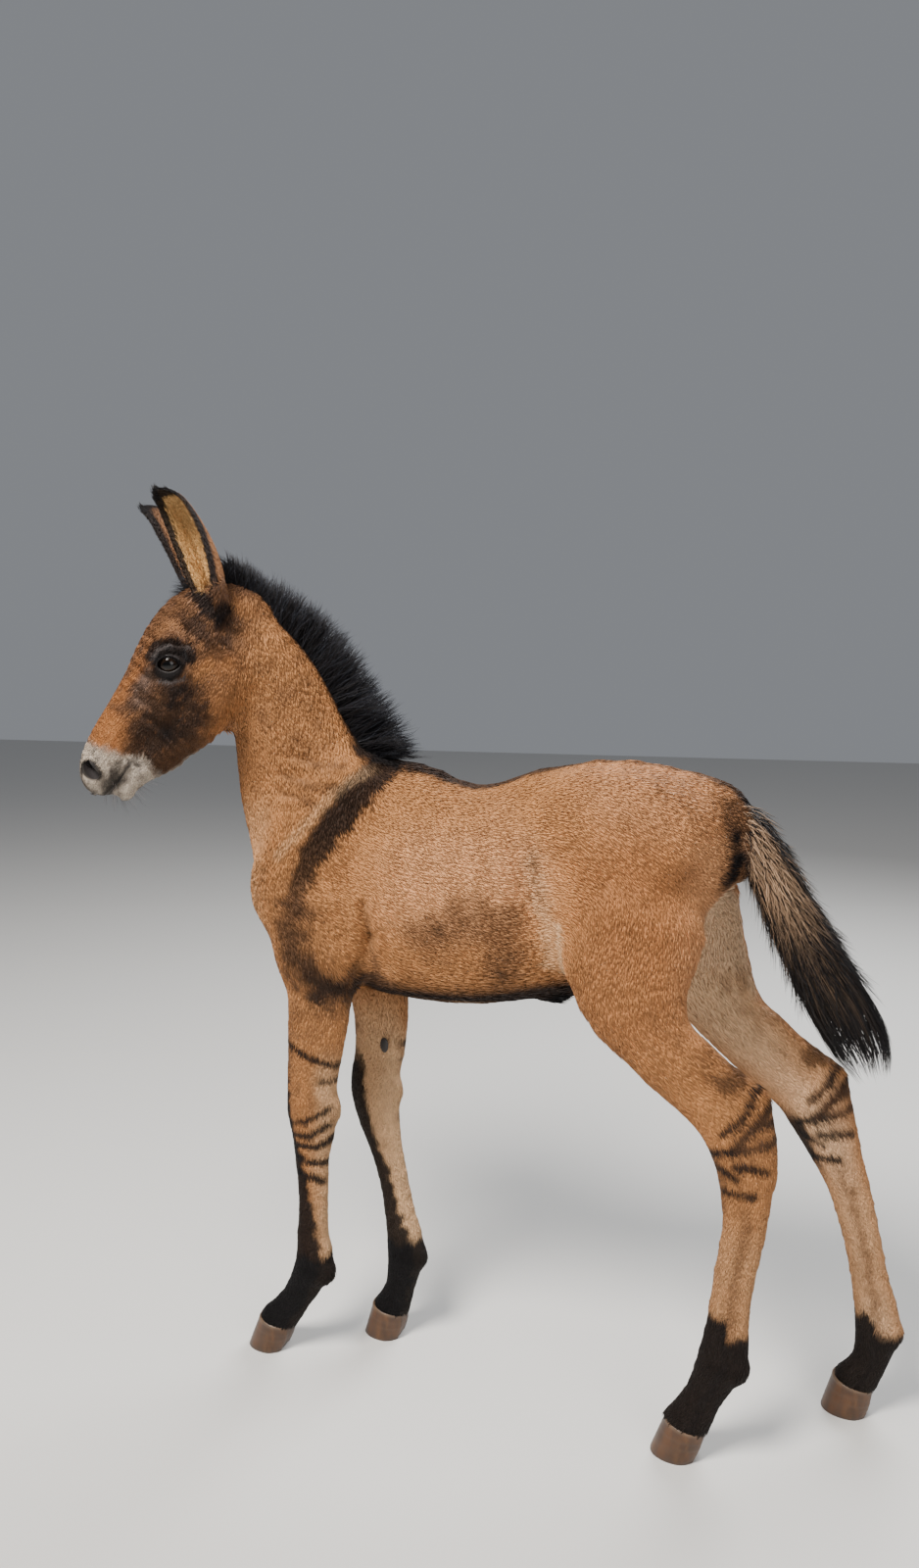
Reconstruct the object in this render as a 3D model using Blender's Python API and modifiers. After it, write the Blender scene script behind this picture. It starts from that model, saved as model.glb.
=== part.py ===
"""A mule foal standing on a level floor, life size: head turned to its left, ears pricked, hind legs
set back.

The flesh is one smooth form: bones and muscles are tapered limbs of elliptical section, blended into
each other, and the skin is a voxel remesh of them drawn onto that blend. It is then parted by thin cuts
into head, neck, torso and legs. Hooves, eyes, ears, mane, forelock and tail are pieces of their own.

The foal faces -X, its right side is +Y and +Z is up. Metres throughout.
"""

import math
import random

import bmesh
import bpy
import numpy as np
from mathutils import Matrix, Vector

# Driving sizes.
GAP = 0.0003  # between nodes that touch
WITHERS_HEIGHT = 0.955
BODY_VOXEL = 0.0085
HEAD_VOXEL = 0.0045
BODY_TRIANGLES = 5000
HEAD_TRIANGLES = 3000
SEED = 7

# The head has its own frame: along from the poll to the lips, side to the head's right, and dorsal out of
# the forehead.
POLL = Vector((-0.1252, -0.0747, 1.219))
HEAD_TURN = math.radians(36)  # to the left of the body's line
HEAD_DROP = math.radians(54)  # below the horizontal
EYE_CENTRE = (0.1520, 0.0490, -0.0065)
EYE_RADIUS = 0.0190
LID_THICKNESS = 0.0028
EYE_OUT = (0.26, 0.95, 0.16)  # the way the eye looks
EYE_LONG = (0.66, 0.0, 0.75)  # from the outer corner to the inner one, before it is squared to EYE_OUT
EYE_OPENING = (0.0195, 0.0125)  # half length and half height between the lids
NOSTRIL_CENTRE = (0.3420, 0.0320, -0.0030)
NOSTRIL_RADII = (0.0165, 0.0080, 0.0135)  # long way, across, deep
MOUTH_CORNER_ALONG = 0.299
MOUTH_LEVEL = -0.0450

EAR_LENGTH = 0.184
EAR_WIDTH = 0.060
EAR_THICKNESS = 0.0036
EAR_BASE = (0.036, 0.040, -0.004)
EAR_TIP = (-0.044, 0.068, 0.145)
EAR_FACES = (0.86, 0.48, 0.15)

HOOF_HEIGHT = 0.044
HOOF_HALF_WIDTH = 0.031

# Colours from the photo, as (red, green, blue, roughness).
COAT = (0.50, 0.27, 0.13, 0.85)
DARK_HAIR = (0.012, 0.011, 0.014, 0.70)
EAR_COAT = (0.36, 0.19, 0.09, 0.85)
HORN = (0.23, 0.14, 0.08, 0.45)
EYE_DARK = (0.010, 0.008, 0.008, 0.06)


# Small helpers.


def clear_scene():
    for thing in list(bpy.data.objects):
        bpy.data.objects.remove(thing)


def material(name, colour):
    made = bpy.data.materials.new(name)
    made.use_nodes = True
    shader = made.node_tree.nodes["Principled BSDF"]
    shader.inputs["Base Color"].default_value = (*colour[:3], 1)
    shader.inputs["Roughness"].default_value = colour[3]
    shader.inputs["Metallic"].default_value = 0
    return made


def collection(name, shown=True):
    made = bpy.data.collections.new(name)
    made.hide_render = not shown
    bpy.context.scene.collection.children.link(made)
    return made


def add_object(name, mesh, where, finish=None):
    made = bpy.data.objects.new(name, mesh)
    where.objects.link(made)
    if finish:
        mesh.materials.clear()
        mesh.materials.append(finish)
    return made


def add_cutter(name, mesh, where):
    made = add_object(name, mesh, where)
    made.hide_render = True
    made.display_type = "WIRE"
    return made


def mesh_from(bm, name):
    bmesh.ops.recalc_face_normals(bm, faces=bm.faces)
    mesh = bpy.data.meshes.new(name)
    bm.to_mesh(mesh)
    bm.free()
    return mesh


def evaluated_mesh(thing):
    """The object's mesh with its modifiers applied, as a new mesh."""
    graph = bpy.context.evaluated_depsgraph_get()
    return bpy.data.meshes.new_from_object(thing.evaluated_get(graph))


def apply_modifiers(thing):
    made = evaluated_mesh(thing)
    old = thing.data
    thing.modifiers.clear()
    thing.data = made
    bpy.data.meshes.remove(old)


def unit(vector):
    return Vector(vector).normalized()


# Limbs of elliptical section, and the smooth blend of many of them.


def catmull_rom(rows, steps):
    """Rows of numbers read at even steps along a smooth curve through them."""
    rows = np.asarray(rows, float)
    padded = np.vstack([2 * rows[0] - rows[1], rows, 2 * rows[-1] - rows[-2]])
    out = []
    for i in range(len(rows) - 1):
        a, b, c, d = padded[i : i + 4]
        for t in np.arange(steps) / steps:
            square = (2 * a - 5 * b + 4 * c - d) * t**2
            cube = (3 * b - a - 3 * c + d) * t**3
            out.append(0.5 * (2 * b + (c - a) * t + square + cube))
    out.append(rows[-1])
    return np.array(out)


class Limb:
    """A tapered tube. A station is x, y, z, half its width, its reach towards `facing` and its reach away."""

    def __init__(self, stations, facing, blend, steps=3):
        rows = catmull_rom(stations, steps)
        self.blend = blend
        self.start = rows[:-1, :3]
        run = rows[1:, :3] - self.start
        self.length = np.linalg.norm(run, axis=1)
        self.tangent = run / self.length[:, None]
        facing = np.asarray(facing, float)
        front = facing - (self.tangent @ facing)[:, None] * self.tangent
        self.front = front / np.linalg.norm(front, axis=1)[:, None]
        self.side = np.cross(self.front, self.tangent)
        self.sizes = rows[:, 3:]
        reach = self.sizes.max() + 0.08
        self.low = rows[:, :3].min(0) - reach
        self.high = rows[:, :3].max(0) + reach

    def distance(self, points):
        """About how far each point is outside the limb, negative inside it."""
        out = np.full(len(points), 1.0)
        near = np.all((points > self.low) & (points < self.high), axis=1)
        inside = points[near]
        best = np.full(len(inside), 1.0)
        for i, start in enumerate(self.start):
            offset = inside - start
            axial = offset @ self.tangent[i]
            share = np.clip(axial / self.length[i], 0, 1)
            past = axial - share * self.length[i]
            pairs = zip(self.sizes[i], self.sizes[i + 1])
            width, reach, back = ((1 - share) * a + share * b for a, b in pairs)
            across = offset @ self.side[i]
            out_front = offset @ self.front[i]
            depth = np.where(out_front > 0, reach, back)
            end = np.minimum(width, depth)
            first = np.sqrt((across / width) ** 2 + (out_front / depth) ** 2 + (past / end) ** 2)
            second = np.sqrt((across / width**2) ** 2 + (out_front / depth**2) ** 2 + (past / end**2) ** 2)
            best = np.minimum(best, first * (first - 1) / np.maximum(second, 1e-9))
        out[near] = best
        return out

    def seeds(self, bm):
        """Ellipsoids along the limb, as the rough start of its skin."""
        for i in range(len(self.start)):
            width, reach, back = self.sizes[i]
            depth = (reach + back) / 2
            centre = self.start[i] + self.front[i] * (reach - back) / 2
            along = max(min(width, depth), self.length[i])
            axes = np.column_stack([self.side[i] * width, self.front[i] * depth, self.tangent[i] * along])
            matrix = Matrix.Translation(Vector(centre)) @ Matrix(axes.tolist()).to_4x4()
            bmesh.ops.create_icosphere(bm, subdivisions=2, radius=1, matrix=matrix)


def blob(centre, radii, blend):
    """A single ellipsoid with its axes along x, y and z, as a limb of one short length."""
    x, y, z = centre
    half = max(radii[0] - min(radii[1:]), 1e-4)
    ends = [(x - half, y, z, radii[1], radii[2], radii[2]), (x + half, y, z, radii[1], radii[2], radii[2])]
    return Limb(ends, (0, 0, 1), blend, steps=1)


def smooth_union(first, second, blend):
    share = np.clip(0.5 + 0.5 * (second - first) / blend, 0, 1)
    return second * (1 - share) + first * share - blend * share * (1 - share)


def smooth_field(limbs, points):
    total = limbs[0].distance(points)
    for limb in limbs[1:]:
        total = smooth_union(total, limb.distance(points), limb.blend)
    return total


def ridge(points, start, end, width, height):
    """How much a soft ridge from start to end raises the skin at each point; a groove has a negative height."""
    start = np.asarray(start, float)
    run = np.asarray(end, float) - start
    share = np.clip((points - start) @ run / max(run @ run, 1e-12), 0, 1)
    gap = points - start - share[:, None] * run
    return height * np.exp(-(gap * gap).sum(1) / width**2)


def mirrored(points):
    """The points with their second coordinate made positive, for a form that is alike on both sides."""
    out = points.copy()
    out[:, 1] = np.abs(out[:, 1])
    return out


# The torso, alike on both sides.


def torso_limbs():
    barrel = [
        (-0.068, 0, 0.752, 0.050, 0.060, 0.070),
        (-0.030, 0, 0.760, 0.072, 0.120, 0.120),
        (0.020, 0, 0.765, 0.088, 0.160, 0.158),
        (0.080, 0, 0.757, 0.102, WITHERS_HEIGHT - 0.765, 0.164),
        (0.160, 0, 0.750, 0.114, WITHERS_HEIGHT - 0.772, 0.165),
        (0.240, 0, 0.752, 0.118, 0.164, 0.166),
        (0.320, 0, 0.768, 0.115, 0.156, 0.164),
        (0.390, 0, 0.795, 0.104, 0.154, 0.166),
        (0.450, 0, 0.825, 0.098, 0.134, 0.160),
        (0.510, 0, 0.840, 0.092, 0.113, 0.140),
        (0.560, 0, 0.845, 0.078, 0.092, 0.120),
        (0.585, 0, 0.850, 0.060, 0.072, 0.090),
    ]
    shoulder = [
        (0.070, 0.056, 0.890, 0.034, 0.045, 0.050),
        (0.030, 0.070, 0.835, 0.040, 0.056, 0.060),
        (-0.022, 0.080, 0.772, 0.044, 0.060, 0.066),
        (0.002, 0.083, 0.712, 0.045, 0.062, 0.072),
        (0.022, 0.080, 0.660, 0.042, 0.060, 0.062),
    ]
    haunch = [
        (0.420, 0.058, 0.880, 0.040, 0.050, 0.060),
        (0.475, 0.066, 0.850, 0.052, 0.085, 0.090),
        (0.520, 0.066, 0.815, 0.054, 0.100, 0.092),
    ]
    return [
        Limb(barrel, (0, 0, 1), 0.03, steps=2),
        Limb(shoulder, (-1, 0, 0), 0.045),
        Limb(haunch, (-1, 0, 0), 0.05),
        blob((0.372, 0, 0.612), (0.030, 0.015, 0.016), 0.02),
    ]


def torso_relief(points):
    """Withers, hip bones and hollows of the torso, on points folded to one side."""
    return (
        ridge(points, (0.03, 0, 0.945), (0.17, 0, 0.935), 0.028, 0.006)
        + ridge(points, (0.375, 0.088, 0.880), (0.395, 0.092, 0.870), 0.030, 0.009)
        + ridge(points, (0.380, 0.105, 0.800), (0.372, 0.118, 0.730), 0.036, -0.011)
        + ridge(points, (0.125, 0.120, 0.690), (0.105, 0.090, 0.620), 0.026, -0.008)
        + ridge(points, (0.100, 0.105, 0.840), (0.110, 0.115, 0.760), 0.030, -0.005)
        + ridge(points, (-0.100, 0.000, 0.790), (-0.095, 0.000, 0.680), 0.020, -0.010)
        + ridge(points, (-0.060, 0.075, 0.770), (-0.055, 0.080, 0.740), 0.030, 0.006)
    )


# The neck, bent to the left, from the poll to the withers and breast.


def neck_limb():
    stations = [
        (-0.108, -0.063, 1.150, 0.034, 0.028, 0.060),
        (-0.092, -0.056, 1.120, 0.044, 0.058, 0.072),
        (-0.064, -0.044, 1.055, 0.046, 0.078, 0.078),
        (-0.044, -0.028, 0.988, 0.050, 0.090, 0.095),
        (-0.024, -0.013, 0.922, 0.058, 0.103, 0.117),
        (-0.006, -0.004, 0.868, 0.072, 0.114, 0.124),
        (0.024, 0.000, 0.820, 0.084, 0.115, 0.110),
    ]
    return Limb(stations, (0.86, 0, 0.5), 0.045)


# The legs. A section is half its width, its reach to the front and its reach to the back.

FORE_SECTIONS = {
    "elbow": (0.040, 0.058, 0.060),
    "forearm": (0.036, 0.050, 0.056),
    "forearm_middle": (0.031, 0.044, 0.051),
    "forearm_low": (0.028, 0.042, 0.044),
    "knee_top": (0.031, 0.044, 0.038),
    "knee": (0.032, 0.044, 0.038),
    "knee_low": (0.028, 0.035, 0.035),
    "cannon_top": (0.0205, 0.027, 0.029),
    "cannon": (0.0185, 0.0235, 0.0255),
    "cannon_low": (0.0205, 0.0255, 0.0265),
    "fetlock": (0.0270, 0.0300, 0.0310),
    "pastern": (0.0215, 0.0235, 0.0250),
    "coronet": (0.0280, 0.0290, 0.0300),
    "hoof": (0.0290, 0.0310, 0.0310),
}
HIND_SECTIONS = {
    "thigh": (0.052, 0.098, 0.098),
    "stifle": (0.050, 0.088, 0.086),
    "stifle_low": (0.047, 0.072, 0.071),
    "gaskin": (0.041, 0.060, 0.052),
    "gaskin_middle": (0.036, 0.055, 0.045),
    "gaskin_low": (0.031, 0.050, 0.044),
    "hock_top": (0.030, 0.047, 0.055),
    "hock": (0.031, 0.045, 0.050),
    "hock_middle": (0.030, 0.040, 0.041),
    "hock_low": (0.026, 0.034, 0.034),
    "cannon_top": (0.0215, 0.029, 0.0300),
    "cannon": (0.0200, 0.0260, 0.0270),
    "cannon_low": (0.0205, 0.0265, 0.0275),
    "fetlock": (0.0275, 0.0310, 0.0320),
    "pastern": (0.0220, 0.0240, 0.0250),
    "coronet": (0.0285, 0.0290, 0.0300),
    "hoof": (0.0295, 0.0310, 0.0310),
}
LEG_JOINTS = {
    "foreleg_left": {
        "elbow": (0.022, -0.081, 0.655),
        "forearm": (0.020, -0.077, 0.600),
        "forearm_middle": (0.010, -0.070, 0.530),
        "forearm_low": (0.002, -0.063, 0.470),
        "knee_top": (0.002, -0.060, 0.435),
        "knee": (0.001, -0.058, 0.405),
        "knee_low": (-0.002, -0.056, 0.370),
        "cannon_top": (-0.006, -0.054, 0.328),
        "cannon": (-0.006, -0.051, 0.260),
        "cannon_low": (-0.009, -0.048, 0.200),
        "fetlock": (-0.008, -0.047, 0.150),
        "pastern": (-0.040, -0.046, 0.088),
        "coronet": (-0.072, -0.0455, 0.045),
        "hoof": (-0.084, -0.0455, 0.026),
    },
    "foreleg_right": {
        "elbow": (0.030, 0.081, 0.655),
        "forearm": (0.045, 0.077, 0.600),
        "forearm_middle": (0.058, 0.068, 0.530),
        "forearm_low": (0.061, 0.060, 0.470),
        "knee_top": (0.059, 0.056, 0.435),
        "knee": (0.059, 0.054, 0.402),
        "knee_low": (0.063, 0.052, 0.362),
        "cannon_top": (0.074, 0.050, 0.318),
        "cannon": (0.089, 0.048, 0.262),
        "cannon_low": (0.101, 0.047, 0.203),
        "fetlock": (0.111, 0.046, 0.148),
        "pastern": (0.101, 0.0455, 0.084),
        "coronet": (0.086, 0.0455, 0.045),
        "hoof": (0.080, 0.0455, 0.026),
    },
    "hindleg_left": {
        "thigh": (0.500, -0.082, 0.742),
        "stifle": (0.492, -0.090, 0.680),
        "stifle_low": (0.504, -0.092, 0.632),
        "gaskin": (0.530, -0.091, 0.596),
        "gaskin_middle": (0.557, -0.089, 0.562),
        "gaskin_low": (0.590, -0.087, 0.530),
        "hock_top": (0.621, -0.086, 0.498),
        "hock": (0.642, -0.085, 0.462),
        "hock_middle": (0.652, -0.085, 0.422),
        "hock_low": (0.654, -0.085, 0.378),
        "cannon_top": (0.652, -0.086, 0.335),
        "cannon": (0.642, -0.087, 0.265),
        "cannon_low": (0.635, -0.088, 0.200),
        "fetlock": (0.630, -0.088, 0.150),
        "pastern": (0.606, -0.088, 0.092),
        "coronet": (0.584, -0.088, 0.046),
        "hoof": (0.572, -0.088, 0.026),
    },
    "hindleg_right": {
        "thigh": (0.528, 0.082, 0.740),
        "stifle": (0.547, 0.090, 0.684),
        "stifle_low": (0.574, 0.092, 0.634),
        "gaskin": (0.606, 0.092, 0.590),
        "gaskin_middle": (0.641, 0.091, 0.552),
        "gaskin_low": (0.679, 0.090, 0.514),
        "hock_top": (0.716, 0.089, 0.480),
        "hock": (0.737, 0.088, 0.448),
        "hock_middle": (0.754, 0.087, 0.414),
        "hock_low": (0.772, 0.087, 0.374),
        "cannon_top": (0.787, 0.087, 0.333),
        "cannon": (0.806, 0.087, 0.262),
        "cannon_low": (0.819, 0.087, 0.200),
        "fetlock": (0.831, 0.087, 0.140),
        "pastern": (0.822, 0.087, 0.080),
        "coronet": (0.803, 0.087, 0.045),
        "hoof": (0.796, 0.087, 0.026),
    },
}


def leg_limb(name):
    sections = FORE_SECTIONS if name.startswith("fore") else HIND_SECTIONS
    stations = []
    for level, place in LEG_JOINTS[name].items():
        width, reach, back = sections[level]
        if name == "hindleg_left" and place[2] < 0.3:
            reach *= 1.10
        stations.append((*place, width, reach, back))
    return Limb(stations, (-1, 0, 0.25), 0.03, steps=2)


def leg_details(name):
    """The point of the hock or the back of the knee, and the pad behind the fetlock."""
    joints = {level: Vector(place) for level, place in LEG_JOINTS[name].items()}
    fetlock = joints["fetlock"]
    ergot = blob(fetlock + Vector((0.018, 0, -0.012)), (0.016, 0.018, 0.018), 0.012)
    if name.startswith("fore"):
        return [ergot, blob(joints["knee"] + Vector((0.026, 0, 0.006)), (0.016, 0.018, 0.022), 0.014)]
    top = joints["hock_top"] + Vector((0.042, 0, 0.018))
    heel = joints["hock_middle"] + Vector((0.019, 0, -0.004))
    calcaneus = Limb([(*top, 0.015, 0.017, 0.017), (*heel, 0.018, 0.020, 0.018)], (-1, 0, 0), 0.018, steps=2)
    tendon_top = joints["gaskin_middle"] + Vector((0.028, 0, 0.012))
    cord = [(*tendon_top, 0.018, 0.020, 0.018), (*top, 0.013, 0.016, 0.015)]
    achilles = Limb(cord, (-1, 0, 0), 0.022, steps=2)
    return [ergot, calcaneus, achilles]


def leg_relief(name, points):
    """Joint edges, the groove before the tendons and the hollow above the hock."""
    joints = {level: np.array(place) for level, place in LEG_JOINTS[name].items()}
    side = np.array([0, -1 if name.endswith("left") else 1, 0])
    total = np.zeros(len(points))
    top, low = joints["cannon_top"], joints["cannon_low"]
    for way in (side, -side):
        groove = way * 0.021 + np.array([0.007, 0, 0])
        total += ridge(points, top + groove, low + groove, 0.008, -0.0032)
        fetlock = joints["fetlock"] + way * 0.026
        total += ridge(points, fetlock, fetlock, 0.012, 0.0015)
    if name.startswith("fore"):
        knee = joints["knee"]
        for way in (side, -side):
            bone = knee + way * 0.030
            total += ridge(points, bone + (-0.012, 0, 0.018), bone + (-0.012, 0, -0.016), 0.012, 0.0025)
        return total
    hollow = joints["hock_top"] + np.array([0.016, 0, 0.024])
    for way in (side, -side):
        hollow_top = joints["gaskin_low"] + way * 0.032 + (0.022, 0, 0.020)
        total += ridge(points, hollow + way * 0.030, hollow_top, 0.014, -0.008)
        hock = joints["hock"] + way * 0.030 + (-0.01, 0, 0)
        total += ridge(points, joints["hock_middle"] + way * 0.029, hock, 0.014, 0.0025)
    return total


# The tail's dock.

DOCK = [
    (0.560, 0, 0.900, 0.034, 0.036, 0.034),
    (0.600, 0, 0.898, 0.029, 0.029, 0.027),
    (0.632, 0, 0.868, 0.024, 0.023, 0.023),
    (0.662, 0, 0.815, 0.020, 0.020, 0.020),
    (0.690, 0, 0.755, 0.017, 0.017, 0.017),
    (0.716, 0, 0.700, 0.012, 0.012, 0.012),
]


def dock_limb():
    return Limb(DOCK[:4], (1, 0, 0.6), 0.022)


# The head, in its own frame: along, side and dorsal, alike on both sides.


def head_axes():
    forward = Vector((-math.cos(HEAD_TURN), -math.sin(HEAD_TURN), 0))
    up = Vector((0, 0, 1))
    along = forward * math.cos(HEAD_DROP) - up * math.sin(HEAD_DROP)
    dorsal = forward * math.sin(HEAD_DROP) + up * math.cos(HEAD_DROP)
    return along, dorsal.cross(along) * -1, dorsal


def head_matrix():
    """Carries (along, side, dorsal) of the head to the body's frame."""
    along, side, dorsal = head_axes()
    return Matrix.Translation(POLL) @ Matrix((along, side, dorsal)).transposed().to_4x4()


def into_head(points):
    matrix = np.array(head_matrix().inverted())
    return points @ matrix[:3, :3].T + matrix[:3, 3]


def head_limbs():
    skull = [
        (0.016, 0, -0.052, 0.036, 0.028, 0.040),
        (0.042, 0, -0.036, 0.047, 0.048, 0.058),
        (0.072, 0, -0.022, 0.056, 0.064, 0.068),
        (0.110, 0, -0.016, 0.061, 0.066, 0.070),
        (0.150, 0, -0.014, 0.057, 0.060, 0.064),
        (0.190, 0, -0.016, 0.046, 0.054, 0.056),
        (0.240, 0, -0.018, 0.038, 0.050, 0.045),
        (0.290, 0, -0.018, 0.034, 0.046, 0.036),
        (0.322, 0, -0.018, 0.034, 0.040, 0.034),
        (0.340, 0, -0.020, 0.031, 0.032, 0.032),
    ]
    jaw = [
        (0.082, 0, -0.078, 0.038, 0.050, 0.046),
        (0.130, 0, -0.078, 0.050, 0.060, 0.055),
        (0.172, 0, -0.078, 0.049, 0.060, 0.057),
        (0.212, 0, -0.075, 0.041, 0.052, 0.053),
        (0.250, 0, -0.068, 0.030, 0.042, 0.043),
        (0.285, 0, -0.060, 0.024, 0.034, 0.034),
        (0.312, 0, -0.058, 0.020, 0.022, 0.022),
    ]
    return [
        Limb(skull, (0, 0, 1), 0.02),
        Limb(jaw, (0, 0, 1), 0.018),
        Limb([(0.100, 0.035, -0.062, 0.024, 0.042, 0.050), (0.160, 0.034, -0.066, 0.024, 0.042, 0.048),
              (0.200, 0.026, -0.068, 0.019, 0.034, 0.040)], (0, 0, 1), 0.025),
        Limb([(0.075, 0.046, -0.018, 0.012, 0.012, 0.014), (0.125, 0.053, -0.024, 0.013, 0.014, 0.018),
              (0.175, 0.045, -0.028, 0.012, 0.013, 0.016), (0.215, 0.032, -0.030, 0.009, 0.010, 0.012)],
             (0, 0, 1), 0.022),
        Limb([(0.118, 0.052, 0.016, 0.012, 0.010, 0.012), (0.148, 0.054, 0.022, 0.010, 0.009, 0.010),
              (0.172, 0.046, 0.016, 0.010, 0.010, 0.010)], (0, 0, 1), 0.012),
        blob(EYE_CENTRE, (EYE_RADIUS + LID_THICKNESS,) * 3, 0.010),
        Limb([(0.300, 0.016, 0.000, 0.018, 0.018, 0.020), (0.334, 0.021, -0.004, 0.019, 0.018, 0.022),
              (0.344, 0.019, -0.012, 0.019, 0.018, 0.020)], (0, 0, 1), 0.014),
        Limb([(0.318, 0.000, -0.030, 0.028, 0.020, 0.017), (0.350, 0.000, -0.030, 0.027, 0.022, 0.016)],
             (0, 0, 1), 0.014),
        Limb([(0.312, 0.000, -0.060, 0.021, 0.014, 0.015), (0.343, 0.000, -0.060, 0.022, 0.014, 0.016)],
             (0, 0, 1), 0.010),
    ]


def head_relief(points):
    """Hollows and edges of the head, on points in its frame folded to one side."""
    return (
        ridge(points, (0.098, 0.052, 0.022), (0.108, 0.056, 0.014), 0.014, -0.007)
        + ridge(points, (0.225, 0.040, -0.004), (0.285, 0.034, -0.012), 0.020, -0.005)
        + ridge(points, (0.300, 0.034, -0.034), (0.262, 0.034, -0.044), 0.012, -0.003)
        + ridge(points, (0.318, 0.032, 0.022), (0.330, 0.034, 0.012), 0.010, -0.003)
        + ridge(points, (0.372, 0.000, -0.020), (0.374, 0.000, -0.050), 0.007, -0.0015)
        + ridge(points, (0.062, 0.050, -0.040), (0.072, 0.046, -0.100), 0.014, -0.005)
        + ridge(points, (0.150, 0.062, 0.014), (0.134, 0.066, 0.006), 0.006, 0.0022)
        + ridge(points, (0.134, 0.066, 0.006), (0.127, 0.066, -0.012), 0.006, 0.0022)
        + ridge(points, (0.152, 0.058, 0.024), (0.128, 0.064, 0.014), 0.005, -0.0026)
        + ridge(points, (0.128, 0.064, 0.014), (0.116, 0.066, -0.010), 0.005, -0.0026)
        + ridge(points, (0.168, 0.064, -0.014), (0.150, 0.068, -0.030), 0.005, 0.0016)
        + ridge(points, (0.130, 0.012, -0.150), (0.250, 0.006, -0.118), 0.014, -0.010)
    )


# The whole flesh as one field, and its skin.


class Flesh:
    def __init__(self):
        self.torso = torso_limbs()
        self.neck = neck_limb()
        self.legs = {name: [leg_limb(name), *leg_details(name)] for name in LEG_JOINTS}
        self.dock = dock_limb()
        self.head = head_limbs()

    def body_field(self, points):
        folded = mirrored(points)
        total = smooth_field(self.torso, folded) - torso_relief(folded)
        total = smooth_union(total, self.neck.distance(points), self.neck.blend)
        total = smooth_union(total, self.dock.distance(points), self.dock.blend)
        for name, limbs in self.legs.items():
            leg = smooth_field(limbs, points) - leg_relief(name, points)
            total = smooth_union(total, leg, limbs[0].blend)
        return total

    def head_field(self, points):
        local = mirrored(into_head(points))
        return smooth_field(self.head, local) - head_relief(local)

    def field(self, points):
        return smooth_union(self.body_field(points), self.head_field(points), 0.028)

    def upper_field(self, points):
        return smooth_union(self.neck.distance(points), self.head_field(points), 0.028)

    def body_seeds(self, bm):
        for limb in self.torso:
            limb.seeds(bm)
        mirror_image = bmesh.ops.duplicate(bm, geom=list(bm.verts) + list(bm.edges) + list(bm.faces))["geom"]
        for vertex in mirror_image:
            if isinstance(vertex, bmesh.types.BMVert):
                vertex.co.y = -vertex.co.y
        self.neck.seeds(bm)
        self.dock.seeds(bm)
        for limbs in self.legs.values():
            for limb in limbs:
                limb.seeds(bm)

    def head_seeds(self, bm):
        start = len(bm.verts)
        for limb in self.head:
            limb.seeds(bm)
        bm.verts.ensure_lookup_table()
        faces = {face for vert in bm.verts[start:] for face in vert.link_faces}
        image = bmesh.ops.duplicate(bm, geom=[*bm.verts[start:], *faces])
        for vertex in image["geom"]:
            if isinstance(vertex, bmesh.types.BMVert):
                vertex.co.y = -vertex.co.y
        bm.verts.ensure_lookup_table()
        bmesh.ops.transform(bm, matrix=head_matrix(), verts=bm.verts[start:])


def draw_onto(mesh, field, rounds=4, longest=0.02):
    """Moves each vertex along the field's slope until it lies on the form's surface."""
    points = np.empty(len(mesh.vertices) * 3, np.float32)
    mesh.vertices.foreach_get("co", points)
    points = points.reshape(-1, 3).astype(float)
    step = 0.0008
    for _ in range(rounds):
        here = field(points)
        slope = np.column_stack([field(points + shift) - here for shift in np.eye(3) * step]) / step
        steep = np.maximum((slope * slope).sum(1), 0.15)
        move = slope * (np.clip(here, -longest, longest) / steep)[:, None]
        points -= move
    mesh.vertices.foreach_set("co", points.astype(np.float32).ravel())
    mesh.update()


def remeshed(thing, voxel):
    modifier = thing.modifiers.new("skin", "REMESH")
    modifier.mode = "VOXEL"
    modifier.voxel_size = voxel
    apply_modifiers(thing)


def relaxed(thing, times, factor=0.5):
    modifier = thing.modifiers.new("relax", "SMOOTH")
    modifier.iterations = times
    modifier.factor = factor
    apply_modifiers(thing)


def thinned(thing, triangles):
    """Fewer triangles, with the flat ones merged first."""
    bm = bmesh.new()
    bm.from_mesh(thing.data)
    bmesh.ops.triangulate(bm, faces=bm.faces)
    count = len(bm.faces)
    bm.to_mesh(thing.data)
    bm.free()
    if count > triangles:
        modifier = thing.modifiers.new("thin", "DECIMATE")
        modifier.ratio = triangles / count
        apply_modifiers(thing)


def grow_skin(name, seeds, field, voxel, where):
    bm = bmesh.new()
    for seed in seeds:
        seed(bm)
    thing = add_object(name, mesh_from(bm, name), where)
    remeshed(thing, voxel * 1.5)
    draw_onto(thing.data, field)
    relaxed(thing, 2)
    remeshed(thing, voxel)
    draw_onto(thing.data, field)
    relaxed(thing, 4)
    draw_onto(thing.data, field, rounds=2)
    return thing


# Cutting.


def half_space(point, normal, name, where, reach=2.0):
    """A large box whose one face passes through the point, on the side the normal points to."""
    bm = bmesh.new()
    turn = unit(normal).to_track_quat("Z", "Y").to_matrix().to_4x4()
    lift = Matrix.Translation((0, 0, reach / 2))
    bmesh.ops.create_cube(bm, size=reach, matrix=Matrix.Translation(Vector(point)) @ turn @ lift)
    return add_cutter(name, mesh_from(bm, name), where)


def is_closed(mesh):
    """Whether the mesh has faces and each of its edges has a face on both sides."""
    bm = bmesh.new()
    bm.from_mesh(mesh)
    closed = bool(bm.faces) and all(len(edge.link_faces) == 2 for edge in bm.edges)
    bm.free()
    return closed


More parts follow.
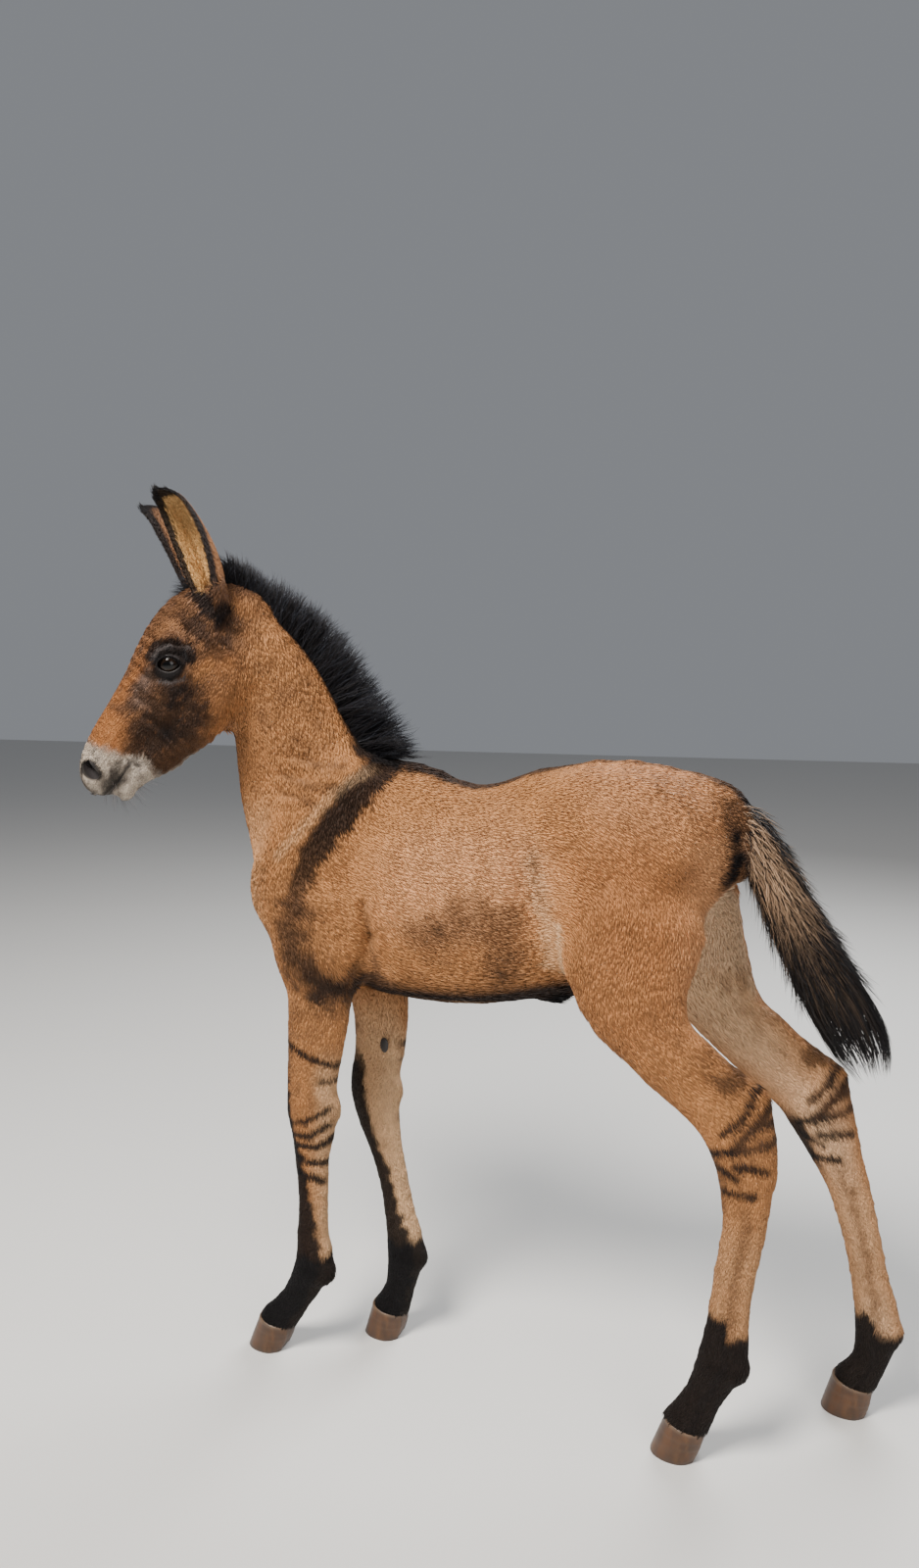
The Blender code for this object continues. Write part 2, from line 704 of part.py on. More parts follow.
def boolean(thing, cutter, operation):
    """Cuts or joins, with the second solver where the first leaves nothing or an open mesh."""
    for solver in ("MANIFOLD", "EXACT"):
        modifier = thing.modifiers.new(operation.lower(), "BOOLEAN")
        modifier.operation = operation
        modifier.object = cutter
        modifier.solver = solver
        made = evaluated_mesh(thing)
        thing.modifiers.clear()
        if solver == "EXACT" or is_closed(made):
            old = thing.data
            thing.data = made
            bpy.data.meshes.remove(old)
            return
        bpy.data.meshes.remove(made)


def swollen(thing, by, name, where):
    """A copy of the object with its skin moved outwards."""
    copied = copy_of(thing, name, where)
    copied.data.update()
    for vertex in copied.data.vertices:
        vertex.co += vertex.normal * by
    return copied


def boxed(low, high, name, where, tilt=0.0, pivot=(0, 0, 0)):
    """A box from its low to its high corner, turned about Y by tilt at the pivot."""
    low, high, pivot = Vector(low), Vector(high), Vector(pivot)
    bm = bmesh.new()
    size = Matrix.Diagonal((high - low).to_4d())
    size[3][3] = 1
    turn = Matrix.Translation(pivot) @ Matrix.Rotation(tilt, 4, "Y")
    bmesh.ops.create_cube(bm, size=1, matrix=turn @ Matrix.Translation((low + high) / 2) @ size)
    return add_cutter(name, mesh_from(bm, name), where)


def keep_largest(thing):
    """Keeps the largest closed surface of the mesh and drops any scrap."""
    bm = bmesh.new()
    bm.from_mesh(thing.data)
    bmesh.ops.remove_doubles(bm, verts=bm.verts, dist=1e-6)
    left = set(bm.faces)
    shells = []
    while left:
        stack = [left.pop()]
        shell = set(stack)
        while stack:
            for edge in stack.pop().edges:
                for face in edge.link_faces:
                    if face in left:
                        left.remove(face)
                        shell.add(face)
                        stack.append(face)
        shells.append(shell)
    shells.sort(key=lambda shell: -sum(face.calc_area() for face in shell))
    drop = [face for shell in shells[1:] for face in shell]
    bmesh.ops.delete(bm, geom=drop, context="FACES")
    bmesh.ops.triangulate(bm, faces=bm.faces)
    bm.to_mesh(thing.data)
    bm.free()


def copy_of(thing, name, where, finish=None):
    return add_object(name, thing.data.copy(), where, finish)


# Where the nodes part.

NECK_HEAD_POINT = Vector((-0.105, -0.062, 1.120))
NECK_HEAD_NORMAL = unit((-0.74, -0.54, 0.30))
NECK_TORSO_POINT = Vector((-0.022, 0, 0.885))
NECK_TORSO_NORMAL = unit((-0.60, 0, 0.80))
FORE_CUT = 0.588
HIND_CUT_POINT = Vector((0.520, 0, 0.660))
HIND_CUT_TILT = math.radians(-27)
TAIL_POINT = Vector((0.6200, 0, 0.887))
TAIL_TILT = math.radians(48)  # how far the cut leans forward from upright
CORONET_TILT = 0.20  # how much higher the coronet is in front, as a slope


def hind_box(name, way, gap, where):
    """Everything below the cut across one thigh; way is -1 on the left and 1 on the right."""
    low, high = sorted((way * 0.004, way * 0.40))
    return boxed((-0.20, low, -1.2), (0.50, high, -gap), name, where, HIND_CUT_TILT, HIND_CUT_POINT)


def fore_box(name, way, gap, where):
    low, high = sorted((way * 0.004, way * 0.40))
    return boxed((-0.30, low, -0.10), (0.24, high, FORE_CUT - gap), name, where)


def tail_plug(name, gap, where):
    """A round plug behind the cut across the root of the tail, clear of the buttocks."""
    bm = bmesh.new()
    turn = Matrix.Translation(TAIL_POINT) @ Matrix.Rotation(TAIL_TILT, 4, "Y")
    place = turn @ Matrix.Translation((0.2 + gap, 0, 0.006)) @ Matrix.Rotation(math.pi / 2, 4, "Y")
    radius = 0.037 - gap
    bmesh.ops.create_cone(
        bm, cap_ends=True, segments=20, radius1=radius, radius2=radius, depth=0.4, matrix=place
    )
    bmesh.ops.triangulate(bm, faces=bm.faces)
    return add_cutter(name, mesh_from(bm, name), where)


# Solids made from rings of points.


def bridge_rings(bm, rings, close=True):
    """Quads between successive rings of vertices, and a face on each end."""
    for first, second in zip(rings, rings[1:]):
        count = len(first)
        for i in range(count):
            j = (i + 1) % count
            bm.faces.new((first[i], first[j], second[j], second[i]))
    if close:
        bm.faces.new(rings[0][::-1])
        bm.faces.new(rings[-1])


def limb_solid(limb, name, where, finish, sides=12):
    """The limb as a closed solid of its own, with short domed ends."""
    bm = bmesh.new()
    rows = []
    for i in range(len(limb.sizes)):
        at = min(i, len(limb.start) - 1)
        place = limb.start[at] if i < len(limb.start) else limb.start[at] + limb.tangent[at] * limb.length[at]
        rows.append((place, at, limb.sizes[i], 1.0))
    first, last = rows[0], rows[-1]
    dome = min(first[2].min(), 0.02)
    rows.insert(0, (first[0] - limb.tangent[first[1]] * dome * 0.6, first[1], first[2], 0.6))
    dome = min(last[2].min(), 0.02)
    rows.append((last[0] + limb.tangent[last[1]] * dome * 0.6, last[1], last[2], 0.6))
    rings = []
    for place, at, (width, reach, back), scale in rows:
        ring = []
        for k in range(sides):
            angle = 2 * math.pi * k / sides
            depth = reach if math.cos(angle) > 0 else back
            offset = limb.side[at] * width * math.sin(angle) + limb.front[at] * depth * math.cos(angle)
            ring.append(bm.verts.new(Vector(place + offset * scale)))
        rings.append(ring)
    bridge_rings(bm, rings)
    bmesh.ops.triangulate(bm, faces=bm.faces)
    return add_object(name, mesh_from(bm, name), where, finish)


# Hooves.


def coronet_plane(leg, gap):
    """A point on the cut above the hoof, and its upward normal."""
    point = Vector(LEG_JOINTS[leg]["coronet"])
    normal = unit((CORONET_TILT, 0, 1))
    return point - normal * gap, normal


def hoof(leg, name, where, finish):
    """A hoof from the coronet down to its flat sole, with heel bulbs and a groove between them."""
    point, normal = coronet_plane(leg, GAP)
    sole = Vector(LEG_JOINTS[leg]["hoof"])
    rings = []
    bm = bmesh.new()
    count = 20
    for share in (0.0, 0.12, 0.45, 0.85, 1.0):
        ring = []
        flare = 0.0275 + (HOOF_HALF_WIDTH - 0.0275) * share**0.8
        if share == 1.0:
            flare -= 0.0012
        for k in range(count):
            angle = 2 * math.pi * k / count
            toe, out = math.cos(angle), math.sin(angle)
            reach = (0.0305 + 0.0085 * share) if toe > 0 else (0.0290 + 0.004 * math.sin(share * math.pi))
            squared = abs(out) ** 0.86 * (1 if out > 0 else -1)
            x = -toe * reach * (1 if toe > 0 else 0.93)
            if toe < -0.9:
                x -= 0.0055 * (share**0.5)
            y = flare * squared * (1 - 0.16 * max(0, -toe) ** 2)
            centre = point.lerp(Vector((sole.x, sole.y, 0)), share)
            top_z = point.z - (x + centre.x - point.x) * normal.x / normal.z
            z = top_z * (1 - share)
            ring.append(bm.verts.new((centre.x + x, centre.y + y, z)))
        rings.append(ring)
    bridge_rings(bm, rings)
    bmesh.ops.triangulate(bm, faces=bm.faces)
    return add_object(name, mesh_from(bm, name), where, finish)


# Eyes, lids, nostrils and mouth.


def head_place(centre, way):
    """A point given on the head's right side, on that side (1) or the other (-1), in the body's frame."""
    return head_matrix() @ Vector((centre[0], centre[1] * way, centre[2]))


def head_way(direction, way):
    return head_matrix().to_3x3() @ Vector((direction[0], direction[1] * way, direction[2]))


def ball(centre, radius, name, where, finish=None, subdivisions=3):
    bm = bmesh.new()
    bmesh.ops.create_icosphere(bm, subdivisions=subdivisions, radius=radius, matrix=Matrix.Translation(centre))
    return add_object(name, mesh_from(bm, name), where, finish)


def lid_opening(way, name, where):
    """An almond-shaped plug, widening outwards, that opens the lids over the eye."""
    out = unit(EYE_OUT)
    long = unit(Vector(EYE_LONG) - out * Vector(EYE_LONG).dot(out))
    high = long.cross(out)
    half_long, half_high = EYE_OPENING
    bm = bmesh.new()
    rings = []
    for depth, scale in ((0.004, 0.80), (EYE_RADIUS, 1.0), (EYE_RADIUS + 0.012, 1.45)):
        ring = []
        for k in range(20):
            angle = 2 * math.pi * k / 20
            across = math.cos(angle)
            rise = math.sin(angle) * (1 - 0.25 * across**2)
            rise *= 1.1 if rise > 0 else 0.9
            offset = (long * across * half_long + high * rise * half_high) * scale
            local = Vector(EYE_CENTRE) + out * depth + offset
            ring.append(bm.verts.new(head_place(local, way)))
        rings.append(ring)
    bridge_rings(bm, rings)
    bmesh.ops.triangulate(bm, faces=bm.faces)
    return add_cutter(name, mesh_from(bm, name), where)


def nostril(way, name, where):
    """A tall comma-shaped hollow, as two overlapping ellipsoids."""
    bm = bmesh.new()
    turn = Matrix.Rotation(math.radians(38 * way), 4, "Z") @ Matrix.Rotation(math.radians(52), 4, "Y")
    place = Matrix.Translation((NOSTRIL_CENTRE[0], NOSTRIL_CENTRE[1] * way, NOSTRIL_CENTRE[2]))
    size = Matrix.Diagonal((*NOSTRIL_RADII, 1))
    bmesh.ops.create_icosphere(bm, subdivisions=3, radius=1, matrix=head_matrix() @ place @ turn @ size)
    return add_cutter(name, mesh_from(bm, name), where)


def muzzle_reach(flesh, angle, level):
    """How far the lips reach from the muzzle's middle, at one angle from straight ahead and one level."""
    centre = Vector((MOUTH_CORNER_ALONG + 0.012, 0, level))
    ray = Vector((math.cos(angle), math.sin(angle), 0))
    steps = np.linspace(0.005, 0.08, 76)
    points = np.array([head_matrix() @ (centre + ray * step) for step in steps])
    inside = flesh.head_field(points) < 0
    return centre, ray, steps[inside].max() if inside.any() else 0.02


def mouth_groove(flesh, name, where):
    """A blade bent round the muzzle that cuts the line between the lips."""
    bm = bmesh.new()
    rings = []
    for k in range(25):
        angle = math.radians(-112 + 224 * k / 24)
        level = MOUTH_LEVEL + 0.006 * (abs(angle) / 2.0) ** 2
        centre, ray, reach = muzzle_reach(flesh, angle, level)
        fade = 1 - (abs(angle) / math.radians(118)) ** 4
        tilt = 0.0015
        inner, outer = reach - 0.0055 * fade, reach + 0.006
        ring = [
            centre + ray * inner + Vector((0, 0, -0.0003)),
            centre + ray * outer + Vector((0, 0, -0.0022 - tilt)),
            centre + ray * outer + Vector((0, 0, 0.0022 - tilt)),
            centre + ray * inner + Vector((0, 0, 0.0003)),
        ]
        rings.append([bm.verts.new(head_matrix() @ corner) for corner in ring])
    bridge_rings(bm, rings)
    bmesh.ops.triangulate(bm, faces=bm.faces)
    return add_cutter(name, mesh_from(bm, name), where)


# Ears.


def ear(way, name, where, finish, arcs=8, rows=12):
    """A long pointed ear: a thick leaf rolled into a cup that is nearly closed at its foot."""
    base, tip = Vector(EAR_BASE), Vector(EAR_TIP)
    rise = (tip - base).normalized()
    faces = unit(Vector(EAR_FACES) - rise * Vector(EAR_FACES).dot(rise))
    across = rise.cross(faces)
    bm = bmesh.new()
    rings = []
    for row in range(rows):
        t = row / (rows - 1)
        run = t * EAR_LENGTH - 0.014
        half = EAR_WIDTH / 2 * (0.70 + 1.29 * t - 1.13 * t**2.6) * math.sqrt(max(0, 1 - t**16))
        half = max(half, 0.0040)
        open_angle = math.radians(128 - 74 * min(1, t * 1.15))
        radius = half / math.sin(min(open_angle, math.pi / 2))
        thick = EAR_THICKNESS * (1.25 - 0.5 * t)
        bend = 0.012 * math.sin(t * math.pi) - 0.006 * t * t
        centre = base + rise * run - faces * bend + across * 0.010 * (t**2) * -1
        ring = []
        for side, reach in ((1, radius), (-1, max(radius - thick, 0.0012))):
            for k in range(arcs + 1):
                angle = open_angle * (2 * k / arcs - 1) * side
                depth = math.cos(angle) * reach - radius * 0.4
                local = centre + across * math.sin(angle) * reach - faces * depth
                ring.append(bm.verts.new(head_place(local, way)))
        rings.append(ring)
    bridge_rings(bm, rings)
    bmesh.ops.triangulate(bm, faces=bm.faces)
    return add_object(name, mesh_from(bm, name), where, finish)


# Mane, forelock and tail.

# The crest, from the poll to the withers: its middle line, the height of the hair, and its lean as x and z.
CREST = [
    (-0.100, -0.057, 1.193, 0.046, 0.16, 0.99),
    (-0.078, -0.049, 1.168, 0.052, 0.30, 0.95),
    (-0.040, -0.039, 1.134, 0.062, 0.46, 0.89),
    (-0.006, -0.028, 1.090, 0.070, 0.60, 0.80),
    (0.020, -0.018, 1.043, 0.074, 0.70, 0.71),
    (0.042, -0.009, 0.998, 0.076, 0.80, 0.60),
    (0.066, -0.002, 0.966, 0.074, 0.89, 0.46),
    (0.092, 0.000, 0.953, 0.064, 0.97, 0.24),
]
MANE_LOCKS = 50
MANE_LOCK_WIDTH = 0.0175
MANE_LOCK_THICKNESS = 0.0060
MANE_CORE = 0.45  # of the hair's height

# The tail's hair: its middle line, half width, reach up and reach down.
TAIL_HAIR = [
    (0.600, 0, 0.896, 0.022, 0.022, 0.022),
    (0.632, 0, 0.870, 0.026, 0.026, 0.026),
    (0.664, 0, 0.818, 0.028, 0.028, 0.028),
    (0.698, 0, 0.752, 0.030, 0.031, 0.033),
    (0.734, 0, 0.687, 0.031, 0.034, 0.037),
    (0.769, 0, 0.626, 0.029, 0.036, 0.040),
    (0.796, 0, 0.573, 0.023, 0.032, 0.033),
    (0.812, 0, 0.530, 0.012, 0.018, 0.018),
]
TAIL_LOCKS = 32
TAIL_LOCK_WIDTH = 0.0220
TAIL_LOCK_THICKNESS = 0.0080

FORELOCK_LOCKS = 9
POLL_LOCKS = 9
LOCK_STEPS = (0, 0.36, 0.72, 1.0)


def lock(bm, path, across, width, thickness, shape=(0.9, 1.0, 0.72)):
    """One flat tapered lock: a strip of lozenge section along the path that ends in a point."""
    rings = []
    for i, share in enumerate(shape):
        run = path[min(i + 1, len(path) - 1)] - path[max(i - 1, 0)]
        side = across[i] - run * (across[i].dot(run) / run.length_squared)
        side.normalize()
        lift = unit(run.cross(side))
        half, deep = width * share / 2, thickness * min(1, share * 1.1) / 2
        corners = [path[i] + side * half, path[i] + lift * deep, path[i] - side * half, path[i] - lift * deep]
        rings.append([bm.verts.new(corner) for corner in corners])
    bridge_rings(bm, rings, close=False)
    bm.faces.new(rings[0][::-1])
    tip = bm.verts.new(path[len(shape)])
    for i in range(4):
        bm.faces.new((rings[-1][i], rings[-1][(i + 1) % 4], tip))


def lock_object(name, path, across, width, thickness, where):
    bm = bmesh.new()
    lock(bm, path, across, width, thickness)
    bmesh.ops.triangulate(bm, faces=bm.faces)
    return add_object(name, mesh_from(bm, name), where)


def read_rows(rows, share):
    """One row of a table of stations, at a share of the way along it."""
    at = min(max(share, 0), 0.9999) * (len(rows) - 1)
    return rows[int(at)] * (1 - at % 1) + rows[int(at) + 1] * (at % 1)


def mane_frame(rows, share):
    """At a share of the crest: its point, the hair's height, its lean, the crest's run and its right side."""
    row = read_rows(rows, share)
    run = unit(read_rows(rows, share + 0.02)[:3] - read_rows(rows, share - 0.02)[:3])
    lean = unit((row[4], 0, row[5]))
    return Vector(row[:3]), row[3], lean, run, unit(lean.cross(run))


def mane_core(name, where, finish):
    """The dense foot of the mane, as one low crest under the locks."""
    rows = catmull_rom(CREST, 3)
    bm = bmesh.new()
    rings = []
    for i in range(19):
        point, height, lean, _, side = mane_frame(rows, i / 18)
        top = point + lean * height * MANE_CORE
        ring = []
        for share, half in ((-0.022, 0.006), (0.0, 0.0095), (0.6, 0.0085), (1.0, 0.003)):
            level = point + lean * share if share < 0 else point.lerp(top, share)
            ring.append((level, half))
        right = [level + side * half for level, half in ring]
        corners = right + [level - side * half for level, half in ring[::-1]]
        rings.append([bm.verts.new(corner) for corner in corners])
    bridge_rings(bm, rings)
    bmesh.ops.triangulate(bm, faces=bm.faces)
    return add_object(name, mesh_from(bm, name), where, finish)


def mane_locks(chance, where):
    rows = catmull_rom(CREST, 3)
    for i in range(MANE_LOCKS):
        share = (i + 0.2 + 0.6 * chance.random()) / MANE_LOCKS
        point, height, lean, run, side = mane_frame(rows, share)
        row = (-1, 0, 1)[i % 3]
        length = height * (0.86 + 0.28 * chance.random()) * (1.05 if row == 0 else 0.92)
        sideways = row * 0.20 + 0.12 * (chance.random() - 0.5)
        aim = lean + side * sideways + run * 0.16 * (chance.random() - 0.35)
        bend = run * 0.012 * (chance.random() + 0.2) + side * row * 0.006
        root = point - lean * 0.013 + side * row * 0.0050
        path = [root + aim * (length + 0.013) * t + bend * t * t for t in LOCK_STEPS]
        width = MANE_LOCK_WIDTH * (0.85 + 0.3 * chance.random())
        lock_object(f"mane_{i}", path, [run] * 4, width, MANE_LOCK_THICKNESS, where)


def forelock(chance, where):
    """Short locks that fall forward from between the ears."""
    for i in range(FORELOCK_LOCKS):
        across = (i % 3 - 1) * 0.0085
        row = i // 3
        root = Vector((0.032 + 0.010 * row, across, 0.016 + 0.008 * row))
        length = 0.040 + 0.010 * chance.random()
        aim = unit((0.30 + 0.15 * row, 6 * across + 0.1 * (chance.random() - 0.5), 0.92))
        droop = Vector((0.014, 0, -0.007))
        path = [root + aim * (length * t - 0.004) + droop * t * t for t in LOCK_STEPS]
        place = head_matrix()
        side = place.to_3x3() @ Vector((0, 1, 0))
        lock_object(f"forelock_{i}", [place @ p for p in path], [side] * 4, 0.0135, 0.0060, where)


def poll_locks(chance, where):
    """The head's share of the mane: upright locks between and behind the ears."""
    place = head_matrix()
    for i in range(POLL_LOCKS):
        share = (i + 0.5 * chance.random()) / POLL_LOCKS
        across = (i % 2 - 0.5) * 0.007
        root = place @ Vector((0.032 - 0.046 * share, across, 0.002 - 0.026 * share))
        aim = unit((0.06 + 0.10 * chance.random(), (i % 2 - 0.5) * 0.06, 1))
        length = 0.050 * (0.9 + 0.2 * chance.random())
        run = unit(place.to_3x3() @ Vector((-1, 0, -0.4)))
        path = [root + aim * (length * t - 0.006) + run * 0.008 * t * t for t in LOCK_STEPS]
        lock_object(f"poll_{i}", path, [run] * 4, 0.0150, MANE_LOCK_THICKNESS, where)


def tail_frame(rows, share, angle):
    """A point on the tail's hair, and the way out of it and around it there."""
    row = read_rows(rows, share)
    run = unit(read_rows(rows, share + 0.02)[:3] - read_rows(rows, share - 0.02)[:3])
    up = unit(Vector((1, 0, 0.6)) - run * Vector((1, 0, 0.6)).dot(run))
    side = run.cross(up)
    reach = row[4] if math.cos(angle) > 0 else row[5]
    out = up * math.cos(angle) * reach + side * math.sin(angle) * row[3]
    around = side * math.cos(angle) - up * math.sin(angle)
    return Vector(row[:3]), out, around


def tail_locks(chance, where):
    rows = catmull_rom(TAIL_HAIR, 3)
    for i in range(TAIL_LOCKS):
        start = 0.10 + 0.42 * (i / TAIL_LOCKS) ** 0.9
        end = min(0.995, start + 0.30 + 0.17 * chance.random() + 0.10 * (i / TAIL_LOCKS))
        angle = i * 2.39996 + 0.3 * chance.random()
        twist = 0.35 * (chance.random() - 0.5)
        spread = 0.92 + 0.16 * chance.random()
        path, across = [], []
        for t in LOCK_STEPS:
            centre, out, around = tail_frame(rows, start + (end - start) * t, angle + twist * t)
            path.append(centre + out * (0.30 + (spread - 0.30) * min(1, t * 1.9) * (1 - 0.10 * t)))
            across.append(around)
        width = TAIL_LOCK_WIDTH * (0.8 + 0.4 * chance.random())
        lock_object(f"tail_{i}", path, across, width, TAIL_LOCK_THICKNESS, where)


def tail_core(name, where, finish):
    """The dock and the hair close around it."""
    rows = [(x, y, z, w * 0.72, up * 0.72, low * 0.72) for x, y, z, w, up, low in TAIL_HAIR[:5]]
    rows.append((0.746, 0, 0.658, 0.010, 0.012, 0.012))
    return limb_solid(Limb(rows, (1, 0, 0.6), 0, steps=2), name, where, finish, sides=10)


def join_all(thing, pieces):
    """One union of the thing with every closed piece in a collection, which is then emptied."""
    for solver in ("MANIFOLD", "EXACT"):
        modifier = thing.modifiers.new("join", "BOOLEAN")
        modifier.operation = "UNION"
        modifier.operand_type = "COLLECTION"
        modifier.collection = pieces
        modifier.solver = solver
        made = evaluated_mesh(thing)
        thing.modifiers.clear()
        if solver == "EXACT" or is_closed(made):
            old = thing.data
            thing.data = made
            bpy.data.meshes.remove(old)
            break
        bpy.data.meshes.remove(made)
    for piece in list(pieces.objects):
        bpy.data.objects.remove(piece)


def stand_on_origin(things):
    """Shifts every mesh so that the floor's point under the middle of the whole is the origin."""
    corners = [vertex.co for thing in things for vertex in thing.data.vertices]
    x = (min(c.x for c in corners) + max(c.x for c in corners)) / 2
    y = (min(c.y for c in corners) + max(c.y for c in corners)) / 2
    for thing in things:
        thing.data.transform(Matrix.Translation((-x, -y, 0)))
    return x, y


def main():
    clear_scene()
    shown = collection("mule_foal")
    cutters = collection("cutters", shown=False)
    coat = material("coat", COAT)
    dark = material("dark_hair", DARK_HAIR)
    ear_coat = material("ear_coat", EAR_COAT)
    horn = material("horn", HORN)
    eye_dark = material("eye_dark", EYE_DARK)
    flesh = Flesh()

    body = grow_skin("body_skin", [flesh.body_seeds, flesh.head_seeds], flesh.field, BODY_VOXEL, cutters)
    thinned(body, BODY_TRIANGLES)
    head = grow_skin("head", [flesh.head_seeds, flesh.neck.seeds], flesh.upper_field, HEAD_VOXEL, shown)
    thinned(head, HEAD_TRIANGLES)
    head.data.materials.append(coat)

    above = half_space(NECK_HEAD_POINT, NECK_HEAD_NORMAL, "above_throat", cutters)
    boolean(head, above, "INTERSECT")
    keep_largest(head)
    throat = NECK_HEAD_POINT - NECK_HEAD_NORMAL * GAP
    above_body = half_space(throat, NECK_HEAD_NORMAL, "above_throat_body", cutters)
    boolean(body, above_body, "DIFFERENCE")
    keep_largest(body)

    neck = copy_of(body, "neck", shown, coat)
    torso = copy_of(body, "torso", shown, coat)
    boolean(neck, half_space(NECK_TORSO_POINT, NECK_TORSO_NORMAL, "above_shoulder", cutters), "INTERSECT")
    keep_largest(neck)
    withers = NECK_TORSO_POINT - NECK_TORSO_NORMAL * GAP
    shoulder = half_space(withers, NECK_TORSO_NORMAL, "above_shoulder_torso", cutters)
    boolean(torso, shoulder, "DIFFERENCE")

    tail = copy_of(body, "tail", shown, dark)
    boolean(tail, tail_plug("tail_side", GAP, cutters), "INTERSECT")
    keep_largest(tail)
    boolean(torso, tail_plug("torso_side", 0, cutters), "DIFFERENCE")
    keep_largest(torso)

    boxes = {"foreleg": fore_box, "hindleg": hind_box}
    for leg in LEG_JOINTS:
        kind, side = leg.split("_")
        way = -1 if side == "left" else 1
        limb = copy_of(body, leg, shown, coat)
        boolean(limb, boxes[kind](leg + "_part", way, GAP, cutters), "INTERSECT")
        point, normal = coronet_plane(leg, 0)
        boolean(limb, half_space(point, normal, leg + "_above_hoof", cutters), "INTERSECT")
        keep_largest(limb)
        boolean(torso, boxes[kind](leg + "_from_torso", way, 0, cutters), "DIFFERENCE")
        keep_largest(torso)
        hoof(leg, leg.replace("leg_", "hoof_"), shown, horn)

    around_head = swollen(head, GAP, "around_head", cutters)
    for way, side in ((-1, "left"), (1, "right")):
        pinna = ear(way, "ear_" + side, shown, ear_coat)
        boolean(pinna, around_head, "DIFFERENCE")
        keep_largest(pinna)
        centre = head_place(EYE_CENTRE, way)
        boolean(head, ball(centre, EYE_RADIUS + GAP, "socket_" + side, cutters), "DIFFERENCE")
        boolean(head, lid_opening(way, "lids_" + side, cutters), "DIFFERENCE")
        boolean(head, nostril(way, "nostril_" + side, cutters), "DIFFERENCE")
        ball(centre, EYE_RADIUS, "eye_" + side, shown, eye_dark)
    boolean(head, mouth_groove(flesh, "mouth_line", cutters), "DIFFERENCE")
    keep_largest(head)

    around_torso = swollen(torso, 2.5 * GAP, "around_torso", cutters)
    pieces = collection("hair_pieces", shown=False)
    chance = random.Random(SEED)
    mane = mane_core("mane", cutters, dark)
    mane_locks(chance, pieces)
    join_all(mane, pieces)
    boolean(mane, around_torso, "DIFFERENCE")
    boolean(mane, around_head, "DIFFERENCE")
    keep_largest(mane)
    boolean(neck, mane, "UNION")
    keep_largest(neck)
    forelock(chance, pieces)
    poll_locks(chance, pieces)
    join_all(head, pieces)
    keep_largest(head)
    hair = tail_core("tail_hair", cutters, dark)
    tail_locks(chance, pieces)
    join_all(hair, pieces)
    boolean(hair, around_torso, "DIFFERENCE")
    keep_largest(hair)
    boolean(tail, hair, "UNION")
    keep_largest(tail)

    for thing in list(cutters.objects):
        bpy.data.objects.remove(thing)
    stand_on_origin(shown.objects)


main()
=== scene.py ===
"""A mule foal in its dun coat, life size, standing as in the photograph.

It has one skin under short fur, with its markings. The flesh is the blend of tapered limbs that the solids
are made of, drawn finer and set in by the coat's depth. The fur is thousands of small tapered tufts that lie
along the hair's run. Mane, forelock and tail are strands.

Everything is modelled with the floor under the middle of the fore hooves as the origin, then moved into the
frame by the place of the left eye.
"""

import math

import bmesh
import bpy
import numpy as np
from mathutils import Matrix, Vector


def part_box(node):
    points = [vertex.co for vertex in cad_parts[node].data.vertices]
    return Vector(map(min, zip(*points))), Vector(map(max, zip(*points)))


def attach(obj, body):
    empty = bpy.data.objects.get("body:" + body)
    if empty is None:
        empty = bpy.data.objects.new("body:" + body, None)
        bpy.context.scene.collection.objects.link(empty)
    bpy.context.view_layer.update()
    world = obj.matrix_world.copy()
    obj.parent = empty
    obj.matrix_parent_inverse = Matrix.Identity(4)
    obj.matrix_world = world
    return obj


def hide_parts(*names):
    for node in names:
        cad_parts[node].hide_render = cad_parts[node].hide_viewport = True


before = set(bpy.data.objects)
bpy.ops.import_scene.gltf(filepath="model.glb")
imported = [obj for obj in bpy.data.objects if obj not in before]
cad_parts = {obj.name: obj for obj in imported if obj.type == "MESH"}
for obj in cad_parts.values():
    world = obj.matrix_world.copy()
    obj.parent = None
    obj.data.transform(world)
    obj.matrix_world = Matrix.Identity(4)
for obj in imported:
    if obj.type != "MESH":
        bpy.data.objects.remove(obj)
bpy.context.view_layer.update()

# The camera, in the model's own place, before it is moved into the frame.
CAMERA_PLACE = Vector((0.763, -1.58, 1.09))
CAMERA_TURN = (math.radians(84), 0, math.radians(19))
CAMERA_LENS = 25.99  # mm, on a sensor 36 mm high

# Sizes of the skin.
WITHERS_HEIGHT = 0.955
SKIN_VOXEL = 0.006  # halved on the head, and again round eyes, nostrils and lips
COAT_DEPTH = 0.0022  # how far the skin lies inside the flesh's own form
SHORT_COAT_DEPTH = 0.001  # on the face and below the knees
SEED = 7

# The head has its own frame: along from the poll to the lips, side to its right, dorsal out of the forehead.
POLL = Vector((-0.1252, -0.0747, 1.219))
HEAD_TURN = math.radians(36)  # to the left of the body's line
HEAD_DROP = math.radians(54)  # below the horizontal
EYE_CENTRE = (0.152, 0.049, -0.0065)
EYE_RADIUS = 0.019
LID_THICKNESS = 0.0028
EYE_OUT = (0.26, 0.95, 0.16)  # the way the eye looks
EYE_LONG = (0.66, 0.0, 0.75)  # from the outer corner to the inner one, before it is squared to EYE_OUT
EYE_OPENING = (0.0195, 0.0125)  # half length and half height between the lids
NOSTRIL_CENTRE = (0.342, 0.032, -0.003)
NOSTRIL_RADII = (0.0165, 0.008, 0.0135)  # long way, across, deep
MOUTH_CORNER_ALONG = 0.299
MOUTH_LEVEL = -0.045

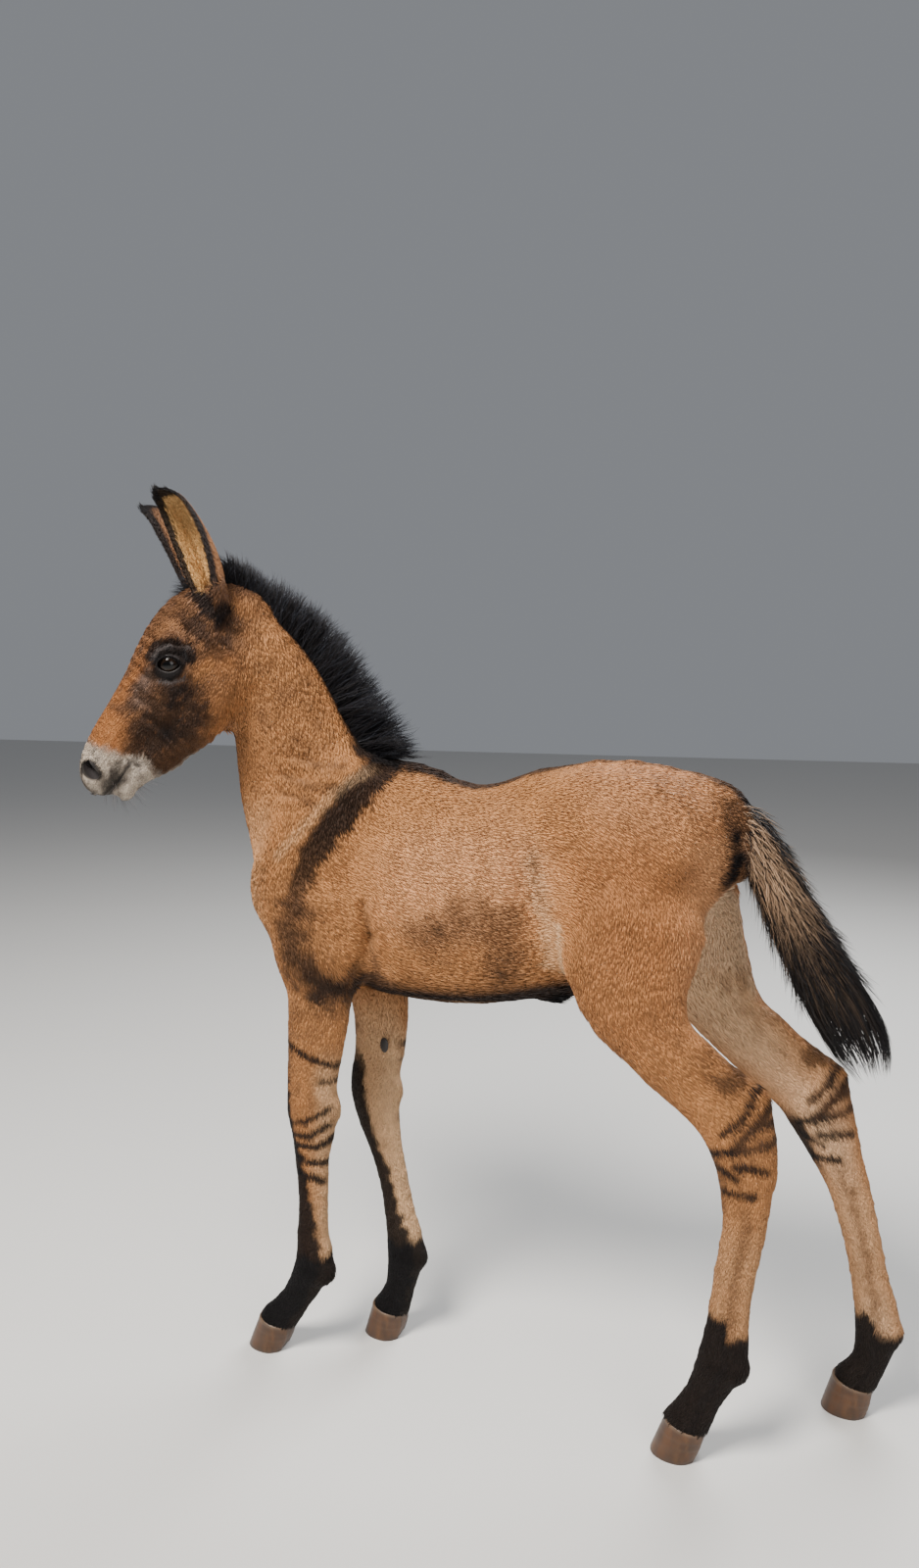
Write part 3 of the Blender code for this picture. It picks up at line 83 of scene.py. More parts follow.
EAR_LENGTH = 0.184
EAR_WIDTH = 0.06
EAR_THICKNESS = 0.0036
EAR_BASE = (0.036, 0.04, -0.004)
EAR_TIP = (-0.044, 0.068, 0.145)
EAR_FACES = (0.86, 0.48, 0.15)
EAR_FOOT = 0.014  # how far the ear's leaf starts inside the head
RIGHT_EAR_TILT = math.radians(6)  # forwards of the left one

HOOF_HALF_WIDTH = 0.031
FOOT_ZONE = 0.09  # what is lower and nearer to a coronet than this belongs to that foot

# The coat's tufts, the strands of the long hair, and the map of both.
COVER = 1.75  # how many times the tufts cover the skin
TUFT_SLENDER = 0.135  # a tuft's width, as a share of its length
TUFT_THICKNESS = 0.055
PATCH = 0.003  # a tuft's or a strand's own patch in its map
STRAND_DEPTH = 0.6  # as a share of a strand's width
MANE_LOCKS = 110
MANE_STRANDS = 52  # in each lock
POLL_STRANDS = 1300
TAIL_LOCKS = 64
TAIL_STRANDS = 72
EAR_STRANDS = 1100
WHISKERS = 120
LID_STEPS = 56

# Colours of the coat, linear.
GOLD = np.array((0.47, 0.212, 0.08))
HONEY = np.array((0.66, 0.325, 0.152))
RUST = np.array((0.41, 0.168, 0.062))
CREAM = np.array((0.66, 0.425, 0.24))
UMBER = np.array((0.165, 0.078, 0.036))
SOOT = np.array((0.0062, 0.0052, 0.006))
# A blue-grey painted sheen: sky light on the tips of the black long hair.
SKY_SHEEN = np.array((0.03, 0.034, 0.046))
ASH = np.array((0.105, 0.092, 0.09))
FACE = np.array((0.15, 0.074, 0.04))
FOX = np.array((0.4, 0.158, 0.052))
TAN = np.array((0.4, 0.255, 0.155))
EAR_LINING = np.array((0.72, 0.43, 0.175))
MEALY = np.array((0.56, 0.48, 0.39))
SKIN_DARK = np.array((0.02, 0.016, 0.016))
HORN = np.array((0.078, 0.033, 0.012))
CALLUS = np.array((0.022, 0.018, 0.017))


# Small helpers.


def collection(name):
    made = bpy.data.collections.new(name)
    bpy.context.scene.collection.children.link(made)
    return made


MODEL = collection("mule_foal_dressed")
HELPERS = collection("helpers")


def add_object(name, mesh, where=None):
    made = bpy.data.objects.new(name, mesh)
    (where or MODEL).objects.link(made)
    return made


def mesh_from(bm, name):
    bmesh.ops.recalc_face_normals(bm, faces=bm.faces)
    mesh = bpy.data.meshes.new(name)
    bm.to_mesh(mesh)
    bm.free()
    return mesh


def mesh_from_arrays(name, points, triangles):
    """A mesh straight from arrays of points and of corner numbers."""
    mesh = bpy.data.meshes.new(name)
    mesh.vertices.add(len(points))
    mesh.vertices.foreach_set("co", np.ascontiguousarray(points, np.float32).ravel())
    mesh.loops.add(len(triangles) * 3)
    mesh.loops.foreach_set("vertex_index", np.ascontiguousarray(triangles, np.int32).ravel())
    mesh.polygons.add(len(triangles))
    mesh.polygons.foreach_set("loop_start", np.arange(len(triangles), dtype=np.int32) * 3)
    mesh.update()
    mesh.validate()
    return mesh


def rows_of(items, field, width=3):
    """A field of all vertices or faces, as rows of numbers."""
    values = np.empty(len(items) * width, np.float32)
    items.foreach_get(field, values)
    return values.reshape(-1, width).astype(float)


def numbers_of(items, field, width):
    """The same for whole numbers, such as the corners of faces or the ends of edges."""
    values = np.empty(len(items) * width, np.int32)
    items.foreach_get(field, values)
    return values.reshape(-1, width)


def points_of(mesh):
    return rows_of(mesh.vertices, "co")


def move_points(mesh, points):
    mesh.vertices.foreach_set("co", points.astype(np.float32).ravel())
    mesh.update()


def put_attribute(mesh, name, kind, values, domain="POINT"):
    made = mesh.attributes.new(name, kind, domain)
    field = {"FLOAT": "value", "FLOAT_VECTOR": "vector", "FLOAT_COLOR": "color"}[kind]
    made.data.foreach_set(field, np.ascontiguousarray(values, np.float32).ravel())


def put_colours(mesh, colours):
    """Colours of the vertices, or one colour for all of them."""
    colours = np.broadcast_to(colours, (len(mesh.vertices), 3))
    put_attribute(mesh, "Coat", "FLOAT_COLOR", np.column_stack([colours, np.ones(len(colours))]))


def evaluated_mesh(thing):
    """The object's mesh with its modifiers applied, as a new mesh."""
    graph = bpy.context.evaluated_depsgraph_get()
    thing = thing.evaluated_get(graph)
    return bpy.data.meshes.new_from_object(thing, preserve_all_data_layers=True, depsgraph=graph)


def take_mesh(thing, made):
    old = thing.data
    thing.modifiers.clear()
    thing.data = made
    bpy.data.meshes.remove(old)


def apply_modifiers(thing):
    take_mesh(thing, evaluated_mesh(thing))


def metres(rows):
    """A table that is written in millimetres, with its numbers in metres."""
    if isinstance(rows, dict):
        return {name: metres(row) for name, row in rows.items()}
    if isinstance(rows, (list, tuple)):
        return tuple(metres(row) for row in rows)
    return rows / 1000


def unit(vector):
    return Vector(vector).normalized()


def squared(vector, axis):
    """The unit vector nearest to this one that is at right angles to the axis."""
    return unit(Vector(vector) - axis * Vector(vector).dot(axis))


def fade(values, start, end):
    """0 before start, 1 after end, smooth between them; start may be the larger."""
    share = np.clip((np.asarray(values, float) - start) / (end - start), 0, 1)
    return share * share * (3 - 2 * share)


def mottle(points, size, seed):
    """Soft random patches about `size` across, from 0 to 1."""
    table = np.random.default_rng(seed).random(4096)
    at = points / size
    cell = np.floor(at).astype(np.int64)
    part = at - cell
    part = part * part * (3 - 2 * part)
    total = np.zeros(len(points))
    for corner in np.ndindex(2, 2, 2):
        keys = (cell + corner) * np.array([73856093, 19349663, 83492791])
        share = np.prod(np.where(corner, part, 1 - part), axis=1)
        total += share * table[np.bitwise_xor.reduce(keys, axis=1) & 4095]
    return total


# The planes that part the head from the neck and the neck from the trunk, and the slant of the coronets.
NECK_HEAD_POINT = Vector((-0.105, -0.062, 1.12))
NECK_HEAD_NORMAL = unit((-0.74, -0.54, 0.3))
NECK_TORSO_POINT = Vector((-0.022, 0, 0.885))
NECK_TORSO_NORMAL = unit((-0.6, 0, 0.8))
CORONET_TILT = 0.2


def past_throat(points):
    """How far each point is on the head's side of the throat."""
    return (points - np.array(NECK_HEAD_POINT)) @ np.array(NECK_HEAD_NORMAL)


def on_head(points):
    return past_throat(points) > 0


# Limbs of elliptical section, and the smooth blend of many of them.


def catmull_rom(rows, steps):
    """Rows of numbers read at even steps along a smooth curve through them."""
    rows = np.asarray(rows, float)
    padded = np.vstack([2 * rows[0] - rows[1], rows, 2 * rows[-1] - rows[-2]])
    out = []
    for i in range(len(rows) - 1):
        a, b, c, d = padded[i : i + 4]
        for t in np.arange(steps) / steps:
            square = (2 * a - 5 * b + 4 * c - d) * t**2
            cube = (3 * b - a - 3 * c + d) * t**3
            out.append(0.5 * (2 * b + (c - a) * t + square + cube))
    out.append(rows[-1])
    return np.array(out)


class Limb:
    """A tapered tube. A station is x, y, z, half its width, its reach towards `facing` and its reach away."""

    def __init__(self, stations, facing, blend, steps=3):
        rows = catmull_rom(stations, steps)
        self.blend = blend
        self.start = rows[:-1, :3]
        run = rows[1:, :3] - self.start
        self.length = np.linalg.norm(run, axis=1)
        self.tangent = run / self.length[:, None]
        facing = np.asarray(facing, float)
        front = facing - (self.tangent @ facing)[:, None] * self.tangent
        self.front = front / np.linalg.norm(front, axis=1)[:, None]
        self.side = np.cross(self.front, self.tangent)
        self.sizes = rows[:, 3:]
        reach = self.sizes.max() + 0.08
        self.low = rows[:, :3].min(0) - reach
        self.high = rows[:, :3].max(0) + reach

    def near(self, points):
        return np.all((points > self.low) & (points < self.high), axis=1)

    def distance(self, points):
        """About how far each point is outside the limb, negative inside it."""
        out = np.full(len(points), 1.0)
        near = self.near(points)
        inside = points[near]
        best = np.full(len(inside), 1.0)
        for i, start in enumerate(self.start):
            offset = inside - start
            axial = offset @ self.tangent[i]
            share = np.clip(axial / self.length[i], 0, 1)
            past = axial - share * self.length[i]
            pairs = zip(self.sizes[i], self.sizes[i + 1])
            width, reach, back = ((1 - share) * a + share * b for a, b in pairs)
            across = offset @ self.side[i]
            out_front = offset @ self.front[i]
            depth = np.where(out_front > 0, reach, back)
            end = np.minimum(width, depth)
            first = np.sqrt((across / width) ** 2 + (out_front / depth) ** 2 + (past / end) ** 2)
            second = np.sqrt((across / width**2) ** 2 + (out_front / depth**2) ** 2 + (past / end**2) ** 2)
            best = np.minimum(best, first * (first - 1) / np.maximum(second, 1e-9))
        out[near] = best
        return out

    def seeds(self, bm):
        """Ellipsoids along the limb, as the rough start of its skin."""
        for i in range(len(self.start)):
            width, reach, back = self.sizes[i]
            depth = (reach + back) / 2
            centre = self.start[i] + self.front[i] * (reach - back) / 2
            along = max(min(width, depth), self.length[i])
            axes = np.column_stack([self.side[i] * width, self.front[i] * depth, self.tangent[i] * along])
            matrix = Matrix.Translation(Vector(centre)) @ Matrix(axes.tolist()).to_4x4()
            bmesh.ops.create_icosphere(bm, subdivisions=2, radius=1, matrix=matrix)


def blob(centre, radii, blend):
    """A single ellipsoid with its axes along x, y and z, as a limb of one short length."""
    x, y, z = centre
    half = max(radii[0] - min(radii[1:]), 1e-4)
    ends = [(x + way * half, y, z, radii[1], radii[2], radii[2]) for way in (-1, 1)]
    return Limb(ends, (0, 0, 1), blend, steps=1)


def smooth_union(first, second, blend):
    share = np.clip(0.5 + 0.5 * (second - first) / blend, 0, 1)
    return second * (1 - share) + first * share - blend * share * (1 - share)


def smooth_field(limbs, points):
    total = limbs[0].distance(points)
    for limb in limbs[1:]:
        total = smooth_union(total, limb.distance(points), limb.blend)
    return total


def ridge(points, start, end, width, height):
    """How far a soft ridge between two ends raises the skin at each point. A groove's height is negative."""
    start = np.asarray(start, float)
    run = np.asarray(end, float) - start
    share = np.clip((points - start) @ run / max(run @ run, 1e-12), 0, 1)
    gap = points - start - share[:, None] * run
    return height * np.exp(-(gap * gap).sum(1) / width**2)


def relief(points, rows, start=0):
    """Many ridges and grooves at once: each row has its two ends, its width and its height."""
    return sum((ridge(points, *row) for row in rows), start)


def mirrored(points):
    """The points with their second coordinate made positive, for a form that is alike on both sides."""
    out = points.copy()
    out[:, 1] = np.abs(out[:, 1])
    return out


# The torso, alike on both sides.

BARREL = (
    (-0.068, 0, 0.752, 0.05, 0.06, 0.07),
    (-0.03, 0, 0.76, 0.072, 0.12, 0.12),
    (0.02, 0, 0.765, 0.088, 0.16, 0.158),
    (0.08, 0, 0.757, 0.102, WITHERS_HEIGHT - 0.765, 0.164),
    (0.16, 0, 0.75, 0.114, WITHERS_HEIGHT - 0.772, 0.165),
    (0.24, 0, 0.752, 0.118, 0.164, 0.166),
    (0.32, 0, 0.768, 0.115, 0.156, 0.164),
    (0.39, 0, 0.795, 0.104, 0.154, 0.166),
    (0.45, 0, 0.825, 0.098, 0.134, 0.16),
    (0.51, 0, 0.84, 0.092, 0.113, 0.14),
    (0.56, 0, 0.845, 0.078, 0.092, 0.12),
    (0.585, 0, 0.85, 0.06, 0.072, 0.09),
)
SHOULDER = metres((
    (70, 56, 890, 34, 45, 50),
    (30, 70, 835, 40, 56, 60),
    (-22, 80, 772, 44, 60, 66),
    (2, 83, 712, 45, 62, 72),
    (22, 80, 660, 42, 60, 62),
))
HAUNCH = metres((
    (420, 58, 880, 40, 50, 60),
    (475, 66, 850, 52, 85, 90),
    (520, 66, 815, 54, 100, 92),
))
SHEATH = metres(((372, 0, 612), (30, 15, 16)))

# Withers, hip bones and hollows of the torso, on points folded to one side.
TORSO_RELIEF = metres((
    ((30, 0, 945), (170, 0, 935), 28, 6),
    ((375, 88, 880), (395, 92, 870), 30, 9),
    ((380, 105, 800), (372, 118, 730), 36, -11),
    ((125, 120, 690), (105, 90, 620), 26, -8),
    ((100, 105, 840), (110, 115, 760), 30, -5),
    ((-100, 0, 790), (-95, 0, 680), 20, -10),
    ((-60, 75, 770), (-55, 80, 740), 30, 6),
))

# The neck, bent to the left, from the poll to the withers and breast, and the tail's dock.
NECK = metres((
    (-108, -63, 1150, 34, 28, 60),
    (-92, -56, 1120, 44, 58, 72),
    (-64, -44, 1055, 46, 78, 78),
    (-44, -28, 988, 50, 90, 95),
    (-24, -13, 922, 58, 103, 117),
    (-6, -4, 868, 72, 114, 124),
    (24, 0, 820, 84, 115, 110),
))
DOCK = metres((
    (560, 0, 900, 34, 36, 34),
    (600, 0, 898, 29, 29, 27),
    (632, 0, 868, 24, 23, 23),
    (662, 0, 815, 20, 20, 20),
))

# The legs. Each level has half its width, its reach to the front and its reach to the back, then its place on
# the left leg and its place on the right leg.
FORE_LEVELS = metres({
    "elbow": ((40, 58, 60), (22, -81, 655), (30, 81, 655)),
    "forearm": ((36, 50, 56), (20, -77, 600), (45, 77, 600)),
    "forearm_middle": ((31, 44, 51), (10, -70, 530), (58, 68, 530)),
    "forearm_low": ((28, 42, 44), (2, -63, 470), (61, 60, 470)),
    "knee_top": ((31, 44, 38), (2, -60, 435), (59, 56, 435)),
    "knee": ((32, 44, 38), (1, -58, 405), (59, 54, 402)),
    "knee_low": ((28, 35, 35), (-2, -56, 370), (63, 52, 362)),
    "cannon_top": ((20.5, 27, 29), (-6, -54, 328), (74, 50, 318)),
    "cannon": ((18.5, 23.5, 25.5), (-6, -51, 260), (89, 48, 262)),
    "cannon_low": ((20.5, 25.5, 26.5), (-9, -48, 200), (101, 47, 203)),
    "fetlock": ((27, 30, 31), (-8, -47, 150), (111, 46, 148)),
    "pastern": ((21.5, 23.5, 25), (-40, -46, 88), (101, 45.5, 84)),
    "coronet": ((28, 29, 30), (-72, -45.5, 45), (86, 45.5, 45)),
    "hoof": ((29, 31, 31), (-84, -45.5, 26), (80, 45.5, 26)),
})
HIND_LEVELS = metres({
    "thigh": ((52, 98, 98), (500, -82, 742), (528, 82, 740)),
    "stifle": ((50, 88, 86), (492, -90, 680), (547, 90, 684)),
    "stifle_low": ((47, 72, 71), (504, -92, 632), (574, 92, 634)),
    "gaskin": ((41, 60, 52), (530, -91, 596), (606, 92, 590)),
    "gaskin_middle": ((36, 55, 45), (557, -89, 562), (641, 91, 552)),
    "gaskin_low": ((31, 50, 44), (590, -87, 530), (679, 90, 514)),
    "hock_top": ((30, 47, 55), (621, -86, 498), (716, 89, 480)),
    "hock": ((31, 45, 50), (642, -85, 462), (737, 88, 448)),
    "hock_middle": ((30, 40, 41), (652, -85, 422), (754, 87, 414)),
    "hock_low": ((26, 34, 34), (654, -85, 378), (772, 87, 374)),
    "cannon_top": ((21.5, 29, 30), (652, -86, 335), (787, 87, 333)),
    "cannon": ((20, 26, 27), (642, -87, 265), (806, 87, 262)),
    "cannon_low": ((20.5, 26.5, 27.5), (635, -88, 200), (819, 87, 200)),
    "fetlock": ((27.5, 31, 32), (630, -88, 150), (831, 87, 140)),
    "pastern": ((22, 24, 25), (606, -88, 92), (822, 87, 80)),
    "coronet": ((28.5, 29, 30), (584, -88, 46), (803, 87, 45)),
    "hoof": ((29.5, 31, 31), (572, -88, 26), (796, 87, 26)),
})
LEG_LEVELS = {"foreleg": FORE_LEVELS, "hindleg": HIND_LEVELS}
SIDES = {"left": -1, "right": 1}
LEG_JOINTS = {
    kind + "_" + side: {level: rows[number] for level, rows in LEG_LEVELS[kind].items()}
    for kind in LEG_LEVELS
    for number, side in enumerate(SIDES, 1)
}


def leg_limb(name):
    levels = LEG_LEVELS[name.split("_")[0]]
    stations = []
    for level, place in LEG_JOINTS[name].items():
        width, reach, back = levels[level][0]
        if name == "hindleg_left" and place[2] < 0.3:
            reach *= 1.1
        stations.append((*place, width, reach, back))
    return Limb(stations, (-1, 0, 0.25), 0.03, steps=2)


def leg_details(name):
    """The point of the hock or the back of the knee, and the pad behind the fetlock."""
    joints = {level: Vector(place) for level, place in LEG_JOINTS[name].items()}
    ergot = blob(joints["fetlock"] + Vector((0.018, 0, -0.012)), (0.016, 0.018, 0.018), 0.012)
    if name.startswith("fore"):
        return [ergot, blob(joints["knee"] + Vector((0.026, 0, 0.006)), (0.016, 0.018, 0.022), 0.014)]
    top = joints["hock_top"] + Vector((0.042, 0, 0.018))
    heel = joints["hock_middle"] + Vector((0.019, 0, -0.004))
    calcaneus = Limb([(*top, 0.015, 0.017, 0.017), (*heel, 0.018, 0.02, 0.018)], (-1, 0, 0), 0.018, steps=2)
    tendon_top = joints["gaskin_middle"] + Vector((0.028, 0, 0.012))
    cord = [(*tendon_top, 0.018, 0.02, 0.018), (*top, 0.013, 0.016, 0.015)]
    achilles = Limb(cord, (-1, 0, 0), 0.022, steps=2)
    return [ergot, calcaneus, achilles]


def leg_relief(name, points):
    """Joint edges, the groove before the tendons and the hollow above the hock."""
    joints = {level: np.array(place) for level, place in LEG_JOINTS[name].items()}
    side = np.array([0, SIDES[name.split("_")[1]], 0])
    rows = []
    for way in (side, -side):
        groove = way * 0.021 + np.array([0.007, 0, 0])
        rows.append((joints["cannon_top"] + groove, joints["cannon_low"] + groove, 0.008, -0.0032))
        fetlock = joints["fetlock"] + way * 0.026
        rows.append((fetlock, fetlock, 0.012, 0.0015))
    for way in (side, -side):
        if name.startswith("fore"):
            bone = joints["knee"] + way * 0.03
            rows.append((bone + (-0.012, 0, 0.018), bone + (-0.012, 0, -0.016), 0.012, 0.0025))
            continue
        hollow = joints["hock_top"] + np.array([0.016, 0, 0.024]) + way * 0.03
        rows.append((hollow, joints["gaskin_low"] + way * 0.032 + (0.022, 0, 0.02), 0.014, -0.008))
        hock = joints["hock"] + way * 0.03 + (-0.01, 0, 0)
        rows.append((joints["hock_middle"] + way * 0.029, hock, 0.014, 0.0025))
    return relief(points, rows)


# The head, in its own frame: along, side and dorsal, alike on both sides.


def head_axes():
    forward = Vector((-math.cos(HEAD_TURN), -math.sin(HEAD_TURN), 0))
    up = Vector((0, 0, 1))
    along = forward * math.cos(HEAD_DROP) - up * math.sin(HEAD_DROP)
    dorsal = forward * math.sin(HEAD_DROP) + up * math.cos(HEAD_DROP)
    return along, dorsal.cross(along) * -1, dorsal


# Carries (along, side, dorsal) of the head to the body's frame, and back.
HEAD = Matrix.Translation(POLL) @ Matrix(head_axes()).transposed().to_4x4()
FROM_HEAD = np.array(HEAD.inverted())


def into_head(points):
    return points @ FROM_HEAD[:3, :3].T + FROM_HEAD[:3, 3]


def head_place(centre, way):
    """A point given on the head's right side, on that side (1) or the other (-1), in the body's frame."""
    return HEAD @ Vector((centre[0], centre[1] * way, centre[2]))


def head_way(direction, way):
    return HEAD.to_3x3() @ Vector((direction[0], direction[1] * way, direction[2]))


# The head's limbs: their stations, and how softly each joins those before it.
HEAD_LIMBS = metres((
    (20, (  # skull
        (16, 0, -52, 36, 28, 40),
        (42, 0, -36, 47, 48, 58),
        (72, 0, -22, 56, 64, 68),
        (110, 0, -16, 61, 66, 70),
        (150, 0, -14, 57, 60, 64),
        (190, 0, -16, 46, 54, 56),
        (240, 0, -18, 38, 50, 45),
        (290, 0, -18, 34, 46, 36),
        (322, 0, -18, 34, 40, 34),
        (340, 0, -20, 31, 32, 32),
    )),
    (18, (  # jaw
        (82, 0, -78, 38, 50, 46),
        (130, 0, -78, 50, 60, 55),
        (172, 0, -78, 49, 60, 57),
        (212, 0, -75, 41, 52, 53),
        (250, 0, -68, 30, 42, 43),
        (285, 0, -60, 24, 34, 34),
        (312, 0, -58, 20, 22, 22),
    )),
    (25, (  # cheek
        (100, 35, -62, 24, 42, 50),
        (160, 34, -66, 24, 42, 48),
        (200, 26, -68, 19, 34, 40),
    )),
    (22, (  # cheek bone
        (75, 46, -18, 12, 12, 14),
        (125, 53, -24, 13, 14, 18),
        (175, 45, -28, 12, 13, 16),
        (215, 32, -30, 9, 10, 12),
    )),
    (12, (  # brow
        (118, 52, 16, 12, 10, 12),
        (148, 54, 22, 10, 9, 10),
        (172, 46, 16, 10, 10, 10),
    )),
    (10, ()),  # eye
    (14, (  # nostrils
        (300, 16, 0, 18, 18, 20),
        (334, 21, -4, 19, 18, 22),
        (344, 19, -12, 19, 18, 20),
    )),
    (14, ((318, 0, -30, 28, 20, 17), (350, 0, -30, 27, 22, 16))),  # upper lip
    (10, ((312, 0, -60, 21, 14, 15), (343, 0, -60, 22, 14, 16))),  # lower lip
))

# Hollows and edges of the head, on points in its frame folded to one side.
HEAD_RELIEF = metres((
    ((98, 52, 22), (108, 56, 14), 14, -7),
    ((225, 40, -4), (285, 34, -12), 20, -5),
    ((300, 34, -34), (262, 34, -44), 12, -3),
    ((318, 32, 22), (330, 34, 12), 10, -3),
    ((372, 0, -20), (374, 0, -50), 7, -1.5),
    ((62, 50, -40), (72, 46, -100), 14, -5),
    ((150, 62, 14), (134, 66, 6), 6, 2.2),
    ((134, 66, 6), (127, 66, -12), 6, 2.2),
    ((152, 58, 24), (128, 64, 14), 5, -2.6),
    ((128, 64, 14), (116, 66, -10), 5, -2.6),
    ((168, 64, -14), (150, 68, -30), 5, 1.6),
    ((130, 12, -150), (250, 6, -118), 14, -10),
))


def head_limbs():
    eye = blob(EYE_CENTRE, (EYE_RADIUS + LID_THICKNESS,) * 3, 0.01)
    return [Limb(rows, (0, 0, 1), blend) if rows else eye for blend, rows in HEAD_LIMBS]


# The whole flesh as one field, and its skin.


class Flesh:
    def __init__(self):
        self.torso = [
            Limb(BARREL, (0, 0, 1), 0.03, steps=2),
            Limb(SHOULDER, (-1, 0, 0), 0.045),
            Limb(HAUNCH, (-1, 0, 0), 0.05),
            blob(*SHEATH, 0.02),
        ]
        self.neck = Limb(NECK, (0.86, 0, 0.5), 0.045)
        self.legs = {name: [leg_limb(name), *leg_details(name)] for name in LEG_JOINTS}
        self.dock = Limb(DOCK, (1, 0, 0.6), 0.022)
        self.head = head_limbs()

    def body_field(self, points):
        folded = mirrored(points)
        total = smooth_field(self.torso, folded) - relief(folded, TORSO_RELIEF)
        total = smooth_union(total, self.neck.distance(points), self.neck.blend)
        total = smooth_union(total, self.dock.distance(points), self.dock.blend)
        for name, limbs in self.legs.items():
            leg = smooth_field(limbs, points) - leg_relief(name, points)
            total = smooth_union(total, leg, limbs[0].blend)
        return total

    def head_field(self, points):
        local = mirrored(into_head(points))
        return smooth_field(self.head, local) - relief(local, HEAD_RELIEF)

    def field(self, points):
        return smooth_union(self.body_field(points), self.head_field(points), 0.028)

    def seeds(self, bm):
        """The rough start of the whole skin: torso and head with their mirror images, neck, tail and legs."""
        for limb in self.torso:
            limb.seeds(bm)
        mirror_copy(bm, 0)
        for limb in (self.neck, self.dock, *(limb for limbs in self.legs.values() for limb in limbs)):
            limb.seeds(bm)
        start = len(bm.verts)
        for limb in self.head:
            limb.seeds(bm)
        mirror_copy(bm, start)
        bm.verts.ensure_lookup_table()
        bmesh.ops.transform(bm, matrix=HEAD, verts=bm.verts[start:])


def mirror_copy(bm, start):
    """Adds the mirror image, across y, of all that was made from the vertex with this number on."""
    bm.verts.ensure_lookup_table()
    fresh = bm.verts[start:]
    image = bmesh.ops.duplicate(bm, geom=[*fresh, *{face for vertex in fresh for face in vertex.link_faces}])
    for part in image["geom"]:
        if isinstance(part, bmesh.types.BMVert):
            part.co.y = -part.co.y


def modified(thing, kind, **facts):
    """Adds one modifier and applies it."""
    modifier = thing.modifiers.new(kind.lower(), kind)
    for key, value in facts.items():
        setattr(modifier, key, value)
    apply_modifiers(thing)


def remeshed(thing, voxel):
    modified(thing, "REMESH", mode="VOXEL", voxel_size=voxel)


def relaxed(thing, times):
    modified(thing, "SMOOTH", iterations=times, factor=0.5)


def is_closed(mesh):
    """Whether the mesh has faces and each of its edges has a face on both sides."""
    bm = bmesh.new()
    bm.from_mesh(mesh)
    closed = bool(bm.faces) and all(len(edge.link_faces) == 2 for edge in bm.edges)
    bm.free()
    return closed


def boolean(thing, cutter, operation):
    """Cuts or joins, with the second solver where the first leaves an open mesh, and drops the cutter."""
    for solver in ("MANIFOLD", "EXACT"):
        modifier = thing.modifiers.new(operation.lower(), "BOOLEAN")
        modifier.operation = operation
        modifier.object = cutter
        modifier.solver = solver
        made = evaluated_mesh(thing)
        thing.modifiers.clear()
        if solver == "EXACT" or is_closed(made):
            take_mesh(thing, made)
            break
        bpy.data.meshes.remove(made)
    bpy.data.objects.remove(cutter)


def keep_largest(thing):
    """Keeps the largest closed surface of the mesh and drops any scrap."""
    bm = bmesh.new()
    bm.from_mesh(thing.data)
    bmesh.ops.remove_doubles(bm, verts=bm.verts, dist=1e-6)
    left = set(bm.faces)
    shells = []
    while left:
        stack = [left.pop()]
        shell = set(stack)
        while stack:
            for edge in stack.pop().edges:
                for face in edge.link_faces:
                    if face in left:
                        left.remove(face)
                        shell.add(face)
                        stack.append(face)
        shells.append(shell)
    shells.sort(key=lambda shell: -sum(face.calc_area() for face in shell))
    scraps = [face for shell in shells[1:] for face in shell]
    bmesh.ops.delete(bm, geom=scraps, context="FACES")
    bmesh.ops.triangulate(bm, faces=bm.faces)
    bm.to_mesh(thing.data)
    bm.free()


def bridge_rings(bm, rings, close=True):
    """Quads between successive rings of vertices, and a face on each end."""
    for first, second in zip(rings, rings[1:]):
        count = len(first)
        for i in range(count):
            j = (i + 1) % count
            bm.faces.new((first[i], first[j], second[j], second[i]))
    if close:
        bm.faces.new(rings[0][::-1])
        bm.faces.new(rings[-1])


def ringed(rings, name):
    """A closed helper form from rings of points."""
    bm = bmesh.new()
    bridge_rings(bm, [[bm.verts.new(point) for point in ring] for ring in rings])
    bmesh.ops.triangulate(bm, faces=bm.faces)
    return add_object(name, mesh_from(bm, name), HELPERS)


def ball(matrix, radius, name):
    bm = bmesh.new()
    bmesh.ops.create_icosphere(bm, subdivisions=5, radius=radius, matrix=matrix)
    return add_object(name, mesh_from(bm, name), HELPERS)


# Eyes, lids, nostrils and mouth.


def eye_axes():
    out = unit(EYE_OUT)
    long = squared(EYE_LONG, out)
    return out, long, long.cross(out)


def lid_offset(angle):
    """Where the almond of the lids' opening lies at an angle, from the eye's middle."""
    _, long, high = eye_axes()
    half_long, half_high = EYE_OPENING
    across = math.cos(angle)
    rise = math.sin(angle) * (1 - 0.25 * across**2)
    rise *= 1.1 if rise > 0 else 0.9
    return long * across * half_long + high * rise * half_high


def lid_opening(way):
    """An almond-shaped plug, widening outwards, that opens the lids over the eye."""
    out = eye_axes()[0]
    angles = [2 * math.pi * k / LID_STEPS for k in range(LID_STEPS)]
    rings = [
        [head_place(Vector(EYE_CENTRE) + out * depth + lid_offset(angle) * scale, way) for angle in angles]
        for depth, scale in ((0.004, 0.8), (EYE_RADIUS, 1.0), (EYE_RADIUS + 0.012, 1.45))
    ]
    return ringed(rings, "lids_form")


def nostril(way):
    """A slanting oval hollow."""
    turn = Matrix.Rotation(math.radians(38 * way), 4, "Z") @ Matrix.Rotation(math.radians(52), 4, "Y")
    place = Matrix.Translation((NOSTRIL_CENTRE[0], NOSTRIL_CENTRE[1] * way, NOSTRIL_CENTRE[2]))
    return ball(HEAD @ place @ turn @ Matrix.Diagonal((*NOSTRIL_RADII, 1)), 1, "nostril_form")


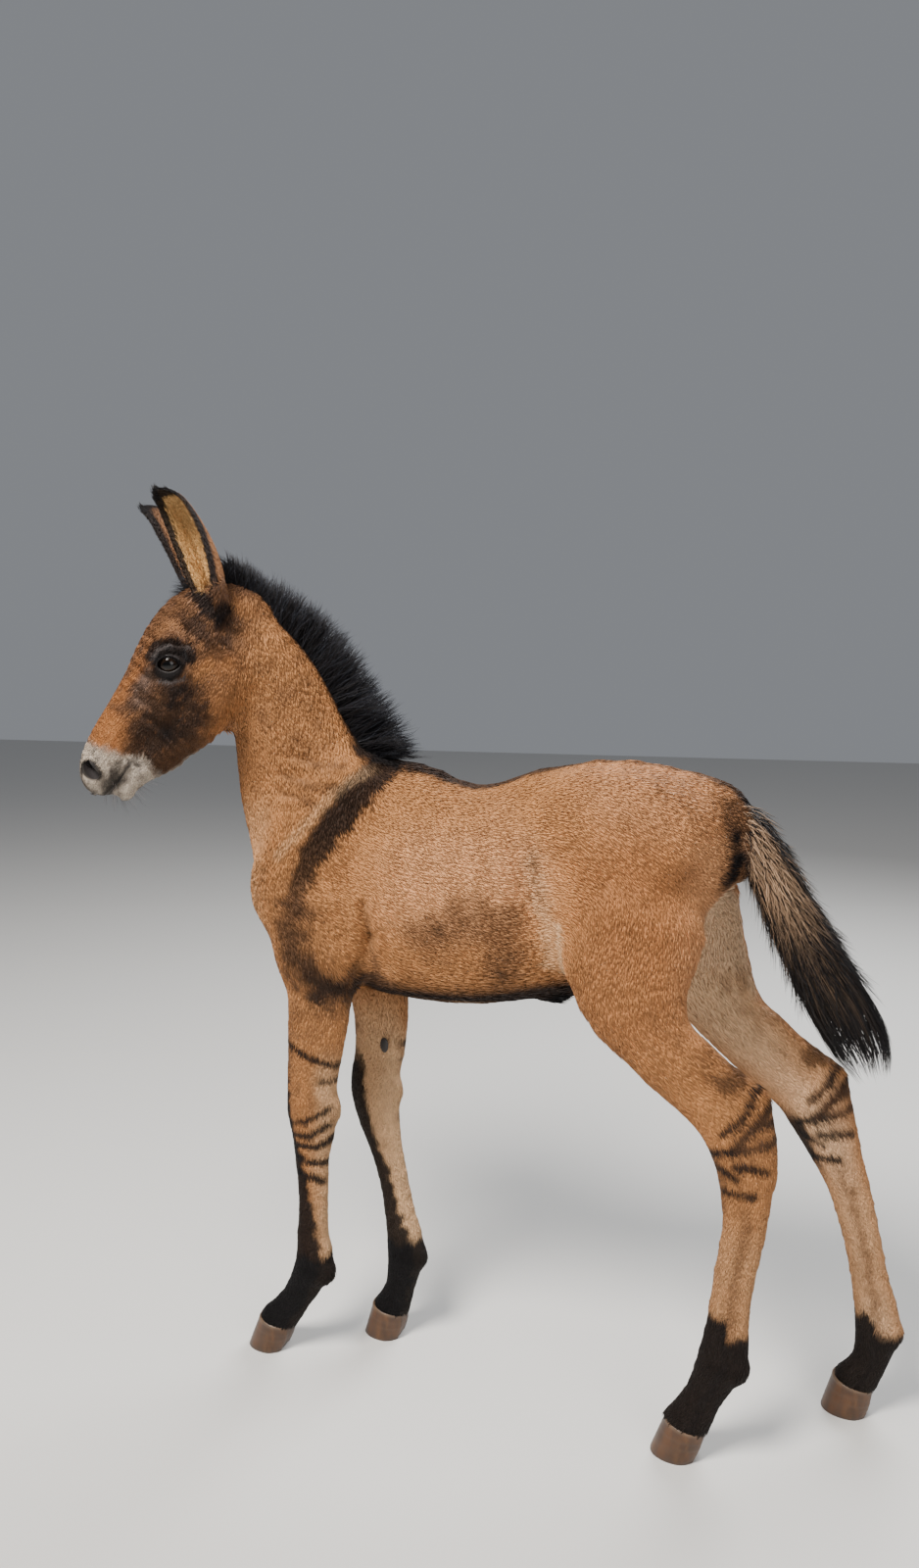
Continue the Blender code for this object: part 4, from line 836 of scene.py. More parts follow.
def muzzle_reach(flesh, angle, level):
    """How far the lips reach from the muzzle's middle, at one angle from straight ahead and one level."""
    centre = Vector((MOUTH_CORNER_ALONG + 0.012, 0, level))
    ray = Vector((math.cos(angle), math.sin(angle), 0))
    steps = np.linspace(0.005, 0.08, 76)
    points = np.array([HEAD @ (centre + ray * step) for step in steps])
    inside = flesh.head_field(points) < 0
    return centre, ray, steps[inside].max() if inside.any() else 0.02


def mouth_groove(flesh):
    """A blade bent round the muzzle that cuts the line between the lips."""
    rings = []
    for angle in np.radians(-112 + 224 * np.arange(49) / 48):
        level = MOUTH_LEVEL + 0.006 * (abs(angle) / 2.0) ** 2
        centre, ray, reach = muzzle_reach(flesh, angle, level)
        inner = centre + ray * (reach - 0.0055 * (1 - (abs(angle) / math.radians(118)) ** 4))
        outer = centre + ray * (reach + 0.006)
        corners = ((inner, -0.0003), (outer, -0.0037), (outer, 0.0007), (inner, 0.0003))
        rings.append([HEAD @ (corner + Vector((0, 0, rise))) for corner, rise in corners])
    return ringed(rings, "mouth_form")


# Mane and tail.

# The crest, from the poll to the withers: its middle line, the height of the hair, and its lean as x and z.
CREST = (
    (-0.117, -0.066, 1.209, 0.04, 0.0, 1.0),
    (-0.1, -0.057, 1.193, 0.046, 0.16, 0.99),
    (-0.078, -0.049, 1.168, 0.052, 0.3, 0.95),
    (-0.04, -0.039, 1.134, 0.062, 0.46, 0.89),
    (-0.006, -0.028, 1.09, 0.07, 0.6, 0.8),
    (0.02, -0.018, 1.043, 0.074, 0.7, 0.71),
    (0.042, -0.009, 0.998, 0.076, 0.8, 0.6),
    (0.066, -0.002, 0.966, 0.068, 0.89, 0.42),
    (0.092, 0.0, 0.953, 0.044, 0.97, 0.12),
)

# The tail's hair: its middle line, half width, reach up and reach down.
TAIL_HAIR = metres((
    (600, 0, 896, 22, 22, 22),
    (632, 0, 870, 26, 26, 26),
    (664, 0, 818, 28, 28, 28),
    (698, 0, 752, 30, 31, 33),
    (734, 0, 687, 31, 34, 37),
    (769, 0, 626, 29, 36, 40),
    (796, 0, 573, 23, 32, 33),
    (812, 0, 530, 12, 18, 18),
))


def read_rows(rows, share):
    """One row of a table of stations, at a share of the way along it, and the run of the line there."""
    def row(share):
        at = min(max(share, 0), 0.9999) * (len(rows) - 1)
        return rows[int(at)] * (1 - at % 1) + rows[int(at) + 1] * (at % 1)
    return row(share), unit(row(share + 0.02)[:3] - row(share - 0.02)[:3])


def mane_frame(rows, share):
    """At a share of the crest: its point, the hair's height, its lean, the crest's run and its right side."""
    row, run = read_rows(rows, share)
    lean = unit((row[4], 0, row[5]))
    return Vector(row[:3]), row[3], lean, run, unit(lean.cross(run))


def tail_frame(rows, share, angle):
    """A point on the tail's hair, and the way out of it and around it there."""
    row, run = read_rows(rows, share)
    up = squared((1, 0, 0.6), run)
    side = run.cross(up)
    reach = row[4] if math.cos(angle) > 0 else row[5]
    out = up * math.cos(angle) * reach + side * math.sin(angle) * row[3]
    return Vector(row[:3]), out, side * math.cos(angle) - up * math.sin(angle)


# The skin: grown, drawn finer on the head, and cut for eyes, nostrils and mouth.


def coat_depth(points):
    """How far the skin lies inside the form: less on the face and below the knees and hocks."""
    face = fade(into_head(points)[:, 0], 0.02, 0.1) * on_head(points)
    short = np.maximum(face, fade(points[:, 2], 0.46, 0.3))
    return COAT_DEPTH + (SHORT_COAT_DEPTH - COAT_DEPTH) * short


# Fine folds of the head, on points in its frame folded to one side.
HEAD_FOLDS = metres((
    ((176, 50, 4), (166, 56, -22), 3.5, -1.2),
    ((166, 56, -22), (142, 62, -36), 3.5, -1),
    ((300, 32, -50), (292, 30, -62), 4, -1.4),
    ((322, 34, -20), (308, 34, -34), 4.5, -1.3),
    ((345, 16, -66), (330, 22, -70), 4.5, -1.2),
    ((366, 6, 4), (372, 8, -20), 4, -1),
    ((190, 50, -45), (262, 38, -40), 9, 1.6),
    ((215, 44, -60), (285, 32, -58), 5, -1.2),
    ((205, 46, -10), (270, 37, -24), 4, 1),
))

# Wrinkles where the neck meets the shoulder.
NECK_WRINKLES = metres((
    ((-22, 74, 958), (56, 56, 940), 6.5, -1.4),
    ((-40, 74, 930), (60, 66, 914), 6.5, -1.6),
    ((-36, 76, 900), (30, 78, 893), 6, -1.6),
))

# The shoulder's edge, the elbow's and the flank's folds, faint ribs, the thigh and the rump's cleft.
BODY_FOLDS = metres((
    ((100, 40, 942), (14, 88, 858), 10, 2),
    ((14, 88, 858), (-46, 90, 780), 10, 1.8),
    ((104, 104, 745), (112, 102, 690), 9, -5.5),
    ((112, 102, 690), (104, 90, 620), 9, -8),
    ((160, 100, 860), (190, 120, 720), 10, -0.8),
    ((205, 98, 865), (232, 122, 720), 10, -0.9),
    ((248, 96, 865), (272, 122, 730), 10, -0.9),
    ((290, 94, 865), (310, 118, 745), 10, -0.8),
    ((372, 112, 735), (384, 100, 665), 10, -3),
    ((398, 110, 735), (402, 104, 660), 10, 2.2),
    ((92, 90, 660), (70, 100, 610), 9, -2.5),
    ((480, 125, 800), (560, 122, 700), 30, 1.5),
    ((582, 104, 800), (588, 98, 740), 30, -7.5),
    ((602, 0, 850), (606, 0, 770), 27, -34),
    ((606, 0, 770), (580, 0, 660), 29, -36),
))


def body_folds(points):
    folded = mirrored(points)
    uneven = 0.4 + 1.2 * mottle(points, 0.022, 15)
    return relief(folded, BODY_FOLDS, relief(folded, NECK_WRINKLES) * uneven)


def coronet_plane(leg, gap):
    """A point on the cut above the hoof, and its upward normal."""
    normal = unit((CORONET_TILT, 0, 1))
    return Vector(LEG_JOINTS[leg]["coronet"]) - normal * gap, normal


def each_foot(points, gap):
    """For each leg: which points belong to its foot, and how far below the coronet's cut they are."""
    for leg in LEG_JOINTS:
        end, normal = (np.array(part) for part in coronet_plane(leg, gap))
        foot = (points[:, 2] < FOOT_ZONE) & (np.linalg.norm(points[:, :2] - end[:2], axis=1) < FOOT_ZONE)
        yield foot, (end - points[foot]) @ normal


def form(flesh, points):
    """The flesh's own form, ended just inside the hooves."""
    values = flesh.field(points)
    for foot, below in each_foot(points, 0.006):
        values[foot] = np.maximum(values[foot], below)
    return values


def draw_onto(mesh, flesh, rounds, head_only=False):
    """Moves each vertex along the form's slope until it lies on its surface."""
    points = points_of(mesh)
    share = fade(past_throat(points), -0.005, 0.025)
    moved = share > 0 if head_only else np.ones(len(points), bool)
    some, share = points[moved], share[moved] if head_only else np.ones(len(points))
    step = 0.0006
    for _ in range(rounds):
        here = form(flesh, some)
        slope = np.column_stack([form(flesh, some + shift) - here for shift in np.eye(3) * step]) / step
        steep = np.maximum((slope * slope).sum(1), 0.15)
        some = some - slope * (share * np.clip(here, -0.02, 0.02) / steep)[:, None]
    points[moved] = some
    move_points(mesh, points)


def evened(mesh, times):
    """Takes out the small steps between the limbs' sections, most on the trunk, and keeps the larger form."""
    points = points_of(mesh)
    first, second = numbers_of(mesh.edges, "vertices", 2).T
    count = len(points)
    met = np.maximum(np.bincount(first, minlength=count) + np.bincount(second, minlength=count), 1)

    def spread(values, factor):
        total = np.column_stack([
            np.bincount(first, values[second, k], count) + np.bincount(second, values[first, k], count)
            for k in range(3)
        ])
        return values + (total / met[:, None] - values) * factor[:, None]

    share = 1 - 0.75 * np.maximum(fade(points[:, 2], 0.56, 0.44), on_head(points))
    smooth = points
    for _ in range(times):
        smooth = spread(smooth, 0.5 * share)
    drift = points - smooth
    for _ in range(times * 4):
        drift = spread(drift, np.full(count, 0.5))
    move_points(mesh, smooth + drift)


def made_finer(thing, chosen):
    """Splits the faces whose middles are chosen into four."""
    picked = chosen(rows_of(thing.data.polygons, "center"))
    bm = bmesh.new()
    bm.from_mesh(thing.data)
    edges = {edge for face, pick in zip(bm.faces, picked) if pick for edge in face.edges}
    bmesh.ops.subdivide_edges(bm, edges=list(edges), cuts=1, use_grid_fill=True)
    bm.to_mesh(thing.data)
    bm.free()


def finest_zone(points):
    """The surroundings of the eyes, the nostrils and the line of the mouth."""
    local = mirrored(into_head(points))
    eye = np.linalg.norm(local - np.array(EYE_CENTRE), axis=1) < 0.034
    nostril_spot = np.linalg.norm(local - np.array(NOSTRIL_CENTRE), axis=1) < 0.026
    lips = (local[:, 0] > 0.29) & (np.abs(local[:, 2] - MOUTH_LEVEL) < 0.012)
    return on_head(points) & (eye | nostril_spot | lips)


def grow_skin(flesh):
    """The skin under the coat: the flesh's form, evened out, wrinkled and set in by the coat's depth."""
    bm = bmesh.new()
    flesh.seeds(bm)
    skin = add_object("skin", mesh_from(bm, "skin"))
    remeshed(skin, SKIN_VOXEL * 2)
    draw_onto(skin.data, flesh, 3)
    relaxed(skin, 2)
    remeshed(skin, SKIN_VOXEL)
    relaxed(skin, 2)
    draw_onto(skin.data, flesh, 3)
    evened(skin.data, 12)
    made_finer(skin, on_head)
    draw_onto(skin.data, flesh, 1, head_only=True)
    relaxed(skin, 1)
    made_finer(skin, finest_zone)
    draw_onto(skin.data, flesh, 2, head_only=True)
    bm = bmesh.new()
    bm.from_mesh(skin.data)
    bmesh.ops.triangulate(bm, faces=bm.faces)
    bm.to_mesh(skin.data)
    bm.free()
    points = points_of(skin.data)
    folds = body_folds(points)
    face = on_head(points)
    folds[face] += relief(mirrored(into_head(points[face])), HEAD_FOLDS)
    points += rows_of(skin.data.vertices, "normal") * (folds - coat_depth(points))[:, None]
    move_points(skin.data, points)
    return skin


def last_inside(flesh, line):
    """The number of the last point of a line outwards that is still under the coat, or -1."""
    return np.nonzero(-form(flesh, line) > SHORT_COAT_DEPTH)[0].max(initial=-1)


def ear_station(t):
    """The ear's section at a share of its length: middle, across, way it faces, rise, radius, opening."""
    base, rise = Vector(EAR_BASE), unit(Vector(EAR_TIP) - Vector(EAR_BASE))
    faces = squared(EAR_FACES, rise)
    across = rise.cross(faces)
    half = EAR_WIDTH / 2 * (0.7 + 1.29 * t - 1.13 * t**2.6) * math.sqrt(max(0, 1 - t**16))
    opening = math.radians(128 - 74 * min(1, t * 1.15))
    radius = max(half, 0.004) / math.sin(min(opening, math.pi / 2))
    bend = 0.012 * math.sin(t * math.pi) - 0.006 * t * t
    middle = base + rise * (t * EAR_LENGTH - EAR_FOOT) - faces * bend - across * 0.01 * t**2
    return middle, across, faces, rise, radius, opening


def ear_point(t, share, depth):
    """A point of the ear's leaf: share is -1 at one rim and 1 at the other, depth is from the ear's back."""
    middle, across, faces, _, radius, opening = ear_station(t)
    angle = opening * share
    reach = max(radius - depth, 0.0012)
    return middle + across * math.sin(angle) * reach - faces * (math.cos(angle) * reach - radius * 0.4)


def ear_tilted(points, angle):
    """Points of the head's frame, tipped forwards about the foot of the ear."""
    along, dorsal = points[..., 0] - EAR_BASE[0], points[..., 2] - EAR_BASE[2]
    turned = (
        EAR_BASE[0] + along * math.cos(angle) + dorsal * math.sin(angle),
        points[..., 1],
        EAR_BASE[2] + dorsal * math.cos(angle) - along * math.sin(angle),
    )
    return np.stack(turned, axis=-1)


def ear_place(local, way):
    """A point of the ear's own form, on the left or on the right ear, which is tipped a little forwards."""
    return head_place(ear_tilted(np.array(local), RIGHT_EAR_TILT if way > 0 else 0.0), way)


def ear(way, arcs=26, rows=44):
    """A long pointed ear: a thick leaf rolled into a cup that is nearly closed at its foot."""
    rings = []
    for row in range(rows):
        t = row / (rows - 1)
        thick = EAR_THICKNESS * (1.25 - 0.5 * t) * 0.8
        outer = [ear_point(t, 2 * k / arcs - 1, 0.0004) for k in range(arcs + 1)]
        inner = [ear_point(t, 1 - 2 * k / arcs, thick) for k in range(arcs + 1)]
        rings.append([ear_place(local, way) for local in outer + inner])
    return ringed(rings, "ear_form")


def cut_features(flesh, skin):
    """Ears joined on, then sockets, lids, nostrils and the line of the mouth cut in."""
    for way in SIDES.values():
        boolean(skin, ear(way), "UNION")
        socket = Matrix.Translation(head_place(EYE_CENTRE, way))
        boolean(skin, ball(socket, EYE_RADIUS + 0.0004, "socket_form"), "DIFFERENCE")
        boolean(skin, lid_opening(way), "DIFFERENCE")
        boolean(skin, nostril(way), "DIFFERENCE")
    boolean(skin, mouth_groove(flesh), "DIFFERENCE")
    keep_largest(skin)


# Markings, and painted shade and light.


def mixed(first, second, share):
    return first + (second - first) * share


def paint(colours, tint, amount):
    """The colours with a tint over them, by each point's amount."""
    return mixed(colours, np.asarray(tint), np.clip(amount, 0, 1)[:, None])


def painter(colours):
    """A brush that lays tints over these colours where they are."""
    def lay(tint, amount):
        colours[:] = paint(colours, tint, amount)
        return colours
    return lay


def from_path(points, path):
    """How far each point is from a line through the path's corners, in as many axes as they have."""
    best = np.full(len(points), 9.0)
    for start, end in zip(path, path[1:]):
        start, run = np.array(start, float), np.array(end, float) - np.array(start, float)
        share = np.clip((points - start) @ run / max(run @ run, 1e-12), 0, 1)
        best = np.minimum(best, np.linalg.norm(points - start - share[:, None] * run, axis=1))
    return best


def off_line(flat, path):
    """The same for a path that is written in millimetres."""
    return from_path(flat, metres(path))


def from_oval(flat, middle, radii):
    """How far each point is from the middle of an oval, with 1 at its edge."""
    return np.linalg.norm((flat - middle) / radii, axis=1)


def band(points, path, half, soft=0.004):
    return fade(from_path(points, path), half + soft, half - soft)


# Dark bars of the legs, as lines of x and z seen from the side.
FORE_BARS = metres([
    ([(-30, 526), (55, 492)], 3.2),
    ([(25, 467), (55, 467)], 2.8),
    ([(-60, 388), (-23, 397), (1, 403), (34, 422)], 3),
    ([(-60, 368), (-23, 375), (7, 379), (34, 397)], 3.5),
    ([(-60, 355), (-18, 359), (18, 361), (36, 372)], 3.8),
    ([(-60, 350), (-18, 342), (0, 330), (18, 330)], 4),
    ([(-50, 324), (-12, 311), (15, 301)], 4.2),
])
HIND_BARS = metres([
    ([(662, 539), (646, 502), (623, 480)], 4.2),
    ([(681, 524), (671, 509), (652, 480), (634, 459), (608, 446)], 4.6),
    ([(700, 507), (666, 493), (652, 480)], 4.6),
    ([(690, 474), (658, 463), (634, 455)], 4.4),
    ([(640, 437), (680, 436)], 4.6),
    ([(615, 430), (626, 427), (646, 420)], 3.6),
    ([(626, 396), (668, 399)], 4.2),
])


def leg_shift(name):
    """How far this leg's knee or hock is from the one on the left, as x and z."""
    kind = name.split("_")[0]
    level = "knee" if kind == "foreleg" else "hock_middle"
    here, left = (np.array(LEG_JOINTS[leg][level]) for leg in (name, kind + "_left"))
    return (here - left)[[0, 2]]


def leg_inside(name, points, outer, inner):
    """1 on the inner side of this leg and 0 on its outer side, by the points' places across the body."""
    return fade(points[:, 1] * (1 if name.endswith("left") else -1), outer, inner)


def leg_middle(name, heights):
    """The leg's own middle in x at each height."""
    places = sorted((place[2], place[0]) for place in LEG_JOINTS[name].values())
    return np.interp(heights, [z for z, _ in places], [x for _, x in places])


def foreleg_marks(colours, points, name):
    """Bars over the forearm and knee, a black front below them, and black from the fetlock down."""
    lay = painter(colours)
    x, z = points[:, 0], points[:, 2]
    forward = leg_middle(name, z) - x
    rough = mottle(points, 0.01, 21) - 0.5
    inner = leg_inside(name, points, -0.066, -0.04)
    lay(CREAM, 0.75 * inner * fade(z, 0.62, 0.5))
    rear = fade(forward + rough * 0.01, -0.004, -0.03) * fade(z, 0.54, 0.46)
    lay(UMBER, 0.42 * fade(z, 0.53, 0.6) * (0.6 + rough))
    lay(CREAM, np.maximum(0.7 * rear, 0.45 * fade(forward, 0.004, -0.022) * fade(z, 0.46, 0.36)))
    cloud = fade(rough, 0.0, 0.4) * fade(z, 0.56, 0.5) * fade(z, 0.36, 0.44)
    lay(UMBER, 0.4 * cloud)
    lay(UMBER, 0.6 * fade(forward, 0.018, 0.036) * fade(z, 0.6, 0.48) * fade(rough, -0.2, 0.3))
    flat = points[:, [0, 2]] - leg_shift(name) + rough[:, None] * 0.0045
    outer = 1 - 0.9 * inner * name.endswith("right")
    for path, half in FORE_BARS:
        lay(SOOT, outer * 0.95 * band(flat, path, half * 1.6, 0.002))
    reach = np.interp(z, [0.18, 0.26, 0.3, 0.36, 0.46], [-0.02, -0.004, 0.004, 0.018, 0.034])
    if name.endswith("right"):
        heights = [0.16, 0.24, 0.32, 0.4, 0.46, 0.5]
        reach = np.interp(z, heights, [-0.022, -0.006, 0.0, 0.004, 0.012, 0.04])
    front = fade(forward + rough * 0.014, reach - 0.003, reach + 0.003) * fade(z, 0.5, 0.45)
    lay(SOOT, 0.96 * front)
    return lay(SOOT, 0.98 * fade(z + rough * 0.02, 0.182, 0.168))


def hindleg_marks(colours, points, name):
    """Bars round the hock, mottling above it, a brown streak down the shank, and black from there down."""
    lay = painter(colours)
    x, z = points[:, 0], points[:, 2]
    forward = leg_middle(name, z) - x
    rough = mottle(points, 0.011, 31) - 0.5
    inner = leg_inside(name, points, -0.1, -0.062)
    lay(CREAM, 0.45 * inner * fade(z + 0.06 * rough, 0.48, 0.6))
    lay(CREAM, 0.3 * fade(z, 0.4, 0.3))
    lay(UMBER, 0.4 * fade(-forward, 0.01, 0.034) * fade(z, 0.48, 0.56) * fade(rough, -0.3, 0.3))
    shifted = points[:, [0, 2]] - leg_shift(name)
    cloud = from_oval(shifted, (0.629, 0.549), (0.03, 0.027))
    lay(UMBER * 0.5, 0.85 * fade(cloud + rough * 1.3, 1.1, 0.4))
    flat = shifted + rough[:, None] * 0.006
    for path, half in HIND_BARS:
        lay(SOOT, 0.96 * band(flat, path, half * 1.35, 0.003))
    hollow = from_oval(shifted, (0.668, 0.478), (0.042, 0.04))
    lay(UMBER, 0.45 * fade(hollow + rough * 0.8, 1.15, 0.4))
    point = fade(np.linalg.norm(shifted - (0.698, 0.49), axis=1) + rough * 0.01, 0.024, 0.01)
    lay(SOOT, 0.75 * point)
    front = fade(forward + rough * 0.01, 0.02, 0.028) * fade(z, 0.47, 0.43) * fade(z, 0.34, 0.4)
    lay(SOOT, (0.95 if name.endswith("right") else 0.45) * front)
    streak = fade(np.abs(forward + 0.002 + rough * 0.012), 0.01, 0.003) * fade(z, 0.4, 0.36)
    lay(UMBER, 0.55 * streak)
    front_edge, rear_edge = (0.215, 0.196) if name.endswith("left") else (0.165, 0.142)
    edge = np.where(forward > 0, front_edge, rear_edge)
    return lay(SOOT, 0.98 * fade(z - edge + rough * 0.022, 0.006, -0.006))


# Painted shade in the creases where the neck meets the shoulder and behind the elbow, as lines of x and z
# with half their width.
SHADED_CREASES = metres([
    ([(-22, 958), (18, 946), (56, 944)], 3.4),
    ([(-40, 932), (8, 916), (60, 918)], 4),
    ([(-36, 903), (30, 893)], 3.4),
    ([(103, 745), (111, 692), (110, 645), (100, 615)], 4.5),
])
CROSS = metres([(116, 975), (106, 945), (74, 882), (29, 818), (3, 758), (-2, 715)])


def body_marks(points, normals):
    x, y, z = points.T
    side = np.abs(y)
    large, small, fine = mottle(points, 0.06, 1), mottle(points, 0.016, 2), mottle(points, 0.006, 3)
    flat = points[:, [0, 2]]
    colours = np.tile(GOLD, (len(points), 1))
    lay = painter(colours)
    lay(RUST, (0.45 + 0.5 * large) * fade(x, 0.36, 0.5) * fade(z, 0.5, 0.66))
    lay(HONEY, 0.52 * fade(x, 0.36, 0.44) * fade(z + 0.06 * (large - 0.5), 0.84, 0.93))
    ribs = from_oval(flat, (0.25, 0.79), (0.17, 0.115))
    lay(HONEY, 0.75 * fade(ribs + 0.4 * (large - 0.5), 1.1, 0.3))
    loin = from_oval(flat, (0.335, 0.815), (0.05, 0.05))
    lay(HONEY, 0.5 * fade(loin, 1.2, 0.2))
    buttock = fade(x, 0.535, 0.6) * fade(z, 0.9, 0.85) * fade(z, 0.58, 0.68)
    lay(HONEY, 0.7 * buttock)
    # Painted shadow: black in the gap under the tail and down the cleft between the buttocks.
    under_tail_shadow = fade(side, 0.076, 0.05) * fade(x, 0.59, 0.608) * fade(z, 0.76, 0.805)
    cleft_shadow = fade(side, 0.05, 0.03) * fade(x, 0.52, 0.55) * fade(z, 0.79, 0.835)
    under_tail_shadow = np.maximum(under_tail_shadow, cleft_shadow) * fade(z, 0.925, 0.9) * (0.75 + 0.5 * small)
    lay(UMBER, 0.28 * fade(small + 0.5 * large, 0.8, 1.15) * fade(x, 0.16, -0.02))
    neck = fade(z, 0.9, 0.98) * fade(x, 0.06, 0.0)
    lay(UMBER, neck * (0.22 + 0.3 * fade(small + 0.5 * fine, 0.6, 1.1)))
    chest = fade(x, -0.035, -0.075) * fade(z, 0.92, 0.86)
    lay(CREAM, 0.22 * chest)
    patch = off_line(flat, [(205, 712), (250, 735), (300, 735), (318, 690), (300, 650)])
    patch = fade(patch + 0.034 * (small - 0.5), 0.052, 0.008) * fade(side, 0.05, 0.09)
    lay(UMBER, 0.7 * patch)
    lay(SOOT, 0.6 * patch * fade(small + 0.35 * fine, 0.8, 1.08))
    pale = off_line(flat, [(350, 828), (360, 780), (374, 735), (374, 680)])
    lay(CREAM, 0.42 * fade(pale + 0.012 * (small - 0.5), 0.02, 0.004) * fade(side, 0.04, 0.07))
    # Painted shade: dark speckles along the flank's crease between the barrel and the thigh.
    flank_crease_shade = off_line(flat, [(334, 872), (350, 836), (358, 796), (366, 762)])
    flank_crease_shade = fade(flank_crease_shade + 0.014 * (small - 0.5), 0.01, 0.002) * fade(side, 0.05, 0.08)
    lay(UMBER, 0.75 * flank_crease_shade * fade(fine + 0.6 * small, 0.62, 1.0))
    # Painted shade: darker low on the trunk behind the elbows, under the body.
    armpit_shade = fade(z, 0.66, 0.6) * fade(x, 0.06, 0.12) * fade(x, 0.4, 0.3)
    lay(UMBER, 0.45 * armpit_shade)
    fold = off_line(flat, [(392, 735), (395, 665)])
    lay(CREAM, 0.85 * fade(fold, 0.0075, 0.002) * fade(side, 0.04, 0.07))
    groin = fade(side, 0.085, 0.045) * fade(x, 0.4, 0.46) * fade(z, 0.8, 0.72)
    facing = fade(-normals[:, 1] * np.sign(y), -0.05, 0.35) * fade(x, 0.44, 0.5) * fade(z, 0.86, 0.84)
    facing *= fade(z + 0.06 * (small - 0.5), 0.56, 0.68)
    groin = np.maximum(groin * fade(-normals[:, 1] * np.sign(y), -0.5, 0.1), facing)
    lay(CREAM * (1.05, 1.12, 1.25), 0.9 * groin)
    # The painted shadow under the tail and between the buttocks, laid on in black.
    lay(SOOT, 0.9 * under_tail_shadow)
    lay(UMBER, 0.12 * fade(fine, 0.55, 0.95))
    # Painted shade: black on the underside of the trunk where it faces down.
    belly_shade = fade(-normals[:, 2], 0.35, 0.8) * fade(x, 0.055, 0.09) * fade(x, 0.425, 0.4)
    belly_shade *= fade(side, 0.085, 0.055)
    lay(SOOT, 0.95 * belly_shade * fade(z, 0.66, 0.63))
    pale = fade(from_oval(flat, (0.236, 0.598), (0.035, 0.012)) + small, 1.5, 1.0)
    lay(CREAM, 0.6 * pale * fade(side, 0.045, 0.03))
    tip = np.linalg.norm(points - (0.372, 0, 0.606), axis=1)
    lay(SOOT, fade(tip, 0.034, 0.024))
    half = [0.03, 0.034, 0.026, 0.022, 0.014, 0.01, 0.018]
    half = np.interp(x, [0.0, 0.08, 0.16, 0.3, 0.42, 0.52, 0.6], half)
    stripe = fade(side + 0.012 * (small - 0.5) + 0.008 * (fine - 0.5), half + 0.008, half - 0.006)
    top = fade(normals[:, 2], 0.2, 0.6) * fade(z, 0.8, 0.86) * fade(x, -0.02, 0.03)
    strength = np.interp(x, [0.05, 0.2, 0.36, 0.46, 0.56, 0.62], [0.97, 0.92, 0.85, 0.62, 0.65, 0.95])
    lay(SOOT, strength * stripe * top)
    cross = from_path(flat, CROSS) + 0.014 * (small - 0.5) + 0.006 * (fine - 0.5)
    width = np.interp(z, [0.71, 0.76, 0.82, 0.88, 0.95], [0.006, 0.015, 0.019, 0.022, 0.026])
    depth = np.interp(z, [0.71, 0.78, 0.86], [0.4, 0.82, 0.94])
    lay(SOOT, depth * fade(cross, width + 0.007, width - 0.007) * fade(side, 0.004, 0.012))
    smudge = [(0.0, 0.735), (-0.002, 0.695), (0.014, 0.658), (0.05, 0.622), (0.088, 0.612)]
    smudge = from_path(flat, smudge) + 0.044 * (small - 0.5) + 0.014 * (fine - 0.5)
    smudge = fade(smudge, 0.052, 0.006) * fade(side, 0.05, 0.075)
    lay(UMBER, 0.55 * smudge)
    lay(SOOT, np.interp(z, [0.63, 0.72], [0.9, 0.55]) * smudge)
    # Painted shade laid along each crease.
    for path, half in SHADED_CREASES:
        crease_shade = fade(from_path(flat, path) + 0.006 * (small - 0.5), half + 0.007, half - 0.003)
        lay(UMBER * 0.7, 0.85 * crease_shade * fade(side, 0.03, 0.05) * (0.4 + 0.8 * small))
    fold = off_line(flat, [(104, 947), (52, 905), (12, 858), (-24, 820)])
    lay(CREAM, 0.3 * fade(fold, 0.013, 0.004) * fade(side, 0.03, 0.06))
    crest = fade(from_path(points, [row[:3] for row in CREST]), 0.022, 0.012)
    return lay(SOOT, 0.9 * crest)


def spot(flat, middle, radii, rough, soft=0.45):
    """1 in the middle of an oval patch, fading out at its uneven edge."""
    return fade(from_oval(flat, middle, radii) + rough, 1 + soft, 1 - soft)


